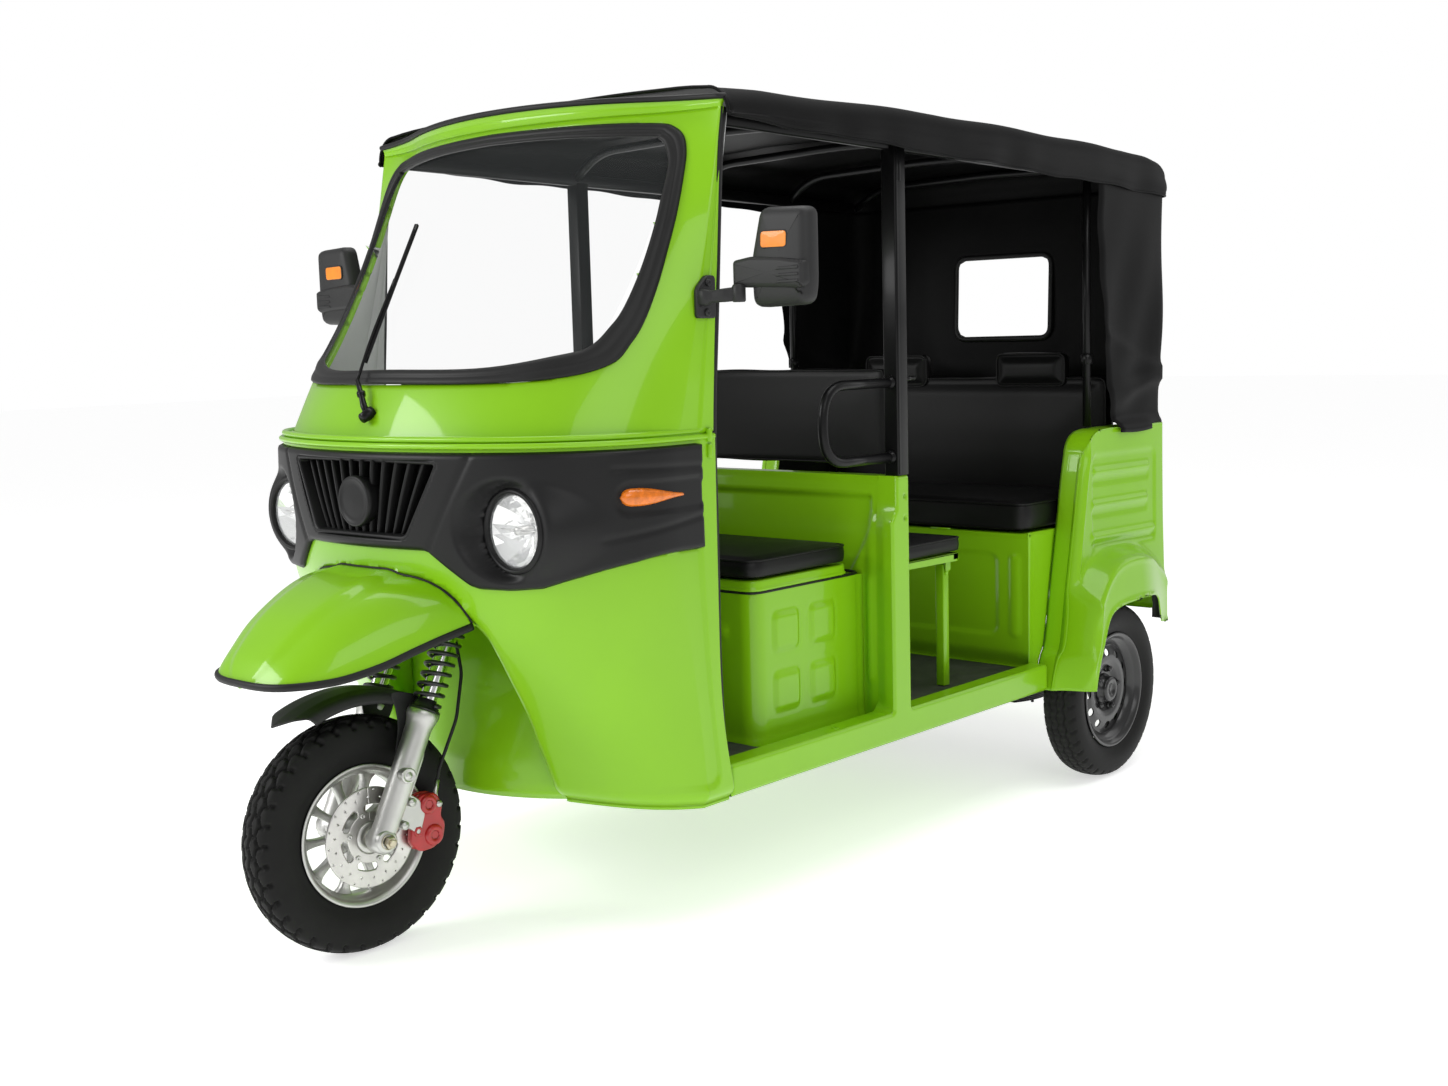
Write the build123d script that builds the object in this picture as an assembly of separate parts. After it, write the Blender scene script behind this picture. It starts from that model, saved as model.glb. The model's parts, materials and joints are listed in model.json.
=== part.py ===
from build123d import *
import math
import os

# Auto rickshaw: one steered wheel in front, two wheels behind, open sides and a fabric canopy.
# Millimetres. X points to the vehicle's left, Y to its back and Z up from the ground.
# Everything is drawn with Y counted from the front axle; export_piece() moves it to the middle.

# ---------------------------------------------------------------- driving dimensions
wheelbase = 2320
front_overhang = 272        # tip of the nose ahead of the front axle
rear_overhang = 450         # back of the canopy behind the rear axle
track = 1216                # between the middles of the rear tyres
half_width = 600            # outer face of the body sides
roof_height = 1945

front_tyre_radius = 270
front_tyre_width = 108
front_rim_radius = 160
rear_tyre_radius = 267.5
rear_tyre_width = 114
rear_rim_radius = 172
tyre_room = 50              # from the rear tyre's outer wall to the widest place of its arch

rake = 27                   # steering axis, degrees back from upright
fork_offset = 40            # axle ahead of the steering axis
leg_spacing = 214           # between the middles of the two fork legs
steer_rest = 5.3            # the vehicle is parked with its wheel turned this far to the right
slider_diameter = 60
stanchion_diameter = 34
fork_spring_diameter = 64
stem_diameter = 34
axle_diameter = 17

panel = 25                  # thickness of a hollow body wall
sheet = 12                  # thickness of a stamped panel with its flange
sill_bottom = 309
sill_top = 386
floor_top = 358
mat_thickness = 10
door_front = 619            # front edge of the driver's door opening
post_front = 1262           # B-post of the body side
post_rear = 1338
post_top = 1000
quarter_lead = 290          # from the rear axle forward to where the sill ends and the rear quarter begins
quarter_top = 1064
body_overhang = 335         # from the rear axle back to the outer face of the rear panel
canopy_wall = 8
canopy_proud = 22           # how far the canopy's sides stand out over the body's
canopy_front = 650
fit = 0.05                  # radial clearance of a shaft in its bore
seam = 0.3                  # between panels that close against each other
soft_gap = 0.4              # between a soft piece and what it rests on

middle = (wheelbase + rear_overhang - front_overhang) / 2
rear_axle_height = rear_tyre_radius
quarter_front = wheelbase - quarter_lead
body_back = wheelbase + body_overhang
canopy_half_width = half_width + canopy_proud
arch_out = track / 2 + rear_tyre_width / 2 + tyre_room     # widest place of the rear wheel arch
axle_height = front_tyre_radius
canopy_back = wheelbase + rear_overhang


# ---------------------------------------------------------------- helpers
def block(x0, x1, y0, y1, z0, z1):
    """A box between two opposite corners."""
    return Pos((x0 + x1) / 2, (y0 + y1) / 2, (z0 + z1) / 2) * Box(x1 - x0, y1 - y0, z1 - z0)


def outline_face(points, radius):
    """A closed outline with its corners rounded by radius."""
    if radius:
        return make_face(FilletPolyline(*points, radius=radius, close=True))
    return make_face(Polyline(*points, close=True))


def side_plate(points, x0, x1, radius=0):
    """An outline drawn in Y and Z, as thick as x0 to x1."""
    return extrude(Plane.YZ.offset(x0) * outline_face(points, radius), amount=x1 - x0)


def front_plate(points, y0, y1, radius=0):
    """An outline drawn in X and Z, from y0 back to y1."""
    plane = Plane(origin=(0, y1, 0), x_dir=(1, 0, 0), z_dir=(0, -1, 0))
    return extrude(plane * outline_face(points, radius), amount=y1 - y0)


def flat_plate(points, z0, z1, radius=0):
    """An outline drawn in X and Y, from z0 up to z1."""
    return extrude(Plane.XY.offset(z0) * outline_face(points, radius), amount=z1 - z0)


def rod(start, end, diameter, bore=0):
    """A round bar, or a tube where it has a bore, between two points."""
    axis = Vector(*end) - Vector(*start)
    plane = Plane(origin=start, z_dir=axis)
    bar = extrude(plane * Circle(diameter / 2), amount=axis.length)
    if bore:
        bar -= extrude(plane * Circle(bore / 2), amount=axis.length)
    return bar


def bent_tube(points, radii, diameter):
    """A round tube along straight runs joined by arcs."""
    path = FilletPolyline(*points, radius=radii)
    return sweep(Plane(origin=path @ 0, z_dir=path % 0) * Circle(diameter / 2), path=path)


def box_tube(points, width, height):
    """A square tube along the vehicle, width along X, mitred at its corners."""
    path = Polyline(*points)
    plane = Plane(origin=path @ 0, x_dir=(1, 0, 0), z_dir=path % 0)
    return sweep(plane * Rectangle(width, height), path=path, transition=Transition.RIGHT)


def both_sides(piece):
    """A piece and its mirror image, left and right."""
    return Compound(children=[*piece.solids(), *mirror(piece, about=Plane.YZ).solids()])


def turned(outline, x, y, z):
    """An outline of (distance along the axle, radius) turned about an axle along X."""
    face = make_face(Polyline(*[(along, radius) for along, radius in outline], close=True))
    return Pos(x, y, z) * revolve(face, axis=Axis.X)


def export_piece(name, piece):
    """Write one piece, moved so that the origin is on the ground under the middle."""
    export_step(Pos(0, -middle, 0) * piece, f"parts/{name}.step")


# ---------------------------------------------------------------- steering geometry
rake_sin = math.sin(math.radians(rake))
rake_cos = math.cos(math.radians(rake))
steer_foot = Vector(0, fork_offset * rake_cos, axle_height - fork_offset * rake_sin)
steer_direction = Vector(0, rake_sin, rake_cos)
steer_axis = Axis(steer_foot, steer_direction)
leg_x = leg_spacing / 2


def on_axis(distance):
    """The point of the steering axis this far above its foot."""
    return steer_foot + steer_direction * distance


def on_leg(distance, x=None):
    """The point of a fork leg this far above the wheel's axle."""
    x = leg_x if x is None else x
    return Vector(x, 0, axle_height) + steer_direction * distance


def across_axis(distance):
    """A plane square to the steering axis, this far above its foot, with its own Y pointing back."""
    return Plane(origin=on_axis(distance), x_dir=(1, 0, 0), z_dir=steer_direction)


def steered(piece):
    """A piece of the steering, turned to where the vehicle is parked."""
    return piece.rotate(steer_axis, -steer_rest)


# distances along the legs and the steering axis
slider_top = 300
lower_yoke = 500
upper_yoke = 596
yoke_thickness = 26
head_bottom = 740
head_top = 836
bar_height = 862


def steering_fork():
    """Two stanchions held by two yokes, and the stem that turns in the head tube."""
    fork = rod(on_axis(lower_yoke), on_axis(bar_height), stem_diameter)
    for side in (-1, 1):
        fork += rod(on_leg(slider_top + 0.5, side * leg_x), on_leg(upper_yoke + yoke_thickness, side * leg_x),
                    stanchion_diameter)
    for height in (lower_yoke, upper_yoke):
        arm = SlotCenterToCenter(leg_spacing, stanchion_diameter + 26)
        fork += extrude(across_axis(height) * Pos(0, -fork_offset, 0) * arm, amount=yoke_thickness)
        fork += extrude(across_axis(height) * Pos(0, -fork_offset / 2, 0)
                        * Rectangle(70, fork_offset + 50), amount=yoke_thickness)
    return fork


def fork_sliders():
    """The two lower legs, their axle lugs and the axle that joins them."""
    legs = rod((-leg_x - 42, 0, axle_height), (leg_x + 42, 0, axle_height), axle_diameter)
    for side in (-1, 1):
        x = side * leg_x
        legs += rod(on_leg(-8, x), on_leg(slider_top, x), slider_diameter)
        legs += rod((x - 28, 0, axle_height), (x + 28, 0, axle_height), 52)
        legs += rod((x + side * 28, 0, axle_height), (x + side * 44, 0, axle_height), 30)
        legs += rod(on_leg(150, x - side * 34), on_leg(150, x + side * 44), 34)
    return legs


def fork_springs():
    """The outer shape of the coil spring and its seats on each stanchion."""
    spring = extrude(Plane(origin=on_leg(slider_top + 0.5), z_dir=steer_direction)
                     * Circle(fork_spring_diameter / 2), amount=lower_yoke - slider_top - 1)
    spring -= extrude(Plane(origin=on_leg(slider_top - 5), z_dir=steer_direction)
                      * Circle(stanchion_diameter / 2 + fit), amount=lower_yoke - slider_top + 20)
    return both_sides(spring)


def handlebar():
    """A bent tube clamped on top of the stem, with a grip on each end."""
    clamp = across_axis(bar_height)
    bar_centre = on_axis(bar_height + 16)
    rise = steer_direction * 45
    back = Vector(0, rake_cos, -rake_sin) * 70
    end = Vector(330, 0, 0)
    knee = Vector(120, 0, 0)
    shoulder = Vector(200, 0, 0) + rise + back * 0.4
    tip = end + rise + back
    points = [bar_centre - Vector(tip.X, 0, 0) + rise + back, bar_centre - Vector(shoulder.X, 0, 0) + rise + back * 0.4,
              bar_centre - knee, bar_centre + knee, bar_centre + shoulder, bar_centre + tip]
    bar = bent_tube(points, [60, 60, 60, 60], 22)
    bar += extrude(clamp * Rectangle(70, 46), amount=32)
    for side in (-1, 1):
        grip_in = bar_centre + Vector(side * 232, 0, 0) + rise + back * 0.55
        grip_out = bar_centre + Vector(side * (end.X + 6), 0, 0) + rise + back * 1.03
        bar += rod(grip_in, grip_out, 34)
    return bar


mudguard_gap = 58           # between the tyre and the mudguard that turns with it
mudguard_half_width = 72


def front_mudguard():
    """An arched strip close over the tyre, with side walls, carried by the fork legs."""
    inner = front_tyre_radius + mudguard_gap
    half = mudguard_half_width
    outline = [(-half, inner - 24), (-half, inner - 6), (-half + 16, inner + 5), (half - 16, inner + 5),
               (half, inner - 6), (half, inner - 24), (half - 5, inner - 24), (half - 5, inner - 8),
               (half - 18, inner), (-half + 18, inner), (-half + 5, inner - 8), (-half + 5, inner - 24)]
    arch = turned(outline, 0, 0, axle_height)
    wedge = side_plate(
        [(0, axle_height), (-240, axle_height + 420), (0, axle_height + 500), (400, axle_height + 420)],
        -100, 100)
    stay_foot = 332
    stay = extrude(Plane(origin=on_leg(stay_foot, 0), z_dir=steer_direction) * Rectangle(40, 8),
                   amount=lower_yoke - stay_foot - seam)
    return (arch & wedge) + stay


disc_x = 63
disc_diameter = 228
disc_thickness = 4


def brake_disc():
    """A drilled disc on the left of the front hub."""
    disc = Pos(disc_x, 0, axle_height) * Rot(0, 90, 0) * Cylinder(disc_diameter / 2, disc_thickness)
    disc -= Pos(disc_x, 0, axle_height) * Rot(0, 90, 0) * Cylinder(36 + fit, disc_thickness * 2)
    for index in range(12):
        angle = math.radians(30 * index)
        for radius in (62, 96):
            disc -= Pos(disc_x, radius * math.cos(angle), axle_height + radius * math.sin(angle)) \
                * Rot(0, 90, 0) * Cylinder(5, disc_thickness * 2)
    return disc


hose_start = Vector(disc_x + 14, 168, axle_height + 62)
hose_direction = Vector(4, 14, 60).normalized()


def brake_caliper():
    """A caliper astride the disc, on a bracket from the left slider."""
    body = side_plate([(84, axle_height - 44), (126, axle_height - 60), (176, axle_height - 30), (184, axle_height + 30),
                       (150, axle_height + 72), (104, axle_height + 60)], disc_x - 12, disc_x + 30)
    body -= block(disc_x - 6, disc_x + 6, 0, disc_diameter / 2 + 6, 0, 700)
    bracket = side_plate([(40, axle_height + 50), (110, axle_height - 20), (130, axle_height + 50),
                          (70, axle_height + 110)], disc_x + 14, disc_x + 30)
    fitting = rod(hose_start - hose_direction * 16, hose_start - hose_direction * seam, 12)
    return body + bracket + fitting - rod(on_leg(-60), on_leg(240), slider_diameter + 2 * seam)


def brake_hose():
    """The hose from the caliper up behind the left leg to the lower yoke."""
    start = hose_start
    points = [start, start + hose_direction * 62, start + Vector(18, 62, 170), start + Vector(2, 96, 270),
              Vector(64, 262, axle_height + 424)]
    return bent_tube(points, [60, 120, 90], 8)


# ---------------------------------------------------------------- wheels
def tyre(x, y, z, radius, width, bead):
    """A tyre with a flat tread, rounded shoulders and bulging walls, open on the rim's side."""
    half = width / 2
    wall = radius - bead
    outline = [(-0.34 * width, bead), (-half, bead + 0.42 * wall), (-half, bead + 0.6 * wall), (-0.42 * width, radius - 12),
               (-0.3 * width, radius - 2), (0, radius), (0.3 * width, radius - 2), (0.42 * width, radius - 12),
               (half, bead + 0.6 * wall), (half, bead + 0.42 * wall), (0.34 * width, bead),
               (0.26 * width, bead + 14), (-0.26 * width, bead + 14)]
    return turned(outline, x, y, z)


def front_rim():
    """Cast rim with ten spokes, its hub and the disc's seat."""
    edge = front_rim_radius - seam
    half = 0.34 * front_tyre_width
    outline = [(-half - 9, edge), (-half - 9, edge - 16), (-half + 4, edge - 22), (half - 4, edge - 22),
               (half + 9, edge - 16), (half + 9, edge), (half, edge), (half - 8, edge - 8), (-half + 8, edge - 8),
               (-half, edge)]
    rim = turned(outline, 0, 0, axle_height)
    hub = turned([(-58, axle_diameter / 2 + fit), (-58, 26), (-40, 44), (40, 44), (54, 44), (54, 36 - fit),
                  (disc_x + 4, 36 - fit), (disc_x + 4, axle_diameter / 2 + fit)], 0, 0, axle_height)
    rim += hub
    spoke = Pos(0, 0, 90) * Box(30, 16, 100)
    for index in range(10):
        rim += Pos(0, 0, axle_height) * Rot(36 * index + 18, 0, 0) * spoke
    return rim


stub_diameter = 30


def rear_rim(x):
    """Pressed steel rim with a dished, windowed disc and its hub."""
    outward = 1 if x > 0 else -1
    edge = rear_rim_radius - seam
    half = 0.34 * rear_tyre_width
    outline = [(-half - 8, edge), (-half - 8, edge - 12), (-half + 12, edge - 34), (half - 12, edge - 34),
               (half + 8, edge - 12), (half + 8, edge), (half, edge), (half - 12, edge - 22), (-half + 12, edge - 22),
               (-half, edge)]
    rim = turned(outline, x, wheelbase, rear_axle_height)
    bore = stub_diameter / 2 + fit
    dish = turned([(outward * along, radius) for along, radius in
                   [(-20, bore), (-20, 46), (2, 60), (12, 96), (10, edge - 32), (16, edge - 32), (20, 96), (12, 56),
                    (2, 46), (30, 40), (30, bore)]], x, wheelbase, rear_axle_height)
    for index in range(8):
        angle = math.radians(45 * index + 22.5)
        dish -= Pos(x, wheelbase + 104 * math.cos(angle), rear_axle_height + 104 * math.sin(angle)) \
            * Rot(0, 90, 0) * Cylinder(15, 100)
    return rim + dish


# ---------------------------------------------------------------- front body
cheek_x = half_width - 196          # the headlamps sit here
lamp_height = 965
lamp_radius = 80
lamp_front = 150

# Outline of the front body at a few heights.
# height, y at the middle, y at the cheeks, y where the side becomes straight, y of the door edge
lower_levels = [
    (310, 330, 392, 530, 618.5),
    (520, 245, 318, 510, 582),
    (720, 108, 196, 480, 576),
    (900, 55, 145, 457, 577),
    (1142, 52, 142, 452, 579),
]
upper_levels = [
    (1142, 72, 162, 466, 579),
    (1290, 140, 240, 505, 584),
    (1570, 315, 415, 575, 608),
    (1868, 503, 590, 634, 641),
]


ledge_level = (1136, 52, 142, 452, 579)
ledge_top = (1160, 52, 142, 452, 579)


def plan_face(level, inset=0, reach=0):
    """The front body's outline at one height: nose arc, corner arcs that leave it tangent, straight sides."""
    height, nose, cheek, side, rear = level
    half = half_width - inset
    nose_arc = ThreePointArc((-cheek_x, cheek + inset), (0, nose + inset), (cheek_x, cheek + inset))
    corner_end = side + inset / 2
    left_corner = TangentArc((cheek_x, cheek + inset), (half, corner_end), tangent=nose_arc % 1)
    right_corner = mirror(left_corner, about=Plane.YZ)
    sides = Polyline((half, corner_end), (half, rear + reach), (-half, rear + reach), (-half, corner_end))
    return Plane.XY.offset(height) * make_face([nose_arc.edge(), left_corner.edge(), *sides.edges(),
                                                right_corner.edge()])


def body_loft(levels, inset=0, reach=0, below=0, above=0):
    """The front body between its first and last height, smaller all round by inset."""
    first, last = levels[0], levels[-1]
    levels = [(first[0] - below, *first[1:]), *levels[1:-1], (last[0] + above, *last[1:])]
    return loft([plan_face(level, inset, reach) for level in levels])


lower_form = body_loft(lower_levels)
upper_form = body_loft(upper_levels)

# wheel well behind the beak, drawn in Y and Z
well_half_width = 286
well_roof = 882
well_profile = [(-700, -100), (318, -100), (325, 380), (400, 700), (400, well_roof), (-700, well_roof)]
wheel_well = side_plate(well_profile, -well_half_width, well_half_width)
well_liner = side_plate(
    [(-700, -50), (318 + sheet, -50), (325 + sheet, 378), (400 + sheet, 696), (400 + sheet, well_roof + sheet),
     (-700, well_roof + sheet)],
    -well_half_width - sheet, well_half_width + sheet)

# windscreen opening seen from the front
screen_bottom = 1277
screen_top = 1850
screen_low_half = 532
screen_knee_half = 548
screen_knee = 1480
screen_top_half = 540
seal_width = 32


def screen_shape(shrink, y0=-300, y1=900):
    """The windscreen outline, smaller all round by shrink, as a prism through the front wall."""
    right = [(screen_low_half - shrink, screen_bottom + shrink), (screen_knee_half - shrink, screen_knee),
             (screen_top_half - shrink, screen_top - shrink)]
    left = [(-x, z) for x, z in reversed(right)]
    return front_plate(right + left, y0, y1, 80 - shrink / 2)


# radiator opening of the front band, seen from the front
grille_top = 1118
grille_bottom = 942
grille_top_half = 262
grille_bottom_half = 168


def grille_shape(shrink, y0=-200, y1=400):
    """The grille's outline, smaller all round by shrink."""
    points = [(-grille_bottom_half + shrink, grille_bottom + shrink), (grille_bottom_half - shrink, grille_bottom + shrink),
              (grille_top_half - shrink, grille_top - shrink), (-grille_top_half + shrink, grille_top - shrink)]
    return front_plate(points, y0, y1, 12)


def lamp_bores(radius, y0, y1):
    """Two round prisms where the headlamps sit."""
    bore = rod((cheek_x, y0, lamp_height), (cheek_x, y1, lamp_height), 2 * radius)
    return bore + mirror(bore, about=Plane.YZ)


def front_cowl():
    """Hollow front body with its pillars, windscreen opening and wheel well."""
    shell = lower_form - body_loft(lower_levels, panel, 60, 5, 5)
    shell += well_liner & lower_form
    shell -= wheel_well
    shell += upper_form - body_loft(upper_levels, panel, 60, 20, 5)
    shell += loft([plan_face(ledge_level, -2), plan_face(ledge_top, -2)]) - body_loft(lower_levels, 55, 60, 5, 30)
    shell -= screen_shape(0)
    shell -= grille_shape(0)
    shell -= lamp_bores(lamp_radius + seam, 0, 420)
    shell -= rod(on_axis(620), on_axis(760), 64)
    return shell


band_top = 1122
band_rear = 562


def front_fascia():
    """The black band round the nose, with the grille's opening and the lamps' bores."""
    band = body_loft(lower_levels, -12) - body_loft(lower_levels, -2 * seam, 60, 5, 5)
    right = [(214, 918), (317, 842), (404, 836), (half_width - 130, 842),
             (half_width - 65, 867), (half_width + 20, 904), (half_width + 20, band_top)]
    left = [(-x, z) for x, z in reversed(right)]
    band = band & front_plate(right + left, -100, band_rear)
    band -= grille_shape(0)
    return band - lamp_bores(lamp_radius + 14, 0, 420)


emblem_diameter = 116
fin_count = 13


def grille():
    """Upright fins in a frame, with a blank round boss in the middle."""
    shape = grille_shape(seam) - grille_shape(13)
    pitch = 2 * (grille_top_half - 10) / (fin_count + 1)
    for index in range(fin_count):
        x = (index - (fin_count - 1) / 2) * pitch
        shape += block(x - 5, x + 5, -50, 350, grille_bottom + 4, grille_top - 4) & grille_shape(seam)
    shape += rod((0, -50, 1022), (0, 350, 1022), emblem_diameter)
    return shape & (body_loft(lower_levels, -8) - body_loft(lower_levels, 16, 60, 5, 5))


def headlamps():
    """Two round lamps: a domed lens and a bowl behind it."""
    outline = [(0, 0), (50, 0.01), (77, 10), (lamp_radius, 14), (lamp_radius, 70), (48, 118), (0, 118)]
    face = make_face(Polyline(*[(x, y) for x, y in outline], close=True))
    lamp = Pos(cheek_x, lamp_front - 6, lamp_height) * revolve(face, axis=Axis.Y)
    return both_sides(lamp)


def turn_signals():
    """Teardrop lamps on the sides of the band."""
    drop = side_plate([(319, 1022), (345, 998), (390, 992), (470, 1004), (511, 1020), (470, 1034), (390, 1050),
                       (345, 1046)], 300, 660, 6)
    drop = drop & (body_loft(lower_levels, -24) - body_loft(lower_levels, -12 - seam, 60, 5, 5))
    return both_sides(drop)


def windscreen_glass():
    """The curved pane, inside its rubber seal."""
    pane = body_loft(upper_levels, 7) - body_loft(upper_levels, 12, 60, 20, 5)
    return pane & screen_shape(seal_width + seam, -300, 640)


def windscreen_seal():
    """The rubber frame that holds the pane in the body's opening."""
    band = body_loft(upper_levels, -6) - body_loft(upper_levels, 20, 60, 20, 5)
    return band & (screen_shape(seam, -300, 640) - screen_shape(seal_width, -300, 640))


# beak over the front wheel: y, half width, rim height, crown height
beak_sections = [
    (-front_overhang, 60, 664, 690),
    (-240, 138, 662, 736),
    (-144, 205, 672, 802),
    (0, 252, 714, 858),
    (140, well_half_width - 2 * seam, 752, well_roof - 2 * seam),
]


def beak_loft(inset):
    """The beak's outside, or its inside when inset."""
    faces = []
    for y, half, rim, crown in beak_sections:
        plane = Plane(origin=(0, y + (2 * inset if y < 0 else 0), 0), x_dir=(1, 0, 0), z_dir=(0, -1, 0))
        low = rim - (20 if inset else 0)
        arch = ThreePointArc((-half + inset, rim), (0, crown - inset), (half - inset, rim))
        base = Polyline((half - inset, rim), (half - inset, low - 0.01), (-half + inset, low - 0.01), (-half + inset, rim))
        faces.append(plane * make_face([arch.edge(), *base.edges()]))
    return loft(faces)


def nose_fender():
    """The fixed beak, open below, that leaves the front body under the band."""
    return beak_loft(0) - beak_loft(7)


def roof_front_panel():
    """The header above the windscreen, with its overhang."""
    levels = [(1868.3, 490, 577, 630, 641), (1880, 480, 572, 628, 641), (1908, 492, 586, 632, 641)]
    return body_loft(levels, -4)


def dashboard():
    """The shelf under the windscreen with a binnacle for the dial."""
    shelf = body_loft(upper_levels, panel + 0.5, 60, 20, 5) & block(-700, 700, 0, 430, 1206, 1232)
    pod = front_plate([(-120, 1232), (120, 1232), (95, 1285), (-95, 1285)], 250, 400, 8)
    return shelf + pod


wiper_pivot = Vector(0, 106, 1218)


def wiper():
    """A single arm from its spindle to the blade."""
    hub = wiper_pivot
    arm = rod(hub + Vector(0, -2, -1), hub + Vector(0, -30, -13), 26)
    arm += rod(hub + Vector(0, -16, -6), hub + Vector(-60, 6, 70), 12)
    arm += rod(hub + Vector(-60, 6, 70), hub + Vector(-95, 155, 300), 8)
    arm += rod(hub + Vector(-66, 40, 110), hub + Vector(-112, 240, 430), 12)
    return arm - body_loft(upper_levels, -seam)


def mirrors():
    """Both outside mirrors: bolted foot, arm and head."""
    foot = block(half_width + seam, half_width + 12, 528, 590, 1405, 1500)
    x = half_width
    arm = rod((x + 6, 540, 1450), (x + 90, 575, 1456), 26) + rod((x + 90, 575, 1440), (x + 90, 575, 1500), 30)
    head = front_plate([(x + 116, 1422), (x + 268, 1430), (x + 272, 1636), (x + 128, 1640), (x + 106, 1500)],
                       575, 628, 22)
    link = rod((x + 90, 575, 1490), (x + 160, 596, 1500), 24)
    return both_sides(foot + arm + link + head)


# ---------------------------------------------------------------- floor, sides and partition
rail_x = 300
rail_width = 50
rail_depth = 60
rail_low = 272
rail_high = 372
rail_back = body_back - 40


neck_diameter = 36


def neck_lines():
    """Feet and tops of the two struts that carry the steering head."""
    neck = on_axis((head_bottom + head_top) / 2)
    return [((side * 120, 510, rail_low), (side * 20, neck.Y + 34, neck.Z)) for side in (-1, 1)]


def chassis_frame():
    """Two box rails that rise over the rear axle, cross members and the steering head."""
    frame = None
    for side in (-1, 1):
        x = side * rail_x
        rail = box_tube([(x, 440, rail_low), (x, quarter_front + 20, rail_low), (x, quarter_front + 130, rail_high), (x, rail_back, rail_high)],
                        rail_width, rail_depth)
        frame = rail if frame is None else frame + rail
    for y in (465, 900, 1300, quarter_front - 230):
        frame += block(-rail_x, rail_x, y - 20, y + 20, rail_low - 20, rail_low + 20)
    for y in (wheelbase + 120, rail_back - 25):
        frame += block(-rail_x, rail_x, y - 20, y + 20, rail_high - 20, rail_high + 20)
    for foot, top in neck_lines():
        frame += rod(foot, top, neck_diameter)
    frame += block(-140, 140, 490, 530, rail_low - 20, rail_low + 20)
    frame += block(-140, -100, 440, 530, rail_low - 20, rail_low + 20)
    frame += block(100, 140, 440, 530, rail_low - 20, rail_low + 20)
    frame += rod(on_axis(head_bottom), on_axis(head_top), 52)
    return frame - rod(on_axis(head_bottom - 90), on_axis(head_top + 80), stem_diameter + 2 * fit)


def floor_pan():
    """The flat floor between the sills, on channels that lie across the chassis rails."""
    x = half_width - 62 - seam
    pan = flat_plate([(-x, 600), (-x + 118, 505), (-250, 400), (250, 400), (x - 118, 505), (x, 600), (x, quarter_front - 5),
                      (-x, quarter_front - 5)], floor_top - sheet, floor_top)
    for y in (620, 900, 1300, quarter_front - 230):
        pan += block(-x, x, y - 20, y + 20, rail_low + rail_depth / 2, floor_top - sheet)
    for foot, top in neck_lines():
        pan -= rod(foot, top, neck_diameter + 8)
    return pan


def floor_mats():
    """Rubber mats in the driver's and the passengers' footwells."""
    front = block(100 - half_width, half_width - 100, 560, 815, floor_top + seam, floor_top + mat_thickness)
    rear = block(80 - half_width, half_width - 80, post_rear + 10, quarter_front - 10, floor_top + seam, floor_top + mat_thickness)
    return Compound(children=[front, rear])


def side_frame():
    """The left body side: sill and B-post in one pressing, closed to the inside."""
    outline = [(door_front + seam, sill_bottom), (quarter_front - seam, sill_bottom), (quarter_front - seam, sill_top),
               (post_rear + 4, sill_top), (post_rear, post_top), (post_front + 16, post_top), (post_front, 420),
               (post_front - 30, sill_top), (680, sill_top), (door_front + seam, 430)]
    return side_plate(outline, half_width - 62, half_width - 4)


jump_hinge = Vector(0, 1392, 752)       # pins of the rear-facing seat
jump_back = 1712
jump_half = half_width - 100            # half width of its frame


def partition_panel():
    """The stamped wall behind the driver, with a wide recess and an upright oval on each side."""
    x = half_width - 62 - seam
    wall = block(-x, x, post_front + 22, post_rear - 6, floor_top + seam, post_top)
    wall -= front_plate([(-x + 68, 790), (x - 68, 790), (x - 33, 850), (x - 33, 945), (-x + 33, 945), (-x + 33, 850)],
                        0, post_front + 36, 30)
    oval = front_plate([(x - 38, 470), (x - 12, 470), (x - 12, 730), (x - 38, 730)], 0, post_front + 32, 12)
    bracket = block(jump_half + 19, jump_half + 29, post_rear - 6, jump_hinge.Y + 12, jump_hinge.Z - 16, jump_hinge.Z + 16)
    bracket += rod((jump_half + 29, jump_hinge.Y, jump_hinge.Z), (jump_half + 6, jump_hinge.Y, jump_hinge.Z), 12)
    return wall - oval - mirror(oval, about=Plane.YZ) + bracket + mirror(bracket, about=Plane.YZ)


def partition_backrest():
    """The black padded board between the B-pillars."""
    x = half_width - 49 - seam
    return block(-x, x, post_front + 34, post_rear - 14, 1022, 1282)


roof_line = [(canopy_front, 22), (800, 8), (1500, 0), (canopy_back - 270, 26), (canopy_back - 70, 42)]    # y, drop below the roof's top


def roof_drop(y):
    """How far the canopy's ridge lies below its highest point at this y."""
    for (y0, drop0), (y1, drop1) in zip(roof_line, roof_line[1:]):
        if y <= y1:
            return drop0 + (drop1 - drop0) * (y - y0) / (y1 - y0)
    return roof_line[-1][1]


def roof_frame():
    """Black steel tubes: B-pillars, roof rails, bows and C-pillars."""
    frame = None
    rail_x = half_width - 34
    for side in (-1, 1):
        x = side * (half_width - 27)
        parts = [
            block(x - 22, x + 22, post_front + 30, post_rear + 2, post_top + seam, 1830),
            box_tube([(side * rail_x, 660, 1850), (side * rail_x, canopy_back - 70, 1812)], 26, 34),
            rod((side * rail_x, wheelbase - 8, quarter_top + 4), (side * rail_x, wheelbase - 8, 1812), 25),
        ]
        for part in parts:
            frame = part if frame is None else frame + part
    for y in (700, 1300, wheelbase - 500, wheelbase - 20, canopy_back - 85):
        z = 1850 - 38 * (y - 660) / (canopy_back - 70 - 660)
        crown = roof_height - roof_drop(y) - canopy_wall - 12.5
        frame += bent_tube([(-rail_x, y, z), (-380, y, crown - 14), (0, y, crown), (380, y, crown - 14), (rail_x, y, z)],
                           [150, 900, 150], 25)
    return frame


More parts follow.
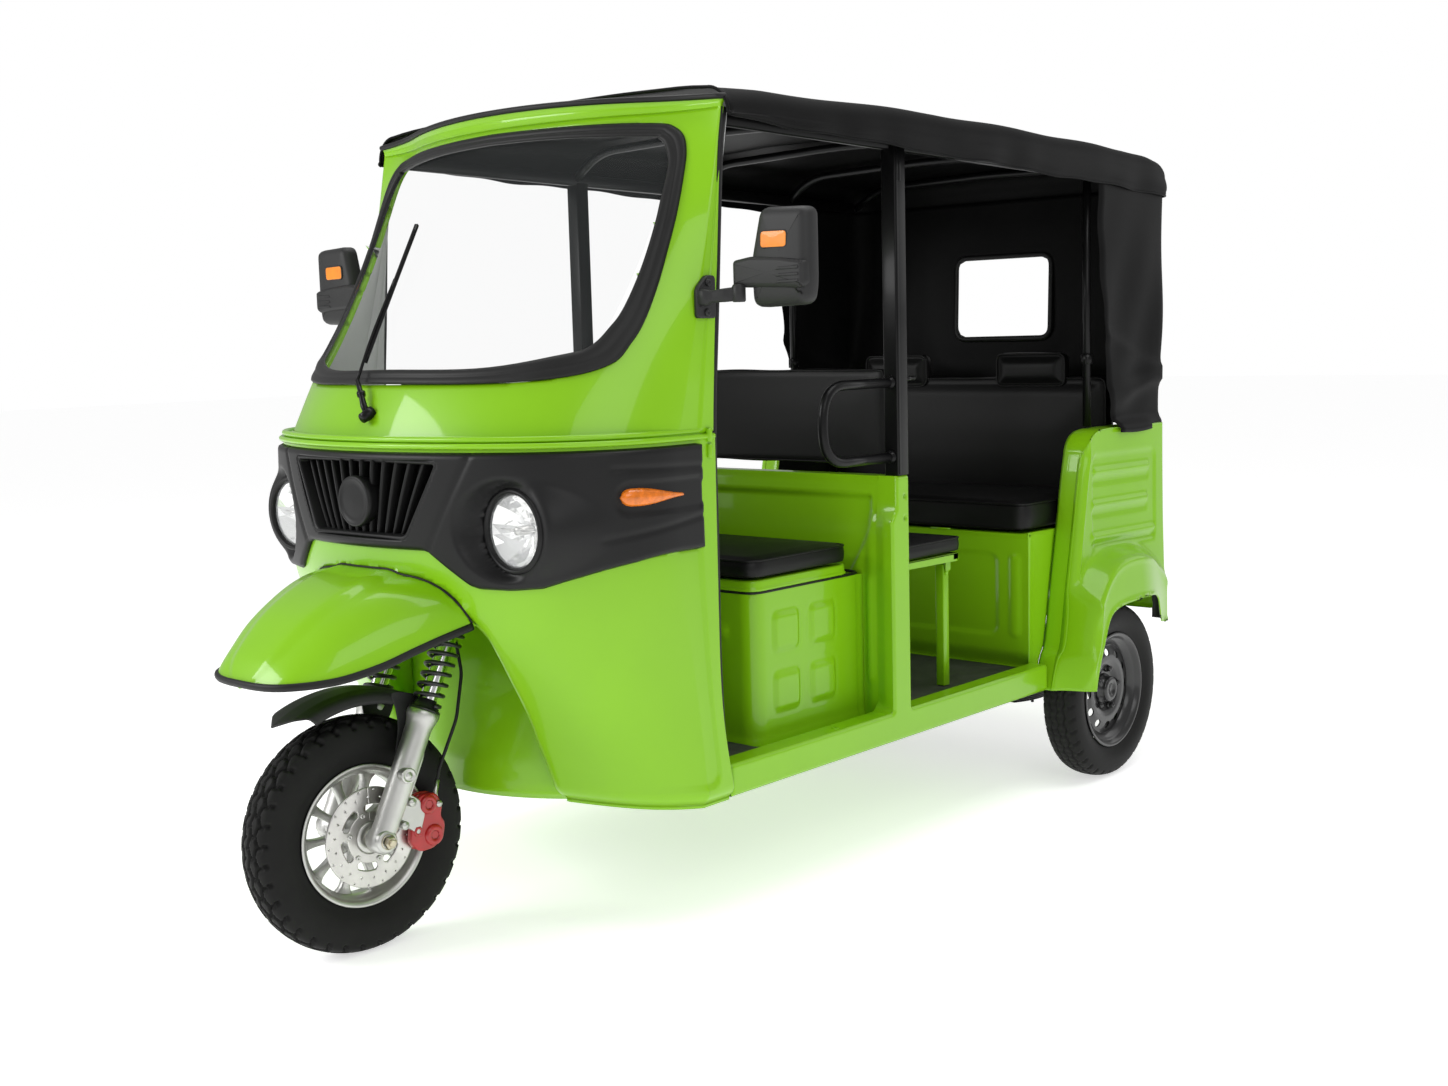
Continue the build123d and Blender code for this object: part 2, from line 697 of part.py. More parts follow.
def grab_handles():
    """A bent tube welded to the front of each B-pillar."""
    x = half_width - 27
    front = 1010
    handle = bent_tube([(x, post_front + 30 - seam, 1238), (x, front, 1238), (x, front, 1048),
                        (x, post_front + 30 - seam, 1048)], [80, 80], 25)
    return both_sides(handle)


seat_half = half_width - 120
seat_hinge = Vector(0, 836, 742)        # the seat tips forward about this line
seat_knuckles = (-320, 320)
knuckle_diameter = 12


def driver_seat_box():
    """The stamped box under the driver's seat, open below, with its battery inside."""
    half = seat_half
    outline = [(-half, 842), (half, 842), (half, 1283), (-half, 1283)]
    box = flat_plate(outline, floor_top + seam, 742, 45)
    inside = [(-half + sheet, 842 + sheet), (half - sheet, 842 + sheet), (half - sheet, 1283 - sheet),
              (-half + sheet, 1283 - sheet)]
    box -= flat_plate(inside, floor_top - 10, 742 - sheet, 30)
    box -= block(-half + 90, half - 90, 890, 1200, 700, 760)
    for y in (915, 1060):
        for z in (440, 590):
            for side in (-1, 1):
                x = side * half
                pad = side_plate([(y, z), (y + 100, z), (y + 100, z + 95), (y, z + 95)], x - 4, x + 4, 14)
                box += pad
    box += front_plate([(-300, 420), (300, 420), (300, 600), (-300, 600)], 838, 848, 20)
    box += front_plate([(330, 628), (400, 628), (400, 662), (330, 662)], 838, 848, 16)
    for x in seat_knuckles:
        box += rod((x - 20, seat_hinge.Y, seat_hinge.Z), (x + 20, seat_hinge.Y, seat_hinge.Z), knuckle_diameter)
        box += block(x - 20, x + 20, seat_hinge.Y, 850, seat_hinge.Z - knuckle_diameter / 2, seat_hinge.Z)
    return box


def driver_seat_lid():
    """The tray that carries the cushion and tips forward at its front edge."""
    half = seat_half + 4
    lid = flat_plate([(-half, 838), (half, 838), (half, 1222), (-half, 1222)], 742 + seam, 775, 40)
    for x in seat_knuckles:
        lid -= rod((x - 21, seat_hinge.Y, seat_hinge.Z), (x + 21, seat_hinge.Y, seat_hinge.Z),
                   knuckle_diameter + 2 * fit)
    return lid


def driver_seat_cushion():
    """The driver's cushion."""
    half = seat_half + 10
    return flat_plate([(-half, 828), (half, 828), (half, 1216), (-half, 1216)], 775 + soft_gap, 832, 40)


def battery_pack():
    """The traction battery inside the seat box."""
    return block(-seat_half + 100, seat_half - 100, 880, 1220, floor_top + seam, 640)


# ---------------------------------------------------------------- rear body
# Outer line of the rear quarter in plan: height, then the places (x, y from the rear axle), front edge to back.
quarter_levels = [
    (309, [(half_width, -290), (arch_out - 30, -272), (arch_out - 3, -220), (arch_out, 0), (arch_out - 58, 355)]),
    (541, [(half_width, -220), (arch_out - 40, -200), (arch_out - 1, -150), (arch_out + 1, 10), (arch_out - 55, 362)]),
    (690, [(half_width, -182), (arch_out - 75, -162), (arch_out - 45, -120), (arch_out - 29, 10),
           (arch_out - 63, 345)]),
    (1064, [(half_width, -135), (half_width + 12, -115), (half_width + 28, -60), (half_width + 42, 80),
            (half_width + 48, 335)]),
]
quarter_inner = half_width - 60


def quarter_loft(inset):
    """The rear quarter's outside, or its inside when inset."""
    faces = []
    for z, outer in quarter_levels:
        z += {309: -inset, 1064: -inset}.get(z, 0)
        line = [(x - inset, wheelbase + y + inset * 0.8) for x, y in outer[:-1]]
        line.append((outer[-1][0] - inset, wheelbase + outer[-1][1] + 3 * inset))
        points = [*line, (300, line[-1][1]), (300, line[0][1])]
        faces.append(Plane.XY.offset(z) * make_face(Polyline(*points, close=True)))
    return loft(faces, ruled=True)


def rear_quarter():
    """The left rear corner panel with its wheel arch and its jamb along the door opening."""
    outline = [(-340, 309), (-245, 309), (-210, 345), (-163, 460), (-140, 510), (-63, 541), (190, 541), (280, 520),
               (360, 440), (390, 440), (390, quarter_top), (-20, quarter_top), (-90, 1040), (-170, 980), (-340, 900)]
    cut = side_plate([(wheelbase + y, z) for y, z in outline], quarter_inner + 5, arch_out + 85)
    return (quarter_loft(0) - quarter_loft(sheet)) & cut


def rear_panel():
    """The lower back wall between the two quarters, with the blank place for a plate."""
    wall = block(-half_width - 20, half_width + 20, body_back - 35, body_back - 10, 470, quarter_top - sheet - seam)
    wall -= block(-130, 130, body_back - 18, body_back, 600, 760)
    return wall


def tail_lamps():
    """An upright lamp on each side of the rear panel."""
    lamp = block(half_width - 60, half_width + 22, body_back - 10 + seam, body_back + 22, 727, 939)
    return both_sides(lamp)


def rear_bench_base():
    """The stamped front of the bench and the deck under its cushion."""
    x = quarter_inner - 3
    start, end = quarter_front - 10, body_back - 95
    front = block(-x, x, start, start + sheet, floor_top + seam, 770)
    front -= front_plate([(-x + 97, 450), (x - 97, 450), (x - 97, 700), (-x + 97, 700)], 0, start + 6, 30)
    deck = block(-x, x, start, end, 758, 770)
    return front + deck + block(-x, x, end - sheet, end, 430, 758)


def rear_bench_cushion():
    """The rear bench's seat cushion."""
    x, start, end = quarter_inner - 10, quarter_front - 24, body_back - 185
    return flat_plate([(-x, start), (x, start), (x, end), (-x, end)], 770 + soft_gap, 868, 30)


def rear_bench_backrest():
    """The rear bench's tall backrest, with two head pads."""
    front, end = body_back - 180, body_back - 95
    back = block(10 - quarter_inner, quarter_inner - 10, front, end, 770 + soft_gap, 1212)
    for x in (-260, 260):
        back += block(x - 130, x + 130, front + 5, end - 30, 1212, 1292)
    return back


case_x = 80
case_radius = 100


def rear_axle():
    """The axle tube with its gear case, backing plates and stub shafts, all turned about one line."""
    left = [(case_x + 95, 32), (500, 32), (500, 96), (512, 96), (512, 40), (540, 40), (540, stub_diameter / 2),
            (track / 2 + 26, stub_diameter / 2)]
    right = [(-x, r) for x, r in reversed(left)]
    right[-1] = (case_x - 95, 32)
    case = [(case_x - 80, 60), (case_x - 50, case_radius - 10), (case_x, case_radius), (case_x + 50, case_radius - 10),
            (case_x + 80, 60)]
    outline = [(-track / 2 - 26, 0), *right, *case, *left, (track / 2 + 26, 0)]
    return turned(outline, 0, wheelbase, rear_axle_height)


def drive_motor():
    """The traction motor, one plain drum bolted to the front of the gear case."""
    y = wheelbase - case_radius - 90 - seam
    motor = rod((case_x - 100, y, rear_axle_height + 6), (case_x + 100, y, rear_axle_height + 6), 180)
    nose = block(case_x - 40, case_x + 40, y + 60, wheelbase - case_radius - seam, rear_axle_height - 40,
                 rear_axle_height + 40)
    return motor + nose


def leaf_springs():
    """Leaf packs clamped under the axle, hung from the rails at a pin in front and a shackle behind."""
    x0, x1 = rail_x + rail_width / 2 + 30, rail_x + rail_width / 2 + 80
    top = rear_axle_height - 32 - seam
    y = wheelbase
    front, back = (y - 358, rail_low + 12), (rail_back - 20, rail_high - 62)
    pack = side_plate([(front[0], front[1] + 4), (y - 220, top + 22), (y - 80, top), (y + 40, top), (y + 180, top + 30),
                       (back[0], back[1] + 4), (back[0], back[1] - 4), (y + 180, top + 22), (y + 60, top - 18),
                       (y - 100, top - 18), (y - 220, top + 14), (front[0], front[1] - 4)], x0, x1)
    wall = rail_x + rail_width / 2 + seam
    for pin_y, pin_z in (front, back):
        pack += rod((wall, pin_y, pin_z), (x1 + 4, pin_y, pin_z), 26)
    pack += side_plate([(back[0] - 15, back[1]), (back[0] + 15, back[1]), (back[0] + 15, rail_high + 10),
                        (back[0] - 15, rail_high + 10)], wall, wall + 8)
    return both_sides(pack)


# ---------------------------------------------------------------- rear-facing folding seat
leg_pivot = Vector(0, 1696, 708)


def jump_seat_frame():
    """A tube frame under the rear-facing seat, with eyes on the partition's pins and pins for the legs."""
    front = jump_hinge.Y - 12
    x = jump_half
    frame = block(-x, x, front, jump_back, 727, 749)
    frame -= block(30 - x, x - 30, front + 30, jump_back - 30, 700, 760)
    eye = block(x - 5, x + 14, front, front + 26, 727, 749) + block(x + 6, x + 14, front, front + 26, 727, jump_hinge.Z + 12)
    eye -= rod((x, jump_hinge.Y, jump_hinge.Z), (x + 20, jump_hinge.Y, jump_hinge.Z), 12 + 2 * fit)
    ear = block(x - 31, x - 26, leg_pivot.Y - 11, leg_pivot.Y + 11, leg_pivot.Z - 12, 727)
    ear += rod((x - 26, leg_pivot.Y, leg_pivot.Z), (x - 56, leg_pivot.Y, leg_pivot.Z), 10)
    half = eye + ear
    return frame + half + mirror(half, about=Plane.YZ)


def jump_seat_cushion():
    """The rear-facing seat's cushion."""
    x = jump_half + 4
    return flat_plate([(-x, 1370), (x, 1370), (x, 1726), (-x, 1726)], 749 + soft_gap, 800, 25)


def jump_seat_legs():
    """Two square legs, pivoted under the seat's free edge."""
    leg = block(jump_half - 62, jump_half - 34, leg_pivot.Y - 14, leg_pivot.Y + 14, floor_top + mat_thickness + seam, leg_pivot.Z + 9)
    return both_sides(leg - rod((jump_half, leg_pivot.Y, leg_pivot.Z), (jump_half - 100, leg_pivot.Y, leg_pivot.Z),
                                10 + 2 * fit))


# ---------------------------------------------------------------- canopy
def canopy():
    """The fabric roof with its side valances, rear corners and back curtain."""
    def silhouette(inset):
        """The canopy's side view, filled, smaller by inset."""
        top = roof_height - inset
        front = canopy_front - (60 if inset else 0)
        return side_plate(
            [(front, 1000), (front, top - roof_line[0][1]), *[(y, top - drop) for y, drop in roof_line[1:]],
             (canopy_back - inset, top - 110),
             (canopy_back - inset, top - 200), (canopy_back - 30 - inset, 1140), (canopy_back - 35 - inset, 1000)],
            -800, 800)

    def cross_section(inset):
        """The canopy's front view, filled, smaller by inset."""
        half, top = canopy_half_width - inset, roof_height - inset
        face = make_face([ThreePointArc((-half + 70, top - 28), (0, top), (half - 70, top - 28)).edge(),
                          *Polyline((half - 70, top - 28), (half - 20, top - 50), (half, top - 90), (half, 1000),
                                    (-half, 1000), (-half, top - 90), (-half + 20, top - 50),
                                    (-half + 70, top - 28)).edges()])
        plane = Plane(origin=(0, canopy_back + 130, 0), x_dir=(1, 0, 0), z_dir=(0, -1, 0))
        return extrude(plane * face, amount=canopy_back - 270)

    skin = (silhouette(0) & cross_section(0)) - (silhouette(canopy_wall) & cross_section(canopy_wall))
    skin -= block(-800, 800, 0, canopy_back + 230, 900, 1070)
    for side in (-1, 1):
        x0, x1 = sorted((side * (half_width - 40), side * (half_width + 100)))
        edge = wheelbase - 30
        skin -= side_plate([(500, 1000), (edge, 1000), (edge, 1786), (1247, 1822), (500, 1850)], x0, x1)
    window = front_plate([(-182, 1340), (182, 1340), (182, 1610), (-182, 1610)], canopy_back - 170, canopy_back + 130, 40)
    return skin - window


# ---------------------------------------------------------------- build
pieces = {
    "chassis_frame": chassis_frame,
    "floor_pan": floor_pan,
    "floor_mats": floor_mats,
    "front_cowl": front_cowl,
    "nose_fender": nose_fender,
    "front_fascia": front_fascia,
    "grille": grille,
    "headlamps": headlamps,
    "turn_signals": turn_signals,
    "windscreen_glass": windscreen_glass,
    "windscreen_seal": windscreen_seal,
    "roof_front_panel": roof_front_panel,
    "dashboard": dashboard,
    "wiper": wiper,
    "mirrors": mirrors,
    "partition_panel": partition_panel,
    "partition_backrest": partition_backrest,
    "roof_frame": roof_frame,
    "grab_handles": grab_handles,
    "canopy": canopy,
    "driver_seat_box": driver_seat_box,
    "driver_seat_lid": driver_seat_lid,
    "driver_seat_cushion": driver_seat_cushion,
    "battery_pack": battery_pack,
    "rear_panel": rear_panel,
    "tail_lamps": tail_lamps,
    "rear_bench_base": rear_bench_base,
    "rear_bench_cushion": rear_bench_cushion,
    "rear_bench_backrest": rear_bench_backrest,
    "rear_axle": rear_axle,
    "drive_motor": drive_motor,
    "leaf_springs": leaf_springs,
    "jump_seat_frame": jump_seat_frame,
    "jump_seat_cushion": jump_seat_cushion,
    "jump_seat_legs": jump_seat_legs,
}
steered_pieces = {
    "steering_fork": steering_fork,
    "fork_sliders": fork_sliders,
    "fork_springs": fork_springs,
    "handlebar": handlebar,
    "front_mudguard": front_mudguard,
    "brake_disc": brake_disc,
    "brake_caliper": brake_caliper,
    "brake_hose": brake_hose,
    "front_rim": front_rim,
    "front_tyre": lambda: tyre(0, 0, axle_height, front_tyre_radius, front_tyre_width, front_rim_radius),
}
mirrored_pieces = {"side_frame": side_frame, "rear_quarter": rear_quarter}

if __name__ == "__main__":
    os.makedirs("parts", exist_ok=True)
    for name, make in pieces.items():
        export_piece(name, make())
    for name, make in steered_pieces.items():
        export_piece(name, steered(make()))
    for name, make in mirrored_pieces.items():
        piece = make()
        export_piece(f"{name}_left", piece)
        export_piece(f"{name}_right", mirror(piece, about=Plane.YZ))
    for side, x in (("left", track / 2), ("right", -track / 2)):
        export_piece(f"rear_rim_{side}", rear_rim(x))
        export_piece(f"rear_tyre_{side}",
                     tyre(x, wheelbase, rear_axle_height, rear_tyre_radius, rear_tyre_width, rear_rim_radius))
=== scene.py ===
# %% [markdown]
# # Auto rickshaw
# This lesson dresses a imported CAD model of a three-wheeled taxi. The CAD gives every size, place and joint.
# Here each visible piece gets a smooth surface worked out with numpy, and each finish gets a procedural material.

import json
import math

import bmesh
import bpy
import numpy as np
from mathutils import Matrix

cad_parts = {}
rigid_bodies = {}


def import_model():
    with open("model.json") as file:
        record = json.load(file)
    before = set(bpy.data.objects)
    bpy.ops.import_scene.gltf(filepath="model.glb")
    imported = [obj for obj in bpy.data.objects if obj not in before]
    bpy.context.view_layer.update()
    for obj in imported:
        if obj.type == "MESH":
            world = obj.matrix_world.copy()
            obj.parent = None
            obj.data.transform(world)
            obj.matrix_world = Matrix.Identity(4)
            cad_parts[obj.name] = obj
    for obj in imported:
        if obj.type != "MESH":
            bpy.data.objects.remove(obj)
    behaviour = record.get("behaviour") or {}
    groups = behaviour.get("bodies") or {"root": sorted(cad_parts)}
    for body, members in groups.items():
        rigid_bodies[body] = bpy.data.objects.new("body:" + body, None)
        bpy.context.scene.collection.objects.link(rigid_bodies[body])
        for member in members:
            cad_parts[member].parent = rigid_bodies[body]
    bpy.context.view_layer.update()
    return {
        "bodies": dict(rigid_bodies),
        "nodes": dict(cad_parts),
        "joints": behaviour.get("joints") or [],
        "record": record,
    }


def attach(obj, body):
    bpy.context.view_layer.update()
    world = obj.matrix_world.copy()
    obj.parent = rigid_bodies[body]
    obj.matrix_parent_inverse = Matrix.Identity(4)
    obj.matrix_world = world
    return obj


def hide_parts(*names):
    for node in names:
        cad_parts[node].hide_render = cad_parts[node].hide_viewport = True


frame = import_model()
AXLE = -1.249          # the front axle's place along Y; shapes are written with Y counted from it

# %% [markdown]
# ## Camera, floor and light
# A real studio shot of a vehicle uses a white sweep and large soft boxes. A long highlight along a painted
# curve comes from one large light, so one sits high on each side and a long one hangs over the roof.

# %% Camera


def camera_axes(yaw, pitch, roll):
    """Right, up and forward of a camera turned by yaw about Z, tipped down by pitch and rolled, in degrees."""
    a, e, r = np.radians([yaw, pitch, roll])
    forward = np.array([-np.sin(a) * np.cos(e), np.cos(a) * np.cos(e), -np.sin(e)])
    level = np.array([np.cos(a), np.sin(a), 0.0])
    rise = np.cross(level, forward)
    return level * np.cos(r) + rise * np.sin(r), -level * np.sin(r) + rise * np.cos(r), forward


right_way, up_way, forward_way = camera_axes(41.5389, 7.0137, -1.5379)
eye = bpy.data.objects.new("view_camera", bpy.data.cameras.new("view_camera"))
eye.data.lens, eye.data.sensor_width = 41.09, 36.0
matrix = np.eye(4)
matrix[:3, :3] = np.stack([right_way, up_way, -forward_way], axis=1)
matrix[:3, 3] = (3.0534, -2.1632 + AXLE, 1.3581)
from mathutils import Matrix, Vector

eye.matrix_world = Matrix(matrix.tolist())
bpy.context.scene.collection.objects.link(eye)
bpy.context.scene.camera = eye
print("camera at", matrix[:3, 3].round(3))

# %% Floor and lights


def soft_box(name, place, aim, size, power):
    """A square area light at one place that points at another."""
    lamp = bpy.data.lights.new(name, "AREA")
    lamp.shape, lamp.size, lamp.size_y, lamp.energy = "RECTANGLE", size[0], size[1], power
    holder = bpy.data.objects.new(name, lamp)
    way = np.array(aim, float) - np.array(place, float)

    holder.rotation_euler = Vector(way).to_track_quat("-Z", "Y").to_euler()
    holder.location = place
    bpy.context.scene.collection.objects.link(holder)
    return holder


soft_box("left_box", (4.2, -2.6, 3.4), (0, -0.4, 0.7), (3.2, 2.2), 44)
soft_box("front_box", (-2.4, -4.8, 3.0), (0, -0.8, 0.7), (2.6, 2.0), 135)
soft_box("roof_box", (0.4, 0.2, 4.6), (0, 0.2, 0), (2.4, 5.0), 112)
soft_box("back_box", (2.5, 4.6, 2.6), (0, 0.6, 0.8), (3.0, 2.0), 16)

world = bpy.data.worlds.new("studio_air")
bpy.context.scene.world = world
world.use_nodes = True
world.node_tree.nodes["Background"].inputs["Color"].default_value = (1, 1, 1, 1)
air = world.node_tree
seen = air.nodes.new("ShaderNodeLightPath")
share = air.nodes.new("ShaderNodeMapRange")
share.inputs["To Min"].default_value, share.inputs["To Max"].default_value = 0.43, 1.0
air.links.new(seen.outputs["Is Camera Ray"], share.inputs["Value"])
air.links.new(share.outputs["Result"], air.nodes["Background"].inputs["Strength"])

floor_mesh = bpy.data.meshes.new("studio_floor")
floor_mesh.from_pydata([(-40, -40, 0), (40, -40, 0), (40, 40, 0), (-40, 40, 0)], [], [(0, 1, 2, 3)])
floor = bpy.data.objects.new("studio_floor", floor_mesh)
bpy.context.scene.collection.objects.link(floor)
floor_finish = bpy.data.materials.new("studio_floor")
floor_finish.use_nodes = True
floor_finish.node_tree.nodes["Principled BSDF"].inputs["Base Color"].default_value = (0.93, 0.93, 0.93, 1)
floor_finish.node_tree.nodes["Principled BSDF"].inputs["Roughness"].default_value = 0.9
floor_finish.node_tree.nodes["Principled BSDF"].inputs["Emission Color"].default_value = (1, 1, 1, 1)
floor_finish.node_tree.nodes["Principled BSDF"].inputs["Emission Strength"].default_value = 0.58
floor.data.materials.append(floor_finish)
bpy.context.scene.view_settings.view_transform = "Standard"
print("four soft boxes and a floor")

# %% [markdown]
# ## Finishes
# One helper builds most finishes: a shader, a slow noise that shifts the colour a little, and a fine noise that
# roughens the surface. The numbers tell gloss paint from rubber. Values that are the same everywhere are set on
# the shader itself.

# %% Finish helper


def new_finish(name, colour, rough, **sockets):
    """A material with its shader, its node list and its link function."""
    material = bpy.data.materials.new(name)
    material.use_nodes = True
    tree = material.node_tree
    shader = tree.nodes["Principled BSDF"]
    shader.inputs["Base Color"].default_value = (*colour, 1)
    shader.inputs["Roughness"].default_value = rough
    for socket, value in sockets.items():
        shader.inputs[socket.replace("_", " ")].default_value = value
    return material, tree, shader


def add_node(tree, kind, **values):
    """A node of one kind with its input sockets or properties set."""
    node = tree.nodes.new(kind)
    for key, value in values.items():
        if key in node.inputs.keys():
            node.inputs[key].default_value = value
        else:
            setattr(node, key, value)
    return node


def speckled(name, colour, rough, shift=0.08, patch=3.0, grain=400.0, depth=0.15, reach=0.0005, rough_shift=0.1,
             stretch=(1, 1, 1), **sockets):
    """Colour shifted by a slow noise of 'patch' waves a metre, and bump from a fine noise of 'grain' waves."""
    material, tree, shader = new_finish(name, colour, rough, **sockets)
    place = add_node(tree, "ShaderNodeTexCoord")
    squeeze = add_node(tree, "ShaderNodeMapping", Scale=stretch)
    tree.links.new(place.outputs["Object"], squeeze.inputs["Vector"])
    slow = add_node(tree, "ShaderNodeTexNoise", Scale=patch, Detail=5.0, Roughness=0.6)
    tree.links.new(squeeze.outputs["Vector"], slow.inputs["Vector"])
    ramp = add_node(tree, "ShaderNodeValToRGB")
    ramp.color_ramp.elements[0].position, ramp.color_ramp.elements[1].position = 0.3, 0.7
    ramp.color_ramp.elements[0].color = (*[max(c * (1 - shift), 0) for c in colour], 1)
    ramp.color_ramp.elements[1].color = (*[min(c * (1 + shift), 1) for c in colour], 1)
    tree.links.new(slow.outputs["Fac"], ramp.inputs["Fac"])
    tree.links.new(ramp.outputs["Color"], shader.inputs["Base Color"])
    spread = add_node(tree, "ShaderNodeMapRange")
    spread.inputs["To Min"].default_value = rough * (1 - rough_shift)
    spread.inputs["To Max"].default_value = min(rough * (1 + rough_shift), 1)
    tree.links.new(slow.outputs["Fac"], spread.inputs["Value"])
    tree.links.new(spread.outputs["Result"], shader.inputs["Roughness"])
    fine = add_node(tree, "ShaderNodeTexNoise", Scale=grain, Detail=3.0)
    tree.links.new(squeeze.outputs["Vector"], fine.inputs["Vector"])
    bump = add_node(tree, "ShaderNodeBump", Strength=depth, Distance=reach)
    tree.links.new(fine.outputs["Fac"], bump.inputs["Height"])
    tree.links.new(bump.outputs["Normal"], shader.inputs["Normal"])
    return material


print("finish helper ready")

# %% Paint, plastic, rubber and metal
GREEN = (0.222, 0.505, 0.006)
finishes = {
    "green_sheet": speckled("lime_paint", GREEN, 0.3, 0.05, 1.6, 2.2, 0.35, 0.004, 0.15, Coat_Weight=0.45,
                            Specular_IOR_Level=0.2,
                            Coat_Roughness=0.05),
    "black_trim": speckled("band_plastic", (0.009, 0.009, 0.0092), 0.42, 0.12, 4, 900, 0.12, 0.0004,
                           Specular_IOR_Level=0.24),
    "black_plastic": speckled("grained_plastic", (0.02, 0.02, 0.0205), 0.5, 0.15, 6, 700, 0.3, 0.0005,
                              Specular_IOR_Level=0.3),
    "black_rubber": speckled("black_rubber", (0.008, 0.008, 0.008), 0.5, 0.2, 8, 500, 0.2, 0.0004,
                             Specular_IOR_Level=0.3),
    "black_steel": speckled("black_steel_paint", (0.004, 0.004, 0.0042), 0.36, 0.2, 5, 260, 0.12, 0.0005,
                            Coat_Weight=0.1, Coat_Roughness=0.15, Specular_IOR_Level=0.15),
    "black_vinyl": speckled("seat_vinyl", (0.003, 0.003, 0.003), 0.46, 0.2, 5, 340, 0.35, 0.0006,
                            Specular_IOR_Level=0.25),
    "canopy_cloth": speckled("canopy_vinyl", (0.005, 0.005, 0.0051), 0.5, 0.25, 4, 520, 0.3, 0.0005,
                             Specular_IOR_Level=0.08),
    "cast_alloy": speckled("cast_alloy", (0.56, 0.56, 0.54), 0.42, 0.12, 9, 240, 0.2, 0.0004, Metallic=1.0),
    "spring_steel": speckled("spring_paint", (0.012, 0.012, 0.013), 0.35, 0.2, 9, 300, 0.1, 0.0004),
    "disc_steel": speckled("disc_steel", (0.56, 0.55, 0.53), 0.3, 0.15, 14, 320, 0.2, 0.0002, Metallic=1.0),
    "red_caliper": speckled("red_caliper_paint", (0.42, 0.012, 0.014), 0.36, 0.15, 20, 300, 0.25, 0.0005,
                            Coat_Weight=0.4),
    "tyre_rubber": speckled("tyre_rubber", (0.007, 0.007, 0.0066), 0.6, 0.3, 12, 420, 0.35, 0.0006,
                            Specular_IOR_Level=0.2),
    "chrome": speckled("stanchion_chrome", (0.8, 0.8, 0.8), 0.12, 0.06, 9, 200, 0.05, 0.0002, Metallic=1.0),
    "pillar_lining": speckled("pillar_lining", (0.6, 0.61, 0.6), 0.5, 0.1, 3, 400, 0.15, 0.0004),
    "mat_rubber": speckled("mat_rubber", (0.035, 0.038, 0.03), 0.6, 0.4, 14, 260, 0.5, 0.001),
}
print(len(finishes), "opaque finishes")

# %% Glass and lenses


def lens_glass(name, colour, alpha, rough=0.04, **sockets):
    """A thin pane: a tint, an even transparency and a gloss coat."""
    return new_finish(name, colour, rough, Alpha=alpha, Coat_Weight=0.5, Coat_Roughness=0.02, **sockets)[0]


finishes["clear_glass"] = lens_glass("windscreen_pane", (0.25, 0.27, 0.27), 0.07, 0.02)
finishes["lamp_lens"] = lens_glass("lamp_lens", (0.9, 0.92, 0.93), 0.28, 0.03)
finishes["amber_lens"] = speckled("amber_lens", (0.72, 0.17, 0.004), 0.22, 0.25, 60, 160, 0.3, 0.001, Coat_Weight=0.4)
finishes["amber_reflector"] = speckled("amber_reflector", (0.85, 0.24, 0.002), 0.4, 0.1, 40, 300, 0.2, 0.0005,
                                       Coat_Weight=0.3)
finishes["red_lens"] = speckled("red_lens", (0.35, 0.01, 0.01), 0.18, 0.2, 30, 120, 0.3, 0.001, Coat_Weight=0.8)
print("lenses", [m for m in finishes if "lens" in m or "glass" in m])

# %% Dress the CAD nodes
slots = {row["node"]: row["material_slot"] for row in frame["record"]["subparts"]}
for node, obj in frame["nodes"].items():
    if not obj.data.materials:
        obj.data.materials.append(None)
    for index in range(len(obj.data.materials)):
        obj.data.materials[index] = finishes[slots[node]]
frame["nodes"]["floor_mats"].data.materials[0] = finishes["mat_rubber"]
print(len(slots), "nodes dressed")

# %% [markdown]
# ## Shape tools
# Every new piece is a surface worked out with numpy. A grid of two parameters goes through a formula, all points at
# once, and four neighbours make a face. Openings are cut on the grid itself: points near the cut slide onto it.

# %% Grids and meshes


def grid_faces(rows, columns, ring=False, loop=False):
    """Quads of a grid: each point with its right, upper right and upper neighbour; ring joins the last column to
    the first, loop joins the last row to the first."""
    i = np.arange(rows if loop else rows - 1)[:, None]
    j = np.arange(columns if ring else columns - 1)[None, :]
    right, above = (j + 1) % columns, (i + 1) % rows
    return np.stack([i * columns + j, i * columns + right, above * columns + right, above * columns + j],
                    -1).reshape(-1, 4)


def new_piece(name, points, faces, finish, body="body", smooth=True, replaces=(), slot=None, shift=True):
    """A mesh piece from points and faces; shift moves points counted from the front axle to the shared frame."""
    points = np.asarray(points, float).reshape(-1, 3)
    if shift:
        points = points + (0, AXLE, 0)
    mesh = bpy.data.meshes.new(name)
    mesh.from_pydata(points.tolist(), [], [tuple(f) for f in faces])
    mesh.validate()
    mesh.polygons.foreach_set("use_smooth", np.full(len(mesh.polygons), smooth))
    obj = bpy.data.objects.new(name, mesh)
    obj.data.materials.append(finishes[finish])
    bpy.context.scene.collection.objects.link(obj)
    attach(obj, body)
    if replaces:
        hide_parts(*replaces)
    return obj


def join_parts(parts):
    """Points and faces of several parts as one list each; faces keep pointing at their own points."""
    points, faces, start = [], [], 0
    for p, f in parts:
        p = np.asarray(p, float).reshape(-1, 3)
        points.append(p)
        faces += [tuple(int(k) + start for k in face) for face in f]
        start += len(p)
    return np.concatenate(points), faces


def mirrored(part):
    """The part's mirror image across X = 0, with its faces turned so they still point outwards."""
    points, faces = part
    return np.asarray(points).reshape(-1, 3) * (-1, 1, 1), [tuple(face)[::-1] for face in faces]


def thicken(obj, depth, side=-1.0, rim=True):
    """A wall of this thickness behind the surface (side -1) or in front of it (side 1)."""
    wall = obj.modifiers.new("wall", "SOLIDIFY")
    wall.thickness, wall.offset, wall.use_rim, wall.use_even_offset = depth, side, rim, False
    return obj


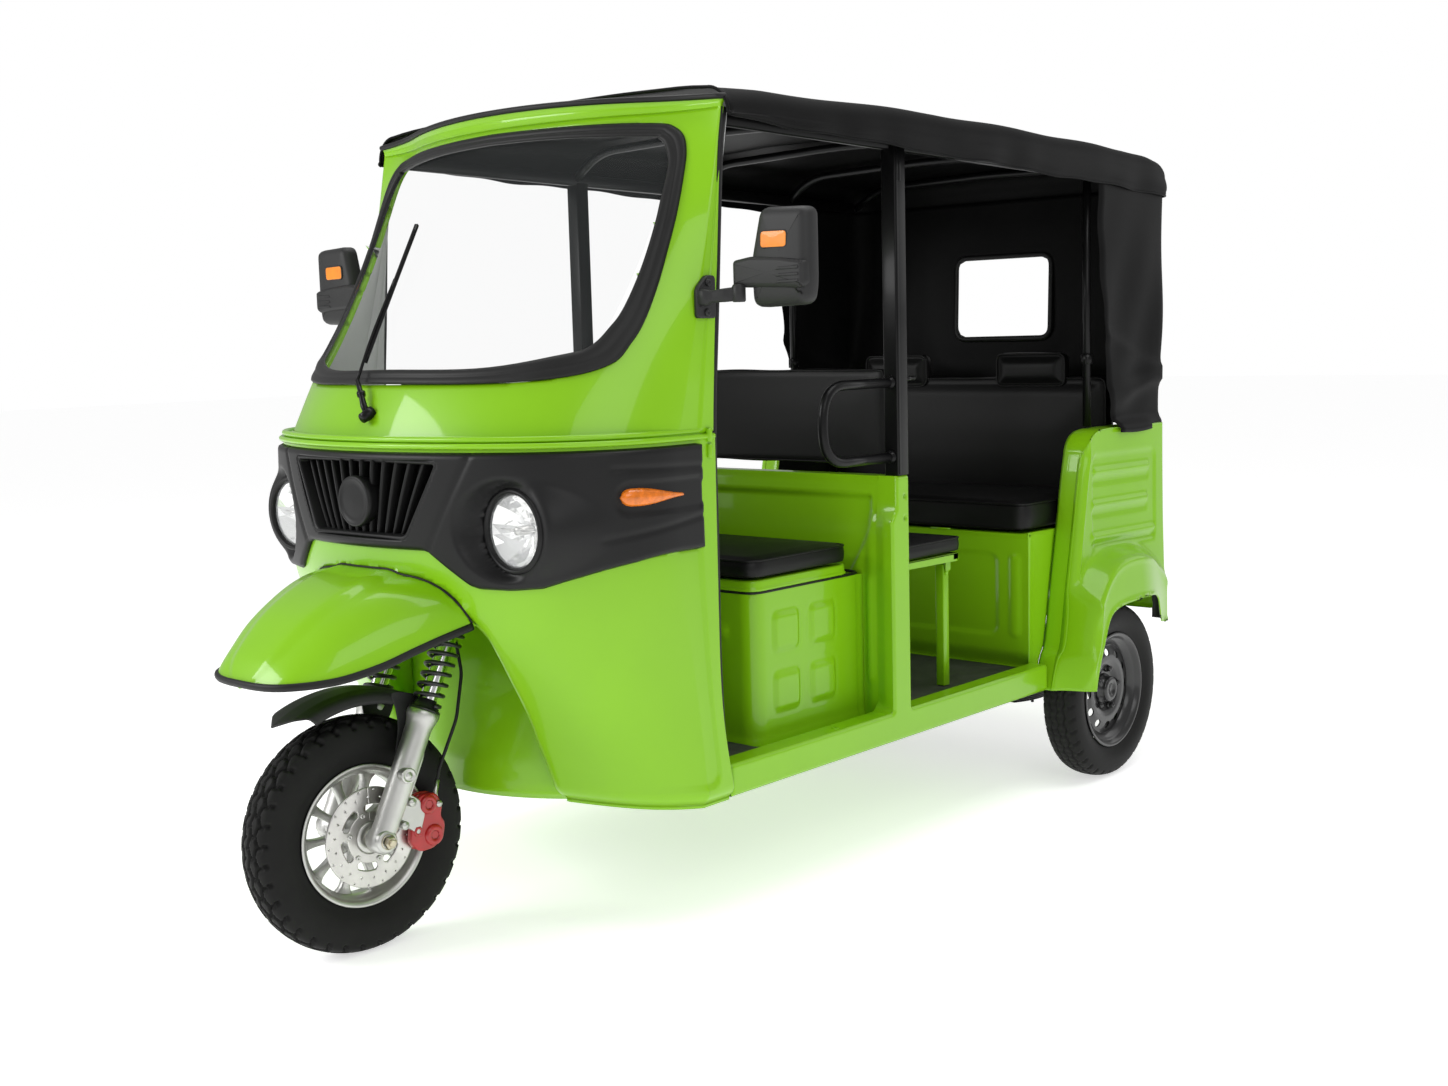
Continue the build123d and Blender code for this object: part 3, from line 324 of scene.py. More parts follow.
def smoothstep(x):
    """0 below 0, 1 above 1, and a soft S between."""
    x = np.clip(x, 0, 1)
    return x * x * (3 - 2 * x)


print("grid tools ready")

# %% A trimmed surface


def trimmed(shape, u, v, keep):
    """A grid of shape(u, v) cut along keep(points) = 0, where keep is the distance inside.
    Points nearer to the cut than 0.6 cells slide onto it along the slope of keep, faces with two or more points
    beyond it go, and a face with one such point becomes the triangle of its other three."""
    du, dv = u[1] - u[0], v[1] - v[0]
    grid_u, grid_v = np.meshgrid(u, v)
    for _ in range(3):
        points = shape(grid_u, grid_v)
        inside = keep(points)
        slope_u = (keep(shape(grid_u + du * 0.05, grid_v)) - inside) / 0.05
        slope_v = (keep(shape(grid_u, grid_v + dv * 0.05)) - inside) / 0.05
        steep = slope_u ** 2 + slope_v ** 2 + 1e-12
        near = (np.abs(inside) < 0.62 * np.sqrt(steep))
        grid_u = grid_u - near * inside * slope_u / steep * du
        grid_v = grid_v - near * inside * slope_v / steep * dv
    points = shape(grid_u, grid_v)
    beyond = (keep(points) < -0.0006).reshape(-1)
    quads = grid_faces(len(v), len(u))
    out = beyond[quads]
    count = out.sum(1)
    faces = [tuple(q) for q in quads[count == 0]]
    for quad, flags in zip(quads[count == 1], out[count == 1]):
        faces.append(tuple(quad[~flags]))
    used = np.unique(np.concatenate([np.array(f) for f in faces]))
    renumber = np.full(points.reshape(-1, 3).shape[0], -1)
    renumber[used] = np.arange(len(used))
    return points.reshape(-1, 3)[used], [tuple(renumber[list(f)]) for f in faces]


def inside_box(a, b, low_a, high_a, low_b, high_b, corner=0.0):
    """Distance inside a rectangle with round corners, positive inside."""
    qa = np.abs(a - (low_a + high_a) / 2) - (high_a - low_a) / 2 + corner
    qb = np.abs(b - (low_b + high_b) / 2) - (high_b - low_b) / 2 + corner
    return corner - np.hypot(np.maximum(qa, 0), np.maximum(qb, 0)) - np.minimum(np.maximum(qa, qb), 0)


def inside_outline(a, b, corners, corner=0.0):
    """Distance inside a closed convex outline, positive inside: the least distance to its edges' lines, softened
    near the corners by a smooth minimum."""
    corners = np.array(corners, float)
    ways = np.roll(corners, -1, 0) - corners
    area = np.sum(corners[:, 0] * np.roll(corners[:, 1], -1) - np.roll(corners[:, 0], -1) * corners[:, 1])
    normals = np.stack([-ways[:, 1], ways[:, 0]], 1) * np.sign(area) / np.linalg.norm(ways, axis=1)[:, None]
    depth = [(a - p[0]) * n[0] + (b - p[1]) * n[1] for p, n in zip(corners, normals)]
    if corner <= 0:
        return np.min(depth, axis=0)
    least = np.min(depth, axis=0)
    return least - corner * 0.45 * np.log(sum(np.exp(-(d - least) / (corner * 0.45)) for d in depth))


print("trimming ready")

# %% Round bars, turned shapes and stacked outlines


def smooth_path(points, count=64):
    """A curve through the points: each stretch is a cubic whose slope at a point is half the step between its
    neighbours (Catmull and Rom's rule)."""
    p = np.array(points, float)
    ends = np.concatenate([[2 * p[0] - p[1]], p, [2 * p[-1] - p[-2]]])
    t = np.linspace(0, len(p) - 1 - 1e-9, count)
    k = t.astype(int)
    s = (t - k)[:, None]
    a, b, c, d = ends[k], ends[k + 1], ends[k + 2], ends[k + 3]
    return 0.5 * (2 * b + (c - a) * s + (2 * a - 5 * b + 4 * c - d) * s ** 2 + (3 * b - a - 3 * c + d) * s ** 3)


def rounded_path(points, radius, steps=8):
    """Straight runs joined by quadratic bends that start one radius before each corner."""
    p = [np.array(q, float) for q in points]
    out = [p[0]]
    s = np.linspace(0, 1, steps)[:, None]
    for before, corner, after in zip(p, p[1:], p[2:]):
        one, two = before - corner, after - corner
        start = corner + one * min(radius / np.linalg.norm(one), 0.49)
        end = corner + two * min(radius / np.linalg.norm(two), 0.49)
        out += list((1 - s) ** 2 * start + 2 * s * (1 - s) * corner + s ** 2 * end)
    return np.array(out + [p[-1]])


def carried_rings(path, ring, closed=False):
    """A ring of (side, up) offsets carried along a path; its frame turns no more than the path does."""
    path = np.asarray(path, float)
    ahead = np.roll(path, -1, 0) - np.roll(path, 1, 0) if closed else np.gradient(path, axis=0)
    ahead /= np.linalg.norm(ahead, axis=1)[:, None]
    side = np.cross(ahead[0], [0, 0, 1.0] if abs(ahead[0][2]) < 0.9 else [0, 1.0, 0])
    sides = []
    for way in ahead:
        side = side - way * np.dot(side, way)
        side = side / np.linalg.norm(side)
        sides.append(side)
    sides = np.array(sides)
    ups = np.cross(ahead, sides)
    ring = np.asarray(ring, float)
    ring = np.broadcast_to(ring, (len(path),) + ring.shape[-2:])
    return path[:, None] + sides[:, None] * ring[..., :1] + ups[:, None] * ring[..., 1:]


def bar(path, radius, sides=14, closed=False):
    """A round bar along a path: a circle of each point's radius, capped by one many-sided face at each end."""
    turn = np.linspace(0, 2 * np.pi, sides, endpoint=False)
    circle = np.stack([np.cos(turn), np.sin(turn)], -1)
    ring = np.broadcast_to(np.asarray(radius, float).reshape(-1, 1, 1), (len(path), 1, 1)) * circle
    points = carried_rings(path, ring, closed)
    faces = [tuple(f) for f in grid_faces(len(path), sides, ring=True, loop=closed)]
    if not closed:
        last = (len(path) - 1) * sides
        faces += [tuple(range(sides))[::-1], tuple(last + k for k in range(sides))]
    return points.reshape(-1, 3), faces


def turned(profile, place, axis=(1, 0, 0), sides=64, closed=True):
    """A profile of (along, radius) turned about an axis through a place. Each profile point makes a circle."""
    axis = np.array(axis, float) / np.linalg.norm(axis)
    side = np.cross(axis, [0, 0, 1.0] if abs(axis[2]) < 0.9 else [0, 1.0, 0])
    side /= np.linalg.norm(side)
    up = np.cross(axis, side)
    profile = np.array(profile, float)
    turn = np.linspace(0, 2 * np.pi, sides, endpoint=False)
    spoke = side * np.cos(turn)[:, None] + up * np.sin(turn)[:, None]
    points = np.array(place) + profile[:, None, :1] * axis + profile[:, None, 1:] * spoke
    return points.reshape(-1, 3), [tuple(f) for f in grid_faces(len(profile), sides, ring=True, loop=closed)]


def round_outline(corners, radius, steps=6):
    """A closed outline whose corners are quadratic bends that start one radius before each corner."""
    p = np.array(corners, float)
    s = np.linspace(0, 1, steps)[:, None]
    out = []
    for before, corner, after in zip(np.roll(p, 1, 0), p, np.roll(p, -1, 0)):
        one, two = before - corner, after - corner
        start = corner + one * min(radius / np.linalg.norm(one), 0.49)
        end = corner + two * min(radius / np.linalg.norm(two), 0.49)
        out.append((1 - s) ** 2 * start + 2 * s * (1 - s) * corner + s ** 2 * end)
    return np.concatenate(out)


def stacked(outline, levels, plane="xy", crown=0.0):
    """An outline stacked at several levels of (height, inset), as a closed form. An inset moves each point along
    its own inward normal; the ends are closed by shrinking rings, raised in the middle by crown."""
    outline = np.array(outline, float)
    tangent = np.roll(outline, -1, 0) - np.roll(outline, 1, 0)
    normal = np.stack([tangent[:, 1], -tangent[:, 0]], 1)
    area = np.sum(outline[:, 0] * np.roll(outline[:, 1], -1) - np.roll(outline[:, 0], -1) * outline[:, 1])
    if area < 0:
        outline, normal = outline[::-1], -normal[::-1]
    normal /= np.linalg.norm(normal, axis=1)[:, None] + 1e-12
    middle = (outline.max(0) + outline.min(0)) / 2
    rings = []
    first, last = levels[0], levels[-1]
    for share in (0.02, 0.4, 0.75, 0.95):
        rings.append((outline - normal * first[1] - middle) * share + middle)
    rings += [outline - normal * inset for _, inset in levels]
    for share in (0.95, 0.75, 0.4, 0.02):
        rings.append((outline - normal * last[1] - middle) * share + middle)
    heights = [first[0]] * 4 + [h for h, _ in levels] + [last[0] + crown * (1 - s * s) for s in (0.95, 0.75, 0.4, 0.02)]
    rings = np.array(rings)
    tall = np.broadcast_to(np.array(heights)[:, None], rings.shape[:2])
    a, b = rings[..., 0], rings[..., 1]
    points = {"xy": (a, b, tall), "yz": (tall, a, b), "xz": (a, -tall, b)}[plane]
    points = np.stack(points, -1)
    rows, columns = rings.shape[:2]
    faces = [tuple(f) for f in grid_faces(rows, columns, ring=True)]
    faces += [tuple(range(columns))[::-1], tuple((rows - 1) * columns + k for k in range(columns))]
    return points.reshape(-1, 3), faces


def soft_edges(low, high, edge, steps=4):
    """Levels from low to high with a quarter round of this radius at both ends."""
    a = np.linspace(0, np.pi / 2, steps)
    lower = [(low + edge * (1 - np.sin(t)), edge * (1 - np.cos(t))) for t in a[::-1]]
    upper = [(high - edge * (1 - np.sin(t)), edge * (1 - np.cos(t))) for t in a]
    return lower + upper


print("bars, turned shapes and stacks ready")

# %% [markdown]
# ## The front body
# On the real vehicle one big pressing runs round the nose and back to the doors. Seen from above it is an arc
# across the nose, a tighter arc at each corner and a straight side. The surface is that plan outline at every
# height, with the outline's numbers joined by smooth curves.

# %% Plan outline at a height
LOW_ROWS = np.array([[0.310, 0.330, 0.392, 0.530, 0.6185], [0.520, 0.245, 0.318, 0.510, 0.582],
                     [0.720, 0.108, 0.196, 0.480, 0.576], [0.900, 0.055, 0.145, 0.457, 0.577],
                     [1.142, 0.052, 0.142, 0.452, 0.579]])
HIGH_ROWS = np.array([[1.142, 0.072, 0.162, 0.466, 0.579], [1.290, 0.140, 0.240, 0.505, 0.584],
                      [1.570, 0.315, 0.415, 0.575, 0.608], [1.868, 0.503, 0.590, 0.634, 0.641]])


def smooth_rows(rows, height):
    """Nose, cheek, side and door edge at a height: a natural cubic spline through the rows."""
    z, values = rows[:, 0], rows[:, 1:]
    n = len(z)
    step = np.diff(z)
    system, right = np.eye(n), np.zeros((n, values.shape[1]))
    for k in range(1, n - 1):
        system[k, k - 1:k + 2] = step[k - 1], 2 * (step[k - 1] + step[k]), step[k]
        right[k] = 6 * ((values[k + 1] - values[k]) / step[k] - (values[k] - values[k - 1]) / step[k - 1])
    bend = np.linalg.solve(system, right)
    height = np.asarray(height, float)
    k = np.clip(np.searchsorted(z, height) - 1, 0, n - 2)
    h, a, b = step[k][..., None], (z[k + 1] - height)[..., None], (height - z[k])[..., None]
    return (bend[k] * a ** 3 + bend[k + 1] * b ** 3) / (6 * h) + (values[k] / h - bend[k] * h / 6) * a \
        + (values[k + 1] / h - bend[k + 1] * h / 6) * b


def body_plan(u, height, rows, out=0.0, half=0.6, cheek_x=0.404, back=0.0):
    """Points of the body at u and a height. u from 0 to 1 runs over the nose arc to the cheek, from 1 to 2 round
    the corner arc, and from 2 to 3 along the straight side; a negative u is the other side.
    The corner arc leaves the nose arc in its own direction and ends on the side. out moves the skin outwards."""
    side_sign, u = np.where(u < 0, -1.0, 1.0), np.abs(u)
    nose, cheek, side, door = np.moveaxis(smooth_rows(rows, height), -1, 0)
    rise = cheek - nose
    radius = (cheek_x ** 2 + rise ** 2) / (2 * rise)
    angle = np.arcsin(cheek_x / radius)
    t = np.clip(u, 0, 1) * angle
    x, y = radius * np.sin(t), nose + radius * (1 - np.cos(t))
    normal_x, normal_y = np.sin(t), -np.cos(t)
    dx, dy = half - cheek_x, side - cheek
    chord = np.hypot(dx, dy)
    turn = 2 * (np.arctan2(dy, dx) - angle)
    arc = chord / (2 * np.sin(turn / 2))
    w = angle + np.clip(u - 1, 0, 1) * turn
    corner_x = cheek_x + arc * (np.sin(w) - np.sin(angle))
    corner_y = cheek + arc * (np.cos(angle) - np.cos(w))
    on_corner, on_side = u > 1, u > 2
    x, y = np.where(on_corner, corner_x, x), np.where(on_corner, corner_y, y)
    normal_x, normal_y = np.where(on_corner, np.sin(w), normal_x), np.where(on_corner, -np.cos(w), normal_y)
    run = np.clip(u - 2, 0, 1.5)
    settle = smoothstep(run * 3)
    x, y = np.where(on_side, half, x), np.where(on_side, side + run * (door + back - side), y)
    normal_x = np.where(on_side, normal_x + (1 - normal_x) * settle, normal_x)
    normal_y = np.where(on_side, normal_y * (1 - settle), normal_y)
    x, y = x + normal_x * out, y + normal_y * out
    return np.stack([x * side_sign, y, height + 0 * x], -1)


print("nose at 1.0 m:", body_plan(np.array(0.0), np.array(1.0), LOW_ROWS).round(3))

# %% Cuts of the front body
SCREEN = [(-0.532, 1.277), (0.532, 1.277), (0.548, 1.48), (0.54, 1.85), (-0.54, 1.85), (-0.548, 1.48)]
BAND_TOP = 1.134


def band_low_edge(x):
    """Height of the band's lower edge: flat in the middle, a slope down to the lobe under each lamp, then a slow
    rise to the door."""
    return np.interp(np.abs(x), [0, 0.205, 0.222, 0.31, 0.33, 0.40, 0.465, 0.535, 0.593, 0.612],
                     [0.92, 0.92, 0.914, 0.845, 0.839, 0.837, 0.842, 0.867, 0.889, 0.9])


def well_edge(height):
    """Half width of the opening round the front wheel at a height."""
    return np.interp(height, [0.31, 0.46, 0.55, 0.66, 0.76], [0.262, 0.252, 0.262, 0.279, 0.284])


def root_height(x):
    """Height of the wheel opening's top, a little below the beak's root."""
    return np.interp(np.abs(x), [0, 0.11, 0.16, 0.207, 0.24, 0.262, 0.278, 0.285],
                     [0.868, 0.866, 0.861, 0.851, 0.836, 0.815, 0.78, 0.74])


def lamp_distance(points):
    """Distance outside the round bore of the nearer headlamp, seen from the front."""
    return np.hypot(np.abs(points[..., 0]) - 0.404, points[..., 2] - 0.965) - 0.093


def outside_screen(points):
    """Distance outside the windscreen's opening; the sides and the back of the body are far outside."""
    return -inside_outline(points[..., 0], points[..., 2], SCREEN, 0.1) + 0.2 * (points[..., 1] > 0.66)


# %% Upper shell


def upper_skin(u, v):
    """The body from the ledge to the roof; the door flange is a shallow step over the last part of the side."""
    points = body_plan(u, v, HIGH_ROWS)
    step = smoothstep((np.abs(u) - 2.5) / 0.12) * 0.004
    return points + np.stack([np.sign(u) * step, 0 * u, 0 * u], -1)


upper = trimmed(upper_skin, np.linspace(-3, 3, 241), np.linspace(1.158, 1.868, 80), outside_screen)
cowl_upper = new_piece("cowl_upper", *upper, "green_sheet")
cowl_upper.data.materials.append(finishes["pillar_lining"])
thicken(cowl_upper, 0.02).modifiers["wall"].material_offset = 1
print("upper shell", len(cowl_upper.data.polygons), "faces")

# %% Lower shell


def lower_skin(u, v):
    """The body below the band. Near its bottom edge the sheet rolls under, and beside the wheel opening it turns
    back into the well: both move points towards the inside by a squared ramp. A raised rim, 6 mm high, follows
    the door edge, turns a round corner and fades out along the bottom: its distance from the edge is that of a
    rectangle with an 80 mm corner."""
    points = body_plan(u, v, LOW_ROWS)
    x, y, z = np.moveaxis(points, -1, 0)
    roll = np.clip((0.345 - z) / 0.04, 0, 1) ** 2
    into = np.clip(1 - (np.abs(x) - well_edge(z)) / 0.035, 0, 1.6) ** 2 * (y < 0.5) * smoothstep((0.78 - z) / 0.08)
    to_door, to_bottom = (3 - np.abs(u)) * 0.09, z - 0.311
    corner = 0.08 - np.hypot(np.maximum(0.08 - to_door, 0), np.maximum(0.08 - to_bottom, 0))
    rim = np.where((to_door < 0.08) & (to_bottom < 0.08), corner, np.minimum(to_door, to_bottom))
    side = smoothstep(np.abs(u) - 1.0)
    x = x + np.sign(u) * (0.006 * smoothstep((0.046 - rim) / 0.012) - 0.03 * roll) * side
    y = y + 0.03 * into + 0.03 * roll * (1 - side)
    return np.stack([x, y, z], -1)


def lower_kept(points):
    """Inside the lower shell: outside the wheel opening and above the bottom edge that rises to the middle."""
    x, y, z = np.moveaxis(points, -1, 0)
    well = np.where(y < 0.5, np.maximum(np.abs(x) - well_edge(z), z - root_height(x)), 1.0)
    behind_band = np.maximum(np.maximum(band_low_edge(x) + 0.016 - z, y - 0.522), z - 1.118)
    return np.minimum(np.minimum(well, z - 0.311), behind_band)


lower = trimmed(lower_skin, np.linspace(-3, 3, 231), np.linspace(0.305, 1.15, 80), lower_kept)
cowl_lower = thicken(new_piece("cowl_lower", *lower, "green_sheet"), 0.008)
print("lower shell", len(cowl_lower.data.polygons), "faces")

# %% Ledge beads
bead_parts = []
turn_u = np.linspace(-2.98, 2.98, 181)
for height, rows, out, radius in ((1.147, LOW_ROWS, 0.004, 0.0065), (1.1605, LOW_ROWS, -0.004, 0.007)):
    line = body_plan(turn_u, np.full_like(turn_u, 1.142), rows, out=out)
    line[:, 2] = height
    bead_parts.append(bar(line, radius, 10))
u_grid, v_grid = np.meshgrid(turn_u, np.linspace(0, 1, 4))
outer_line = body_plan(u_grid, 1.142 + 0 * u_grid, LOW_ROWS)
inner_line = body_plan(u_grid, 1.16 + 0 * u_grid, HIGH_ROWS)
shelf = outer_line + (inner_line - outer_line) * v_grid[..., None]
shelf[..., 2] = 1.152 + 0.012 * v_grid
bead_parts.append((shelf.reshape(-1, 3), [tuple(f) for f in grid_faces(4, len(turn_u))]))
ledge = new_piece("cowl_ledge", *join_parts(bead_parts), "green_sheet")

# %% Wheel well


heights = np.linspace(0.305, 0.74, 24)
side_line = np.stack([well_edge(heights), heights], -1)
top_x = 0.2849 * np.sin(np.linspace(np.pi / 2, -np.pi / 2, 41))
top_line = np.stack([top_x, root_height(top_x)], -1)
mouth = np.concatenate([side_line, top_line[1:-1], (side_line * (-1, 1))[::-1]])
mouth_y = body_plan(np.abs(mouth[:, 0]) / 0.404, mouth[:, 1], LOW_ROWS)[:, 1]
low_part = np.clip((0.345 - mouth[:, 1]) / 0.04, 0, 1)
mouth_y = mouth_y + 0.029 * smoothstep((0.78 - mouth[:, 1]) / 0.08) + 0.03 * low_part ** 2
end_y = np.maximum(np.interp(mouth[:, 1], [0.62, 0.72], [0.402, 0.448]), mouth_y + 0.003)
depth = np.linspace(0, 1, 8)[:, None]
tunnel = np.stack([mouth[:, 0] + (np.sign(mouth[:, 0]) * np.minimum(np.abs(mouth[:, 0]) * 1.12, 0.283) - mouth[:, 0])
                   * smoothstep(depth * 1.5), mouth_y + (end_y - mouth_y) * depth,
                   mouth[:, 1] + 0.015 * smoothstep(depth * 4) * smoothstep((mouth[:, 1] - 0.8) / 0.05)], -1)
tunnel = (tunnel.reshape(-1, 3), [tuple(f) for f in grid_faces(8, len(mouth))])
x_grid, z_grid = np.meshgrid(np.linspace(-0.285, 0.285, 41), np.linspace(0, 1, 30))
high = 0.305 + 0.58 * z_grid
back_y = np.interp(high, [0.30, 0.38, 0.60, 0.72, 0.88], [0.325, 0.325, 0.388, 0.447, 0.447])
side_y = np.maximum(back_y, np.interp(high, heights, end_y[:len(heights)]))
back_y = back_y - 0.02 + (side_y - back_y + 0.02) * (x_grid / 0.285) ** 2
back_wall = (np.stack([x_grid, back_y, high], -1).reshape(-1, 3),
             [tuple(f) for f in grid_faces(30, 41)])
well = thicken(new_piece("cowl_well", *join_parts([tunnel, back_wall]), "green_sheet",
                         replaces=("front_cowl",)), 0.006, 1.0)
print("wheel well", len(well.data.polygons), "faces")

# %% [markdown]
# ## The black band
# The band is one moulding from door to door. Round each lamp it sinks to a cone, with a soft lip that fades out
# towards the door. Two diagonal grooves frame the grille. Both are small moves of the skin along its own normal,
# so one surface carries them all.

# %% Band skin


def shroud(points):
    """How deep the skin lies in a lamp's cone: 0 at the lip, 1 at the bore. The lip is an ellipse round the lamp,
    drawn out towards the door."""
    across = np.abs(points[..., 0]) - 0.404
    rise = points[..., 2] - 0.968
    width = np.where(across > 0, 0.165, 0.119)
    reach = np.hypot(across / width, rise / 0.116)
    bore = np.hypot(across, points[..., 2] - 0.965) / 0.093
    share = np.clip((1 - reach) / np.maximum(1 - reach + (bore - 1) * 0.9, 1e-3), 0, 1)
    return smoothstep(share) * (reach < 1)


def groove(points, start, end, width):
    """A round-bottomed groove along a line between two places in X and Z: 1 on the line, 0 a width away."""
    a, b = np.array(start), np.array(end)
    spot = np.stack([np.abs(points[..., 0]), points[..., 2]], -1) - a
    t = np.clip((spot @ (b - a)) / ((b - a) @ (b - a)), 0, 1)
    away = np.linalg.norm(spot - t[..., None] * (b - a), axis=-1)
    return np.exp(-(away / width) ** 2)


def side_groove(points, start, end, width):
    """The same along a line in Y and Z, on the sides."""
    a, b = np.array(start), np.array(end)
    spot = points[..., 1:] - a
    t = np.clip((spot @ (b - a)) / ((b - a) @ (b - a)), 0, 1)
    away = np.linalg.norm(spot - t[..., None] * (b - a), axis=-1)
    return np.exp(-(away / width) ** 2) * (np.abs(points[..., 0]) > 0.5)


BAND_END = 2.655


def band_skin(u, v):
    """v runs from the lower edge, 0, to the top, 1. The skin stands 13 mm proud of the sheet, and its edges turn
    back to it. Lips, cones and grooves move it along its normal."""
    base = body_plan(u, 1.0 + 0 * u, LOW_ROWS, out=0.012)
    low = band_low_edge(base[..., 0])
    height = low + (BAND_TOP - low) * v
    flat = body_plan(u, height, LOW_ROWS)
    edge = np.minimum(np.minimum(v, 1 - v) * (BAND_TOP - low), np.clip((BAND_END - np.abs(u)) * 0.12, 0, 0.012))
    proud = 0.001 + 0.0125 * np.sqrt(np.clip(1 - (1 - edge / 0.012) ** 2, 0, 1))
    cone = shroud(flat)
    proud = proud - 0.004 * groove(flat, (0.331, 1.13), (0.222, 0.925), 0.005)
    proud = proud - 0.0025 * side_groove(flat, (0.296, 1.092), (0.55, 1.084), 0.006)
    proud = proud - 0.0025 * side_groove(flat, (0.278, 0.942), (0.55, 0.978), 0.006)
    pocket = inside_box(flat[..., 1], flat[..., 2], 0.296, 0.54, 0.99, 1.065, 0.03) * (np.abs(u) > 1.3)
    proud = proud - 0.004 * smoothstep(pocket / 0.006) * (np.abs(u) > 1.3)
    points = body_plan(u, height, LOW_ROWS, out=proud)
    return points + np.stack([0 * u, (0.153 - points[..., 1]) * cone, 0 * u], -1)


def band_kept(points):
    """Outside the grille's opening and the lamps' bores."""
    grille_hole = inside_outline(points[..., 0], points[..., 2],
                                 [(-0.168, 0.942), (0.168, 0.942), (0.262, 1.118), (-0.262, 1.118)], 0.012)
    return np.minimum(-grille_hole, lamp_distance(points) + 0.004)


band = trimmed(band_skin, np.linspace(-BAND_END, BAND_END, 341), np.linspace(0, 1, 52), band_kept)
band_piece = thicken(new_piece("black_band", *band, "black_trim", replaces=("front_fascia",)), 0.004)
print("band", len(band_piece.data.polygons), "faces")

# %% [markdown]
# ## Grille
# Upright fins with round noses stand in a deep black recess, leaning a little outwards, behind a plain round boss.

# %% Grille
fins = []
rim = 0.262 - 0.02
for index in range(13):
    share = (index - 6) / 6
    t = np.linspace(0, 1, 15)
    top_x, low_x = share * 0.236, share * 0.152
    z = 0.951 + (1.112 - 0.951) * t
    x = low_x + (top_x - low_x) * t
    front = body_plan(np.abs(x) / 0.404 * 1.0, z, LOW_ROWS)[..., 1]
    line = np.stack([x, front + 0.012, z], -1)
    profile = np.array([(-0.0045, 0.03), (-0.0045, 0.004), (-0.002, 0.0), (0.002, 0.0), (0.0045, 0.004),
                        (0.0045, 0.03)])
    ring = line[:, None] + np.stack([profile[:, 0], profile[:, 1], 0 * profile[:, 0]], -1)
    fins.append((ring.reshape(-1, 3), [tuple(f) for f in grid_faces(15, 6, ring=True)]))
outline = round_outline([(-0.168, 0.942), (0.168, 0.942), (0.262, 1.118), (-0.262, 1.118)], 0.014)


def frame_ring(inset, back):
    """The grille's outline at an inset, set back from the sheet."""
    middle = np.array([0, 1.03])
    ring = (outline - middle) * (1 - inset / np.array([0.2, 0.088])) + middle
    y = body_plan(np.abs(ring[:, 0]) / 0.404, ring[:, 1], LOW_ROWS)[..., 1] + back
    return np.stack([ring[:, 0], y, ring[:, 1]], -1)


rings = np.array([frame_ring(-0.004, -0.009), frame_ring(0.0, -0.014), frame_ring(0.006, -0.014),
                  frame_ring(0.010, -0.008), frame_ring(0.011, 0.05)])
fins.append((rings.reshape(-1, 3), [tuple(f) for f in grid_faces(5, len(outline), ring=True)]))
new_piece("grille_fins", *join_parts(fins), "black_trim", replaces=("grille",))
backing = frame_ring(0.0, 0.045)
new_piece("grille_backing", np.concatenate([backing, [[0, 0.11, 1.03]]]),
          [(k, (k + 1) % len(backing), len(backing)) for k in range(len(backing))], "black_rubber",
          slot="black_trim")
boss = turned([(0.03, 0.05), (0.0, 0.058), (-0.010, 0.0575), (-0.0125, 0.0545), (-0.0125, 0.049), (-0.0105, 0.0465),
               (-0.0115, 0.035), (-0.0125, 0.018), (-0.013, 0.0005)], (0, 0.052, 1.022), (0, 1, 0), 64, False)
new_piece("grille_boss", *boss, "black_trim", slot="black_trim")
print("grille with", len(fins) - 1, "fins")

# %% [markdown]
# ## Places on the body
# Seals, signals and seams follow the body's skin. A bisection finds the u of a wanted X (seen from the front) or of a
# wanted Y (seen from the side), for all points at once.

# %% Find a place on the skin


def find_u(wanted, height, rows, axis, low, high):
    """Bisection: halves the stretch of u that holds the wanted coordinate, 30 times."""
    low, high = np.full(np.shape(wanted), float(low)), np.full(np.shape(wanted), float(high))
    for _ in range(30):
        middle = (low + high) / 2
        short = body_plan(middle, height, rows)[..., axis] < wanted
        low, high = np.where(short, middle, low), np.where(short, high, middle)
    return (low + high) / 2


def on_front(x, z, rows, out=0.0):
    """The skin's point at X and Z, moved outwards along the skin's normal."""
    x, z = np.broadcast_arrays(np.asarray(x, float), np.asarray(z, float))
    u = find_u(np.abs(x), z, rows, 0, 0, 2)
    return body_plan(np.where(x < 0, -u, u), z, rows, out=out)


def on_side(y, z, rows, out=0.0, side=1):
    """The skin's point at Y and Z on one side."""
    y, z = np.broadcast_arrays(np.asarray(y, float), np.asarray(z, float))
    return body_plan(side * find_u(y, z, rows, 1, 1, 3), z, rows, out=out)


print("skin at the cheek", on_front(0.5, 1.0, LOW_ROWS).round(3))

# %% Windscreen seal and pane
OUTER = [(0.0, 1.279), (0.285, 1.277), (0.448, 1.286), (0.519, 1.311), (0.537, 1.357), (0.544, 1.404), (0.546, 1.48),
         (0.545, 1.555), (0.544, 1.642), (0.539, 1.73), (0.533, 1.775), (0.518, 1.81), (0.49, 1.832), (0.451, 1.843),
         (0.313, 1.851), (0.0, 1.856)]
INNER = [(0.0, 1.311), (0.271, 1.311), (0.43, 1.335), (0.478, 1.353), (0.498, 1.395), (0.506, 1.427), (0.51, 1.48),
         (0.511, 1.545), (0.509, 1.62), (0.506, 1.666), (0.501, 1.743), (0.481, 1.789), (0.462, 1.806), (0.439, 1.813),
         (0.223, 1.824), (0.0, 1.828)]


def seal_loop(share):
    """A loop between the outer outline, share 0, and the inner one, share 1, as X and Z."""
    right = smooth_path(np.array(OUTER) * (1 - share) + np.array(INNER) * share, 96)
    return np.concatenate([right, (right * (-1, 1))[::-1][1:-1]])


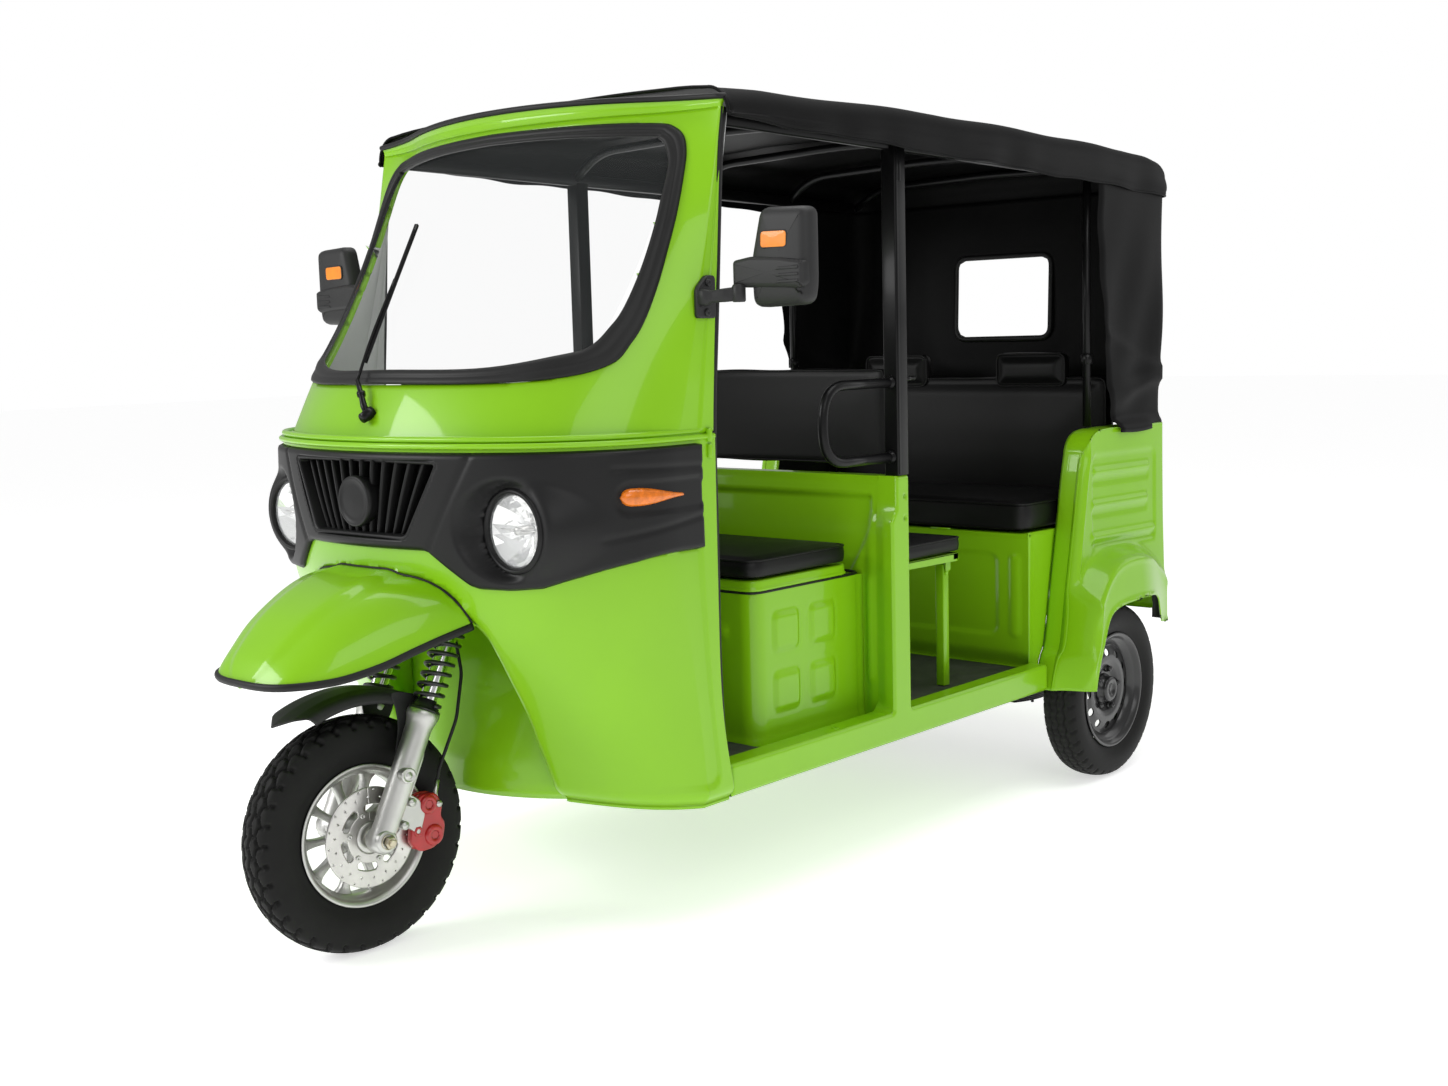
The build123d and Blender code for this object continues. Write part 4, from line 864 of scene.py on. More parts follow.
seal_rows = []
for share, out in ((0.0, -0.004), (0.0, 0.003), (0.06, 0.0075), (0.2, 0.0095), (0.42, 0.0085), (0.5, 0.0065),
                   (0.58, 0.0085), (0.8, 0.0095), (0.94, 0.007), (1.0, 0.002), (1.0, -0.006)):
    loop = seal_loop(share)
    seal_rows.append(on_front(loop[:, 0], loop[:, 1], HIGH_ROWS, out))
seal = new_piece("screen_seal", np.array(seal_rows), grid_faces(len(seal_rows), len(seal_rows[0]), ring=True),
                 "black_rubber", replaces=("windscreen_seal",))


def pane_skin(u, v):
    return body_plan(u, v, HIGH_ROWS, out=-0.002)


PANE = [(-0.49, 1.30), (0.49, 1.30), (0.52, 1.5), (0.505, 1.83), (-0.505, 1.83), (-0.52, 1.5)]
pane = trimmed(pane_skin, np.linspace(-1.9, 1.9, 96), np.linspace(1.28, 1.85, 50),
               lambda p: inside_outline(p[..., 0], p[..., 2], PANE, 0.06))
pane_piece = new_piece("screen_pane", *pane, "clear_glass", replaces=("windscreen_glass",))
print("seal", len(seal.data.polygons), "pane", len(pane_piece.data.polygons))

# %% Door gaskets and hinges
gasket_line = smooth_path([(0.641, 1.866), (0.623, 1.749), (0.6, 1.45), (0.579, 1.17), (0.577, 0.868), (0.575, 0.663),
                           (0.58, 0.5), (0.587, 0.429)], 90)
parts, hinge_parts = [], []
for side in (-1, 1):
    line = np.stack([np.full(90, side * 0.598), gasket_line[:, 0] + 0.003, gasket_line[:, 1]], -1)
    flat = np.stack([0.0075 * np.cos(np.linspace(0, 2 * np.pi, 12, endpoint=False)),
                     0.0095 * np.sin(np.linspace(0, 2 * np.pi, 12, endpoint=False))], -1)
    rings = carried_rings(line, flat)
    parts.append((rings.reshape(-1, 3), [tuple(f) for f in grid_faces(90, 12, ring=True)]
                  + [tuple(range(12))[::-1], tuple(range(89 * 12, 90 * 12))]))
    for z in (1.10, 1.135):
        knuckle = turned([(0, 0.0), (0, 0.0065), (0.003, 0.0075), (0.027, 0.0075), (0.03, 0.0065), (0.03, 0.0)],
                         (side * 0.607, 0.558, z), (0, 0, 1), 16, False)
        hinge_parts.append(knuckle)
new_piece("door_gaskets", *join_parts(parts), "black_rubber", slot="black_rubber")
new_piece("flange_hinges", *join_parts(hinge_parts), "green_sheet", slot="green_sheet")
print("door gaskets", len(parts), "hinge knuckles", len(hinge_parts))

# %% [markdown]
# ## Headlamps
# A faceted reflector bowl sits behind a domed lens in a soft black ring. Flat shading on the bowl's facets gives
# the broken sparkle of a real multi-surface reflector.

# %% Headlamps
finishes["reflector"] = speckled("lamp_reflector_painted_glow", (0.93, 0.93, 0.92), 0.13, 0.05, 30, 60, 0.25, 0.002, Metallic=0.9)
# The bowl also gives off a faint white glow: painted brightness that stands in for the studio light reflected in it.
finishes["reflector"].node_tree.nodes["Principled BSDF"].inputs["Emission Color"].default_value = (1, 1, 1, 1)
finishes["reflector"].node_tree.nodes["Principled BSDF"].inputs["Emission Strength"].default_value = 0.12
LAMP = (0.404, 0.156, 0.965)


def reflector_bowl(place, sectors=20, rings=5):
    """A paraboloid, depth 46 mm, whose spokes of points are pushed in and out by turns to make radial facets."""
    j, i = np.meshgrid(np.arange(sectors), np.arange(rings + 1))
    radius = 0.0765 * (0.16 + 0.84 * i / rings)
    turn = (j + 0.5) / sectors * 2 * np.pi
    deep = 0.046 * (1 - (radius / 0.0765) ** 2) + 0.0018 * np.where(j % 2, 1, -1) * (i < rings)
    points = np.stack([place[0] + radius * np.cos(turn), place[1] + 0.004 + deep, place[2] + radius * np.sin(turn)], -1)
    faces = [tuple(f) for f in grid_faces(rings + 1, sectors, ring=True)]
    return points.reshape(-1, 3), [f[::-1] for f in faces] + [tuple(range(sectors))]


ring_parts, bowl_parts, lens_parts, guard_parts = [], [], [], []
for side in (-1, 1):
    place = np.array([side * LAMP[0], LAMP[1], LAMP[2]])
    ring_parts.append(turned([(0.075, 0.0935), (0.004, 0.0935), (-0.005, 0.0925), (-0.0095, 0.0895), (-0.0105, 0.086),
                              (-0.009, 0.0825), (-0.004, 0.0795), (0.003, 0.0785), (0.02, 0.0785), (0.075, 0.08)],
                             place, (0, 1, 0), 72))
    bowl_parts.append(reflector_bowl(place))
    dome = [(-0.010 * (1 - (r / 0.0785) ** 2) + 0.0005, r) for r in np.linspace(0.0785, 0.0015, 12)]
    lens_parts.append(turned(dome + [(-0.0105, 0.0004)], place, (0, 1, 0), 64, False))
    guard_parts.append(turned([(0.046, 0.011), (0.014, 0.0105), (0.006, 0.009), (0.004, 0.005), (0.004, 0.0003)],
                              place, (0, 1, 0), 24, False))
    guard_parts.append(bar([place + (-0.07, 0.02, 0.001), place + (-0.012, 0.012, 0.001)], 0.0016, 8))
    guard_parts.append(bar([place + (0.012, 0.012, 0.001), place + (0.07, 0.02, 0.001)], 0.0016, 8))
new_piece("lamp_rings", *join_parts(ring_parts), "black_trim", slot="black_trim")
new_piece("lamp_bowls", *join_parts(bowl_parts), "reflector", smooth=False, slot="lamp_lens")
new_piece("lamp_lenses", *join_parts(lens_parts), "lamp_lens", replaces=("headlamps",))
new_piece("lamp_guards", *join_parts(guard_parts), "disc_steel", slot="lamp_lens")
print("headlamps at", LAMP)

# %% Turn signals


def signal_shell(side):
    """A drop: round at the front and drawn out to the back. Its height and its rise off the skin follow
    sqrt(1 - w^2) across and a skewed arch along."""
    s, w = np.meshgrid(np.linspace(0, 1, 30), np.linspace(-1, 1, 15))
    y = 0.306 + (0.462 - 0.306) * s
    half = 0.0195 * np.sqrt(np.clip(1 - (1 - np.clip(s / 0.16, 0, 1)) ** 2, 0, 1)) * (1 - 0.82 * smoothstep(
        (s - 0.25) / 0.78)) + 0.0004
    z = 1.031 - 0.004 * s + w * half
    rise = 0.0145 * np.sqrt(np.clip(1 - w ** 2, 0, 1)) * np.sqrt(half / 0.0199)
    points = on_side(y, z, LOW_ROWS, 0.008 + rise, side)
    return points.reshape(-1, 3), [tuple(f)[::-side] for f in grid_faces(15, 30)]


new_piece("signal_lenses", *join_parts([signal_shell(1), signal_shell(-1)]), "amber_lens", replaces=("turn_signals",))
print("signals ready")

# %% [markdown]
# ## Beak
# A pressed fender over the front wheel: plan outline like a tongue, round crown with a raised middle field, and a
# rolled black rubber edge.

# %% Beak
BEAK = np.array([(-0.2735, 0.0, 0.6600, 0.004), (-0.2715, 0.052, 0.6600, 0.012), (-0.262, 0.098, 0.6605, 0.028),
                 (-0.240, 0.138, 0.6625, 0.055), (-0.195, 0.173, 0.6650, 0.094), (-0.144, 0.202, 0.6720, 0.126),
                 (-0.07, 0.230, 0.6900, 0.147), (0.0, 0.252, 0.7140, 0.148), (0.07, 0.270, 0.7350, 0.137),
                 (0.14, 0.283, 0.7520, 0.122), (0.17, 0.286, 0.7600, 0.116)])
beak_rows = smooth_path(BEAK, 80)


def beak_skin(s, w):
    """s picks a row from the tip, 0, to the root, 1; w runs across from -1 to 1. Height over the edge line is a
    flattened arch, plus a raised field whose border runs from the root's shoulders to the tip."""
    k = s * (len(beak_rows) - 1)
    row = np.stack([np.interp(k, np.arange(len(beak_rows)), beak_rows[:, c]) for c in range(4)], -1)
    y, half, edge, rise = np.moveaxis(row, -1, 0)
    q = np.abs(np.sin(w * np.pi / 2))
    power, root = 2.3 + 2.6 * smoothstep(s * 1.1), 0.62 - 0.13 * s
    arch = np.clip(1 - q ** power, 0, 1) ** root
    border = 0.66 - 0.2 * s
    field = smoothstep((border - q) / 0.2) * smoothstep(s / 0.3) * 0.01
    return np.stack([half * np.sin(w * np.pi / 2), y, edge + (rise - 0.009) * arch + field], -1)


def beak_kept(points):
    """Ahead of the body's skin."""
    skin = on_front(np.clip(points[..., 0], -0.4, 0.4), np.clip(points[..., 2], 0.6, 0.93), LOW_ROWS)[..., 1]
    return skin + 0.004 - points[..., 1]


beak = trimmed(beak_skin, np.linspace(0, 1, 76), np.linspace(-1, 1, 69), beak_kept)
beak_piece = thicken(new_piece("beak", *beak, "green_sheet", replaces=("nose_fender",)), 0.004, 1.0)
edge = np.concatenate([np.stack([-beak_rows[:, 1], beak_rows[:, 0], beak_rows[:, 2]], -1)[::-1],
                       np.stack([beak_rows[:, 1], beak_rows[:, 0], beak_rows[:, 2]], -1)[1:]])
edge = edge[edge[:, 1] < 0.137]
turn = np.linspace(0, 2 * np.pi, 14, endpoint=False)
oval = np.stack([0.0065 * np.cos(turn), 0.0085 * np.sin(turn) - 0.002], -1)
rim_rings = carried_rings(edge, oval)
last = (len(edge) - 1) * 14
new_piece("beak_rim", rim_rings, [tuple(f) for f in grid_faces(len(edge), 14, ring=True)]
          + [tuple(range(14))[::-1], tuple(range(last, last + 14))], "black_rubber", slot="black_rubber")
seam = []
for w in np.linspace(-0.97, 0.97, 61):
    s = np.linspace(0.3, 1, 200)
    line = beak_skin(s, np.full_like(s, w))
    gap = on_front(np.clip(line[:, 0], -0.4, 0.4), line[:, 2], LOW_ROWS)[:, 1] - line[:, 1]
    seam.append([np.interp(0, -gap, line[:, c]) for c in range(3)])
new_piece("beak_seam", *bar(np.array(seam) + (0, -0.001, 0.001), 0.0028, 8), "black_rubber", slot="black_rubber")
print("beak", len(beak_piece.data.polygons), "faces")

# %% [markdown]
# ## Wheels
# The front wheel and fork are worked out standing straight, then turned about the steering axis to where the vehicle
# is parked. A tyre is a grid: one way round the wheel, the other across its section. The tread is a depth map on
# that grid: zigzag lines round the wheel and short cuts across make separate blocks.

# %% Steering turn
RAKE, STEER_REST = math.radians(27), math.radians(-5.3)
STEM = np.array([0, math.sin(RAKE), math.cos(RAKE)])
BACK = np.array([0, math.cos(RAKE), -math.sin(RAKE)])
HUB = np.array([0, 0, 0.27])
FOOT = HUB + BACK * 0.04


def steered(points):
    """Rodrigues' turn about the steering axis."""
    p = np.asarray(points, float).reshape(-1, 3) - FOOT
    c, s = math.cos(STEER_REST), math.sin(STEER_REST)
    return p * c + np.cross(STEM, p) * s + (p @ STEM)[:, None] * STEM * (1 - c) + FOOT


def leg(distance, x=0.0):
    """A place on a fork leg, this far above the axle."""
    return HUB + STEM * distance + (x, 0, 0)


print("steering foot", FOOT.round(4))

# %% Tyres


def zigzag(s):
    return 2 * np.abs(2 * (s - np.floor(s + 0.5))) - 1


def cut(distance, half, soft=1.3):
    """1 inside a groove of this half width (mm), 0 outside, with sloped walls."""
    return 1 - smoothstep((np.abs(distance) - half) / soft)


def block_tread(s, w, pitch):
    """Chunky blocks: two zigzag lines each side and cuts that step half a pitch from row to row."""
    a = np.abs(w)
    s = s + 0.25 * np.sign(w)
    near, far = 11 + 4.2 * zigzag(s), 31 + 3.6 * zigzag(s + 0.5)
    lines = np.maximum(cut(a - near, 2.6), cut(a - far, 2.6))

    def across(phase, half):
        d = (s + phase) - np.floor(s + phase + 0.5)
        return cut(d * pitch, half)

    rows = np.where(a < near, across(0.1 + a * 0.01, 1.5), np.where(a < far, across(0.6 + (a - 20) * 0.012, 2.2),
                                                                  across(0.1 - (a - 40) * 0.006, 4.2)))
    sipes = np.where((a > near) & (a < far), across(0.1, 0.5) * 0.4, 0)
    return np.maximum(np.maximum(lines, rows), sipes) * (1 - smoothstep((a - 58) / 5))


def zigzag_tread(s, w, pitch):
    """Ribs parted by zigzag grooves, with notches at the shoulders."""
    a = np.abs(w)
    lines = np.maximum(cut(w - 3.5 * zigzag(s), 1.9), cut(a - 22 - 3.5 * zigzag(s + 0.5), 2.0))
    d = (s + 0.25) - np.floor(s + 0.25 + 0.5)
    notches = cut(d * pitch - (a - 40) * 0.3, 2.4) * (a > 36)
    fine = cut((2 * s - np.floor(2 * s + 0.5)) * pitch / 2, 0.5) * 0.35 * (a < 36)
    return np.maximum(np.maximum(lines, notches), fine) * (1 - smoothstep((a - 56) / 5))


def tyre_form(profile, pitches, tread, depth, steps=9, across=70):
    """Revolves a smooth section of (x, r) and sinks the tread along the section's normal. Fine steps sit on the
    tread, coarse ones on the walls."""
    dense = smooth_path(profile, 600)
    length = np.concatenate([[0], np.cumsum(np.linalg.norm(np.diff(dense, axis=0), axis=1))])
    length -= length[-1] / 2
    edge = 0.064
    picks = np.concatenate([np.linspace(length[0], -edge, 14)[:-1], np.linspace(-edge, edge, across),
                            np.linspace(edge, length[-1], 14)[1:]])
    x, r = np.interp(picks, length, dense[:, 0]), np.interp(picks, length, dense[:, 1])
    dx, dr = np.gradient(x, picks), np.gradient(r, picks)
    size = np.hypot(dx, dr)
    around = np.arange(pitches * steps) / (pitches * steps) * 2 * np.pi
    w, turn = np.meshgrid(picks * 1000, around)
    sink = tread(turn / (2 * np.pi) * pitches, w, 2 * np.pi * r.max() * 1000 / pitches) * depth
    px = x + sink * dr / size
    pr = r - sink * dx / size
    points = np.stack([px, pr * np.sin(turn), pr * np.cos(turn)], -1)
    return points.reshape(-1, 3), grid_faces(len(around), len(picks), loop=True)


def mirror_profile(half):
    return [(-x, r) for x, r in half] + [(x, r) for x, r in half[::-1]][1:]


front_section = mirror_profile([(0.030, 0.1575), (0.038, 0.1585), (0.0415, 0.164), (0.0435, 0.172), (0.0505, 0.190),
                                (0.0538, 0.210), (0.0530, 0.230), (0.0495, 0.247), (0.0435, 0.2575), (0.031, 0.2645),
                                (0.016, 0.2685), (0.0, 0.2698)])
front_tyre = tyre_form(front_section, 36, block_tread, 0.0085, 10, 58)
new_piece("front_tyre_tread", steered(front_tyre[0] + HUB), front_tyre[1], "tyre_rubber", "front_wheel",
          replaces=("front_tyre",))
rear_section = mirror_profile([(0.032, 0.1695), (0.040, 0.1705), (0.0445, 0.176), (0.0475, 0.184), (0.0540, 0.200),
                               (0.0568, 0.216), (0.0560, 0.232), (0.0530, 0.246), (0.0470, 0.256), (0.034, 0.2625),
                               (0.017, 0.2662), (0.0, 0.2672)])
rear_tyre = tyre_form(rear_section, 40, zigzag_tread, 0.0052, 8, 58)
for name, side in (("left", 1), ("right", -1)):
    new_piece(f"rear_tyre_tread_{name}", rear_tyre[0] + (side * 0.608, 2.32, 0.2675), rear_tyre[1], "tyre_rubber",
              f"rear_wheel_{name}", replaces=(f"rear_tyre_{name}",))
print("tyre faces", len(front_tyre[1]), len(rear_tyre[1]))

# %% Front rim


def spoke(angle, inner=0.036, outer=0.1415):
    """One spoke along a radius: a rounded box section that widens at both ends by a quadratic."""
    t = np.linspace(0, 1, 18)
    r = inner + (outer - inner) * t
    wide = 0.0085 + 0.0085 * (2 * t - 1) ** 2 + 0.006 * smoothstep((t - 0.8) / 0.2)
    thick = 0.0125 - 0.003 * t + 0.004 * smoothstep((t - 0.85) / 0.15)
    turn = np.linspace(0, 2 * np.pi, 16, endpoint=False)
    box = np.stack([np.sign(np.cos(turn)) * np.abs(np.cos(turn)) ** 0.5, np.sign(np.sin(turn))
                    * np.abs(np.sin(turn)) ** 0.5], -1)
    x = thick[:, None] * box[:, 0] - 0.004
    side = wide[:, None] * box[:, 1]
    radial = np.broadcast_to(r[:, None], x.shape)
    y = radial * np.sin(angle) + side * np.cos(angle)
    z = radial * np.cos(angle) - side * np.sin(angle)
    return np.stack([x, y, z], -1).reshape(-1, 3), [tuple(f) for f in grid_faces(18, 16, ring=True)]


barrel = [(-0.0455, 0.157), (-0.0455, 0.1605), (-0.044, 0.1622), (-0.0425, 0.161), (-0.0415, 0.156), (-0.037, 0.153),
          (-0.028, 0.1525), (-0.020, 0.143), (0.020, 0.143), (0.028, 0.1525), (0.037, 0.153), (0.0415, 0.156),
          (0.0425, 0.161), (0.044, 0.1622), (0.0455, 0.1605), (0.0455, 0.157), (0.043, 0.1525), (0.0395, 0.148),
          (0.034, 0.1455), (0.028, 0.1435), (0.022, 0.1375), (-0.022, 0.1375), (-0.028, 0.1435), (-0.034, 0.1455),
          (-0.0395, 0.148), (-0.043, 0.1525)]
rim_parts = [turned(barrel, (0, 0, 0), sides=160)]
rim_parts += [spoke(math.radians(36 * k + 18)) for k in range(10)]
rim_parts.append(turned([(-0.0575, 0.012), (-0.0575, 0.024), (-0.055, 0.027), (-0.044, 0.0285), (-0.036, 0.040),
                         (-0.032, 0.044), (0.036, 0.044), (0.040, 0.0425), (0.052, 0.0415), (0.054, 0.040),
                         (0.054, 0.036), (0.0655, 0.0355), (0.067, 0.034), (0.067, 0.022), (0.066, 0.020),
                         (0.066, 0.012)], (0, 0, 0), sides=72))
points, faces = join_parts(rim_parts)
new_piece("front_rim_casting", steered(points + HUB), faces, "cast_alloy", "front_wheel", replaces=("front_rim",))
print("front rim", len(faces), "faces")

# %% Brake disc


def disc_skin(a, r):
    return np.stack([0 * a + 0.0648, r * np.sin(a), r * np.cos(a)], -1)


def disc_kept(points):
    """Outside the round holes of the friction ring, six short slots and six windows of the carrier."""
    y, z = points[..., 1], points[..., 2]
    away = np.full(y.shape, 1.0)
    for k in range(18):
        a = math.radians(20 * k)
        for r, small in ((0.091, 0.0032), (0.099, 0.0028), (0.107, 0.0026)):
            b = a + (r - 0.091) * 9
            away = np.minimum(away, np.hypot(y - r * math.sin(b), z - r * math.cos(b)) - small)
    for k in range(6):
        a = math.radians(60 * k + 12)
        for t in np.linspace(-1, 1, 7):
            b = a + t * 0.27
            away = np.minimum(away, np.hypot(y - 0.0665 * math.sin(b), z - 0.0665 * math.cos(b)) - 0.0085)
    return away


disc = trimmed(disc_skin, np.linspace(0, 2 * np.pi, 271), np.linspace(0.0362, 0.1138, 25), disc_kept)
disc_piece = new_piece("brake_rotor", steered(disc[0] + HUB), disc[1], "disc_steel", "front_wheel",
                       replaces=("brake_disc",))
thicken(disc_piece, 0.0038)
bolts = []
for k in range(6):
    a = math.radians(60 * k - 18)
    bolts.append(turned([(0.064, 0.0062), (0.0672, 0.006), (0.0680, 0.0045), (0.0680, 0.002), (0.0668, 0.0019),
                         (0.0668, 0.0002)], (0, 0.054 * math.sin(a), 0.054 * math.cos(a)), sides=16, closed=False))
points, faces = join_parts(bolts)
new_piece("rotor_bolts", steered(points + HUB), faces, "cast_alloy", "front_wheel", slot="disc_steel")
print("disc", len(disc[1]), "faces")

# %% Rear rims
finishes["rim_paint"] = speckled("rear_rim_paint", (0.005, 0.005, 0.0052), 0.33, 0.2, 5, 240, 0.2, 0.0004,
                                 Coat_Weight=0.4, Coat_Roughness=0.12)


def dish_skin(a, r):
    """A pressed disc: flat at the hub, a raised ring where the windows are, and a slope out to the rim's well."""
    x = np.interp(r, [0.03, 0.046, 0.056, 0.070, 0.088, 0.104, 0.120, 0.132, 0.139],
                  [0.010, 0.010, 0.012, 0.022, 0.0265, 0.0255, 0.020, 0.016, 0.016])
    return np.stack([x + 0 * a, r * np.sin(a), r * np.cos(a)], -1)


def dish_kept(points):
    """Outside twelve oval windows."""
    y, z = points[..., 1], points[..., 2]
    a = np.arctan2(y, z) * 12 / (2 * np.pi)
    a = (a - np.round(a)) / 12 * 2 * np.pi
    r = np.hypot(y, z)
    return (np.hypot(a * r / 0.0135, (r - 0.1125) / 0.0115) - 1) * 0.0125


dish = trimmed(dish_skin, np.linspace(0, 2 * np.pi, 151), np.linspace(0.03, 0.139, 32), dish_kept)
rear_barrel = [(x * 1.02, r) for x, r in
               [(-0.0485, 0.169), (-0.0485, 0.1735), (-0.0465, 0.1755), (-0.0448, 0.1735), (-0.044, 0.167),
                (-0.037, 0.1645), (-0.029, 0.160), (-0.022, 0.140), (0.022, 0.140), (0.029, 0.160), (0.037, 0.1645),
                (0.044, 0.167), (0.0448, 0.1735), (0.0465, 0.1755), (0.0485, 0.1735), (0.0485, 0.169),
                (0.0455, 0.163), (0.036, 0.1595), (0.031, 0.154), (0.026, 0.1375), (-0.026, 0.1375), (-0.031, 0.154),
                (-0.036, 0.1595), (-0.0455, 0.163)]]
hub_cap = [(-0.019, 0.046), (0.012, 0.046), (0.016, 0.044), (0.017, 0.040), (0.034, 0.0385), (0.0385, 0.036),
           (0.040, 0.030), (0.040, 0.018), (0.037, 0.017), (0.037, 0.001)]
for name, side in (("left", 1), ("right", -1)):
    plate_front = (dish[0] * (1, 1, 1), dish[1])
    plate_back = (dish[0] - (0.0045, 0, 0), [f[::-1] for f in dish[1]])
    nuts = []
    for k in range(5):
        a = math.radians(72 * k + 10)
        place = (0.0, 0.062 * math.sin(a), 0.062 * math.cos(a))
        nuts.append(turned([(0.012, 0.012), (0.019, 0.0115), (0.020, 0.010)], place, sides=20, closed=False))
        nuts.append(turned([(0.018, 0.009), (0.029, 0.009), (0.031, 0.0075), (0.031, 0.005), (0.034, 0.0045),
                            (0.034, 0.0002)], place, sides=6, closed=False))
    points, faces = join_parts([turned(rear_barrel, (0, 0, 0), sides=88), plate_front, plate_back,
                                turned(hub_cap, (0, 0, 0), sides=64, closed=False)] + nuts)
    if side < 0:
        points, faces = mirrored((points, faces))
    new_piece(f"rear_rim_steel_{name}", points + (side * 0.608, 2.32, 0.2675), faces, "rim_paint",
              f"rear_wheel_{name}", replaces=(f"rear_rim_{name}",))
print("rear rims", len(faces), "faces each")

# %% [markdown]
# ## Fork
# Sliders with a flared collar carry the axle. Chrome stanchions run up through black coil springs.

# %% Sliders and stanchions
AXLE_X = 0.107
slider_parts, stanchion_parts, spring_parts, seal_parts, nut_parts = [], [], [], [], []
for side in (-1, 1):
    x = side * AXLE_X
    slider_parts.append(turned([(-0.030, 0.0005), (-0.030, 0.016), (-0.026, 0.023), (-0.018, 0.0275), (0.0, 0.0285),
                                (0.05, 0.0285), (0.056, 0.0295), (0.23, 0.0298), (0.262, 0.0305), (0.276, 0.0335),
                                (0.286, 0.0372), (0.2975, 0.0378), (0.3, 0.036), (0.3, 0.019), (0.29, 0.018)],
                               leg(0, x), STEM, 56, False))
    slider_parts.append(turned([(-0.0285, 0.001), (-0.0285, 0.022), (-0.026, 0.0255), (0.026, 0.0255),
                                (0.0285, 0.022), (0.0285, 0.001)], leg(0, x), (1, 0, 0), 40, False))
    nut_parts.append(turned([(0.0285, 0.0175), (0.0325, 0.0175), (0.033, 0.0165)], leg(0, x), (side, 0, 0), 32, False))
    nut_parts.append(turned([(0.033, 0.0005), (0.033, 0.0145), (0.043, 0.0145), (0.0452, 0.012), (0.0452, 0.0088)],
                            leg(0, x), (side, 0, 0), 6, False))
    nut_parts.append(turned([(0.044, 0.0082), (0.050, 0.0082), (0.0515, 0.0065), (0.0515, 0.0002)],
                            leg(0, x), (side, 0, 0), 20, False))
    slider_parts.append(turned([(0.0, 0.018), (0.040, 0.0175), (0.0425, 0.0175), (0.0445, 0.0160), (0.0445, 0.0125),
                                (0.0428, 0.0118), (0.0428, 0.0075), (0.0445, 0.007), (0.0445, 0.0003)],
                               leg(0.15, x) - BACK * 0.006, (side, -0.12, 0.06), 40, False))
    web = [(-0.019, 0.085), (0.005, 0.075), (0.012, 0.10), (0.012, 0.2), (0.004, 0.232), (-0.01, 0.24)]
    rib = stacked(round_outline([(0.024 + a, b) for a, b in web], 0.01), soft_edges(x - 0.007, x + 0.007, 0.003), "yz")
    turn_rib = rib[0] @ np.array([[1, 0, 0], BACK, STEM]) + HUB
    slider_parts.append((turn_rib, rib[1]))
    for height, out in ((0.098, 0.036), (0.045, 0.037)):
        slider_parts.append(turned([(-0.012, 0.010), (0.010, 0.010), (0.013, 0.0095), (0.0145, 0.008),
                                    (0.0145, 0.0055), (0.0155, 0.0050), (0.0155, 0.0003)],
                                   leg(height, x + side * 0.008) + BACK * out, (side, 0, 0), 24, False))
    stanchion_parts.append(turned([(0.285, 0.0200), (0.63, 0.0200)], leg(0, x), STEM, 40, False))
    seal_parts.append(turned([(0.300, 0.0365), (0.303, 0.0370), (0.306, 0.0350), (0.307, 0.0315), (0.311, 0.0315),
                              (0.313, 0.0285), (0.318, 0.0275), (0.321, 0.0235), (0.327, 0.0215), (0.329, 0.0175)],
                             leg(0, x), STEM, 40, False))
    turns = 7.6
    t = np.linspace(0, 1, 210)
    climb = 0.3145 + (0.496 - 0.3145) * (t + 0.02 * np.sin(np.pi * t)) / 1.0
    around = np.stack([np.cos(2 * np.pi * turns * t), np.sin(2 * np.pi * turns * t)], -1) * 0.0312
    path = leg(0, x) + climb[:, None] * STEM + around[:, :1] * np.array([1, 0, 0]) + around[:, 1:] * BACK
    spring_parts.append(bar(path, 0.0046, 9))
for name, parts, finish, node in (("fork_lower_legs", slider_parts, "cast_alloy", "fork_sliders"),
                                  ("fork_coils", spring_parts + seal_parts, "spring_steel", "fork_springs")):
    points, faces = join_parts(parts)
    new_piece(name, steered(points), faces, finish, "steering", replaces=(node,))
points, faces = join_parts(stanchion_parts)
new_piece("fork_stanchions", steered(points), faces, "chrome", "steering", slot="cast_alloy")
finishes["zinc"] = speckled("yellow_zinc", (0.55, 0.50, 0.38), 0.35, 0.15, 40, 300, 0.2, 0.0003, Metallic=1.0)
points, faces = join_parts(nut_parts)
new_piece("axle_nuts", steered(points), faces, "zinc", "steering", smooth=False, slot="cast_alloy")
print("fork parts", len(slider_parts), len(spring_parts))

# %% Caliper and hose end
caliper_outline = round_outline([(0.088, 0.236), (0.112, 0.212), (0.150, 0.214), (0.178, 0.236), (0.184, 0.268),
                                 (0.172, 0.284), (0.180, 0.306), (0.166, 0.340), (0.128, 0.344), (0.104, 0.330),
                                 (0.106, 0.300), (0.094, 0.276)], 0.012, 7)
parts = [stacked(caliper_outline, soft_edges(0.0685, 0.089, 0.0045), "yz"),
         stacked(caliper_outline, soft_edges(0.0515, 0.0595, 0.003), "yz")]
bridge = round_outline([(0.132, 0.222), (0.170, 0.236), (0.177, 0.262), (0.166, 0.282), (0.172, 0.306), (0.158, 0.336),
                        (0.128, 0.336), (0.150, 0.302), (0.150, 0.262)], 0.008)
parts.append(stacked(bridge[(bridge[:, 0] > 0.1195)], soft_edges(0.056, 0.072, 0.002), "yz"))
for y, z, r in ((0.140, 0.318, 0.0215), (0.150, 0.245, 0.0235)):
    parts.append(turned([(0.080, r + 0.002), (0.0905, r + 0.001), (0.0955, r - 0.002), (0.0965, r - 0.006),
                         (0.0965, 0.0115), (0.0935, 0.0100)], (0, y, z), (1, 0, 0), 40, False))
    parts.append(turned([(0.0935, 0.0100), (0.0935, 0.0003)], (0, y, z), (1, 0, 0), 6, False))
parts.append(turned([(0.080, 0.013), (0.0915, 0.0125), (0.093, 0.011), (0.093, 0.006), (0.0905, 0.0058),
                     (0.0905, 0.0003)], (0, 0.108, 0.262), (1, 0, 0), 6, False))
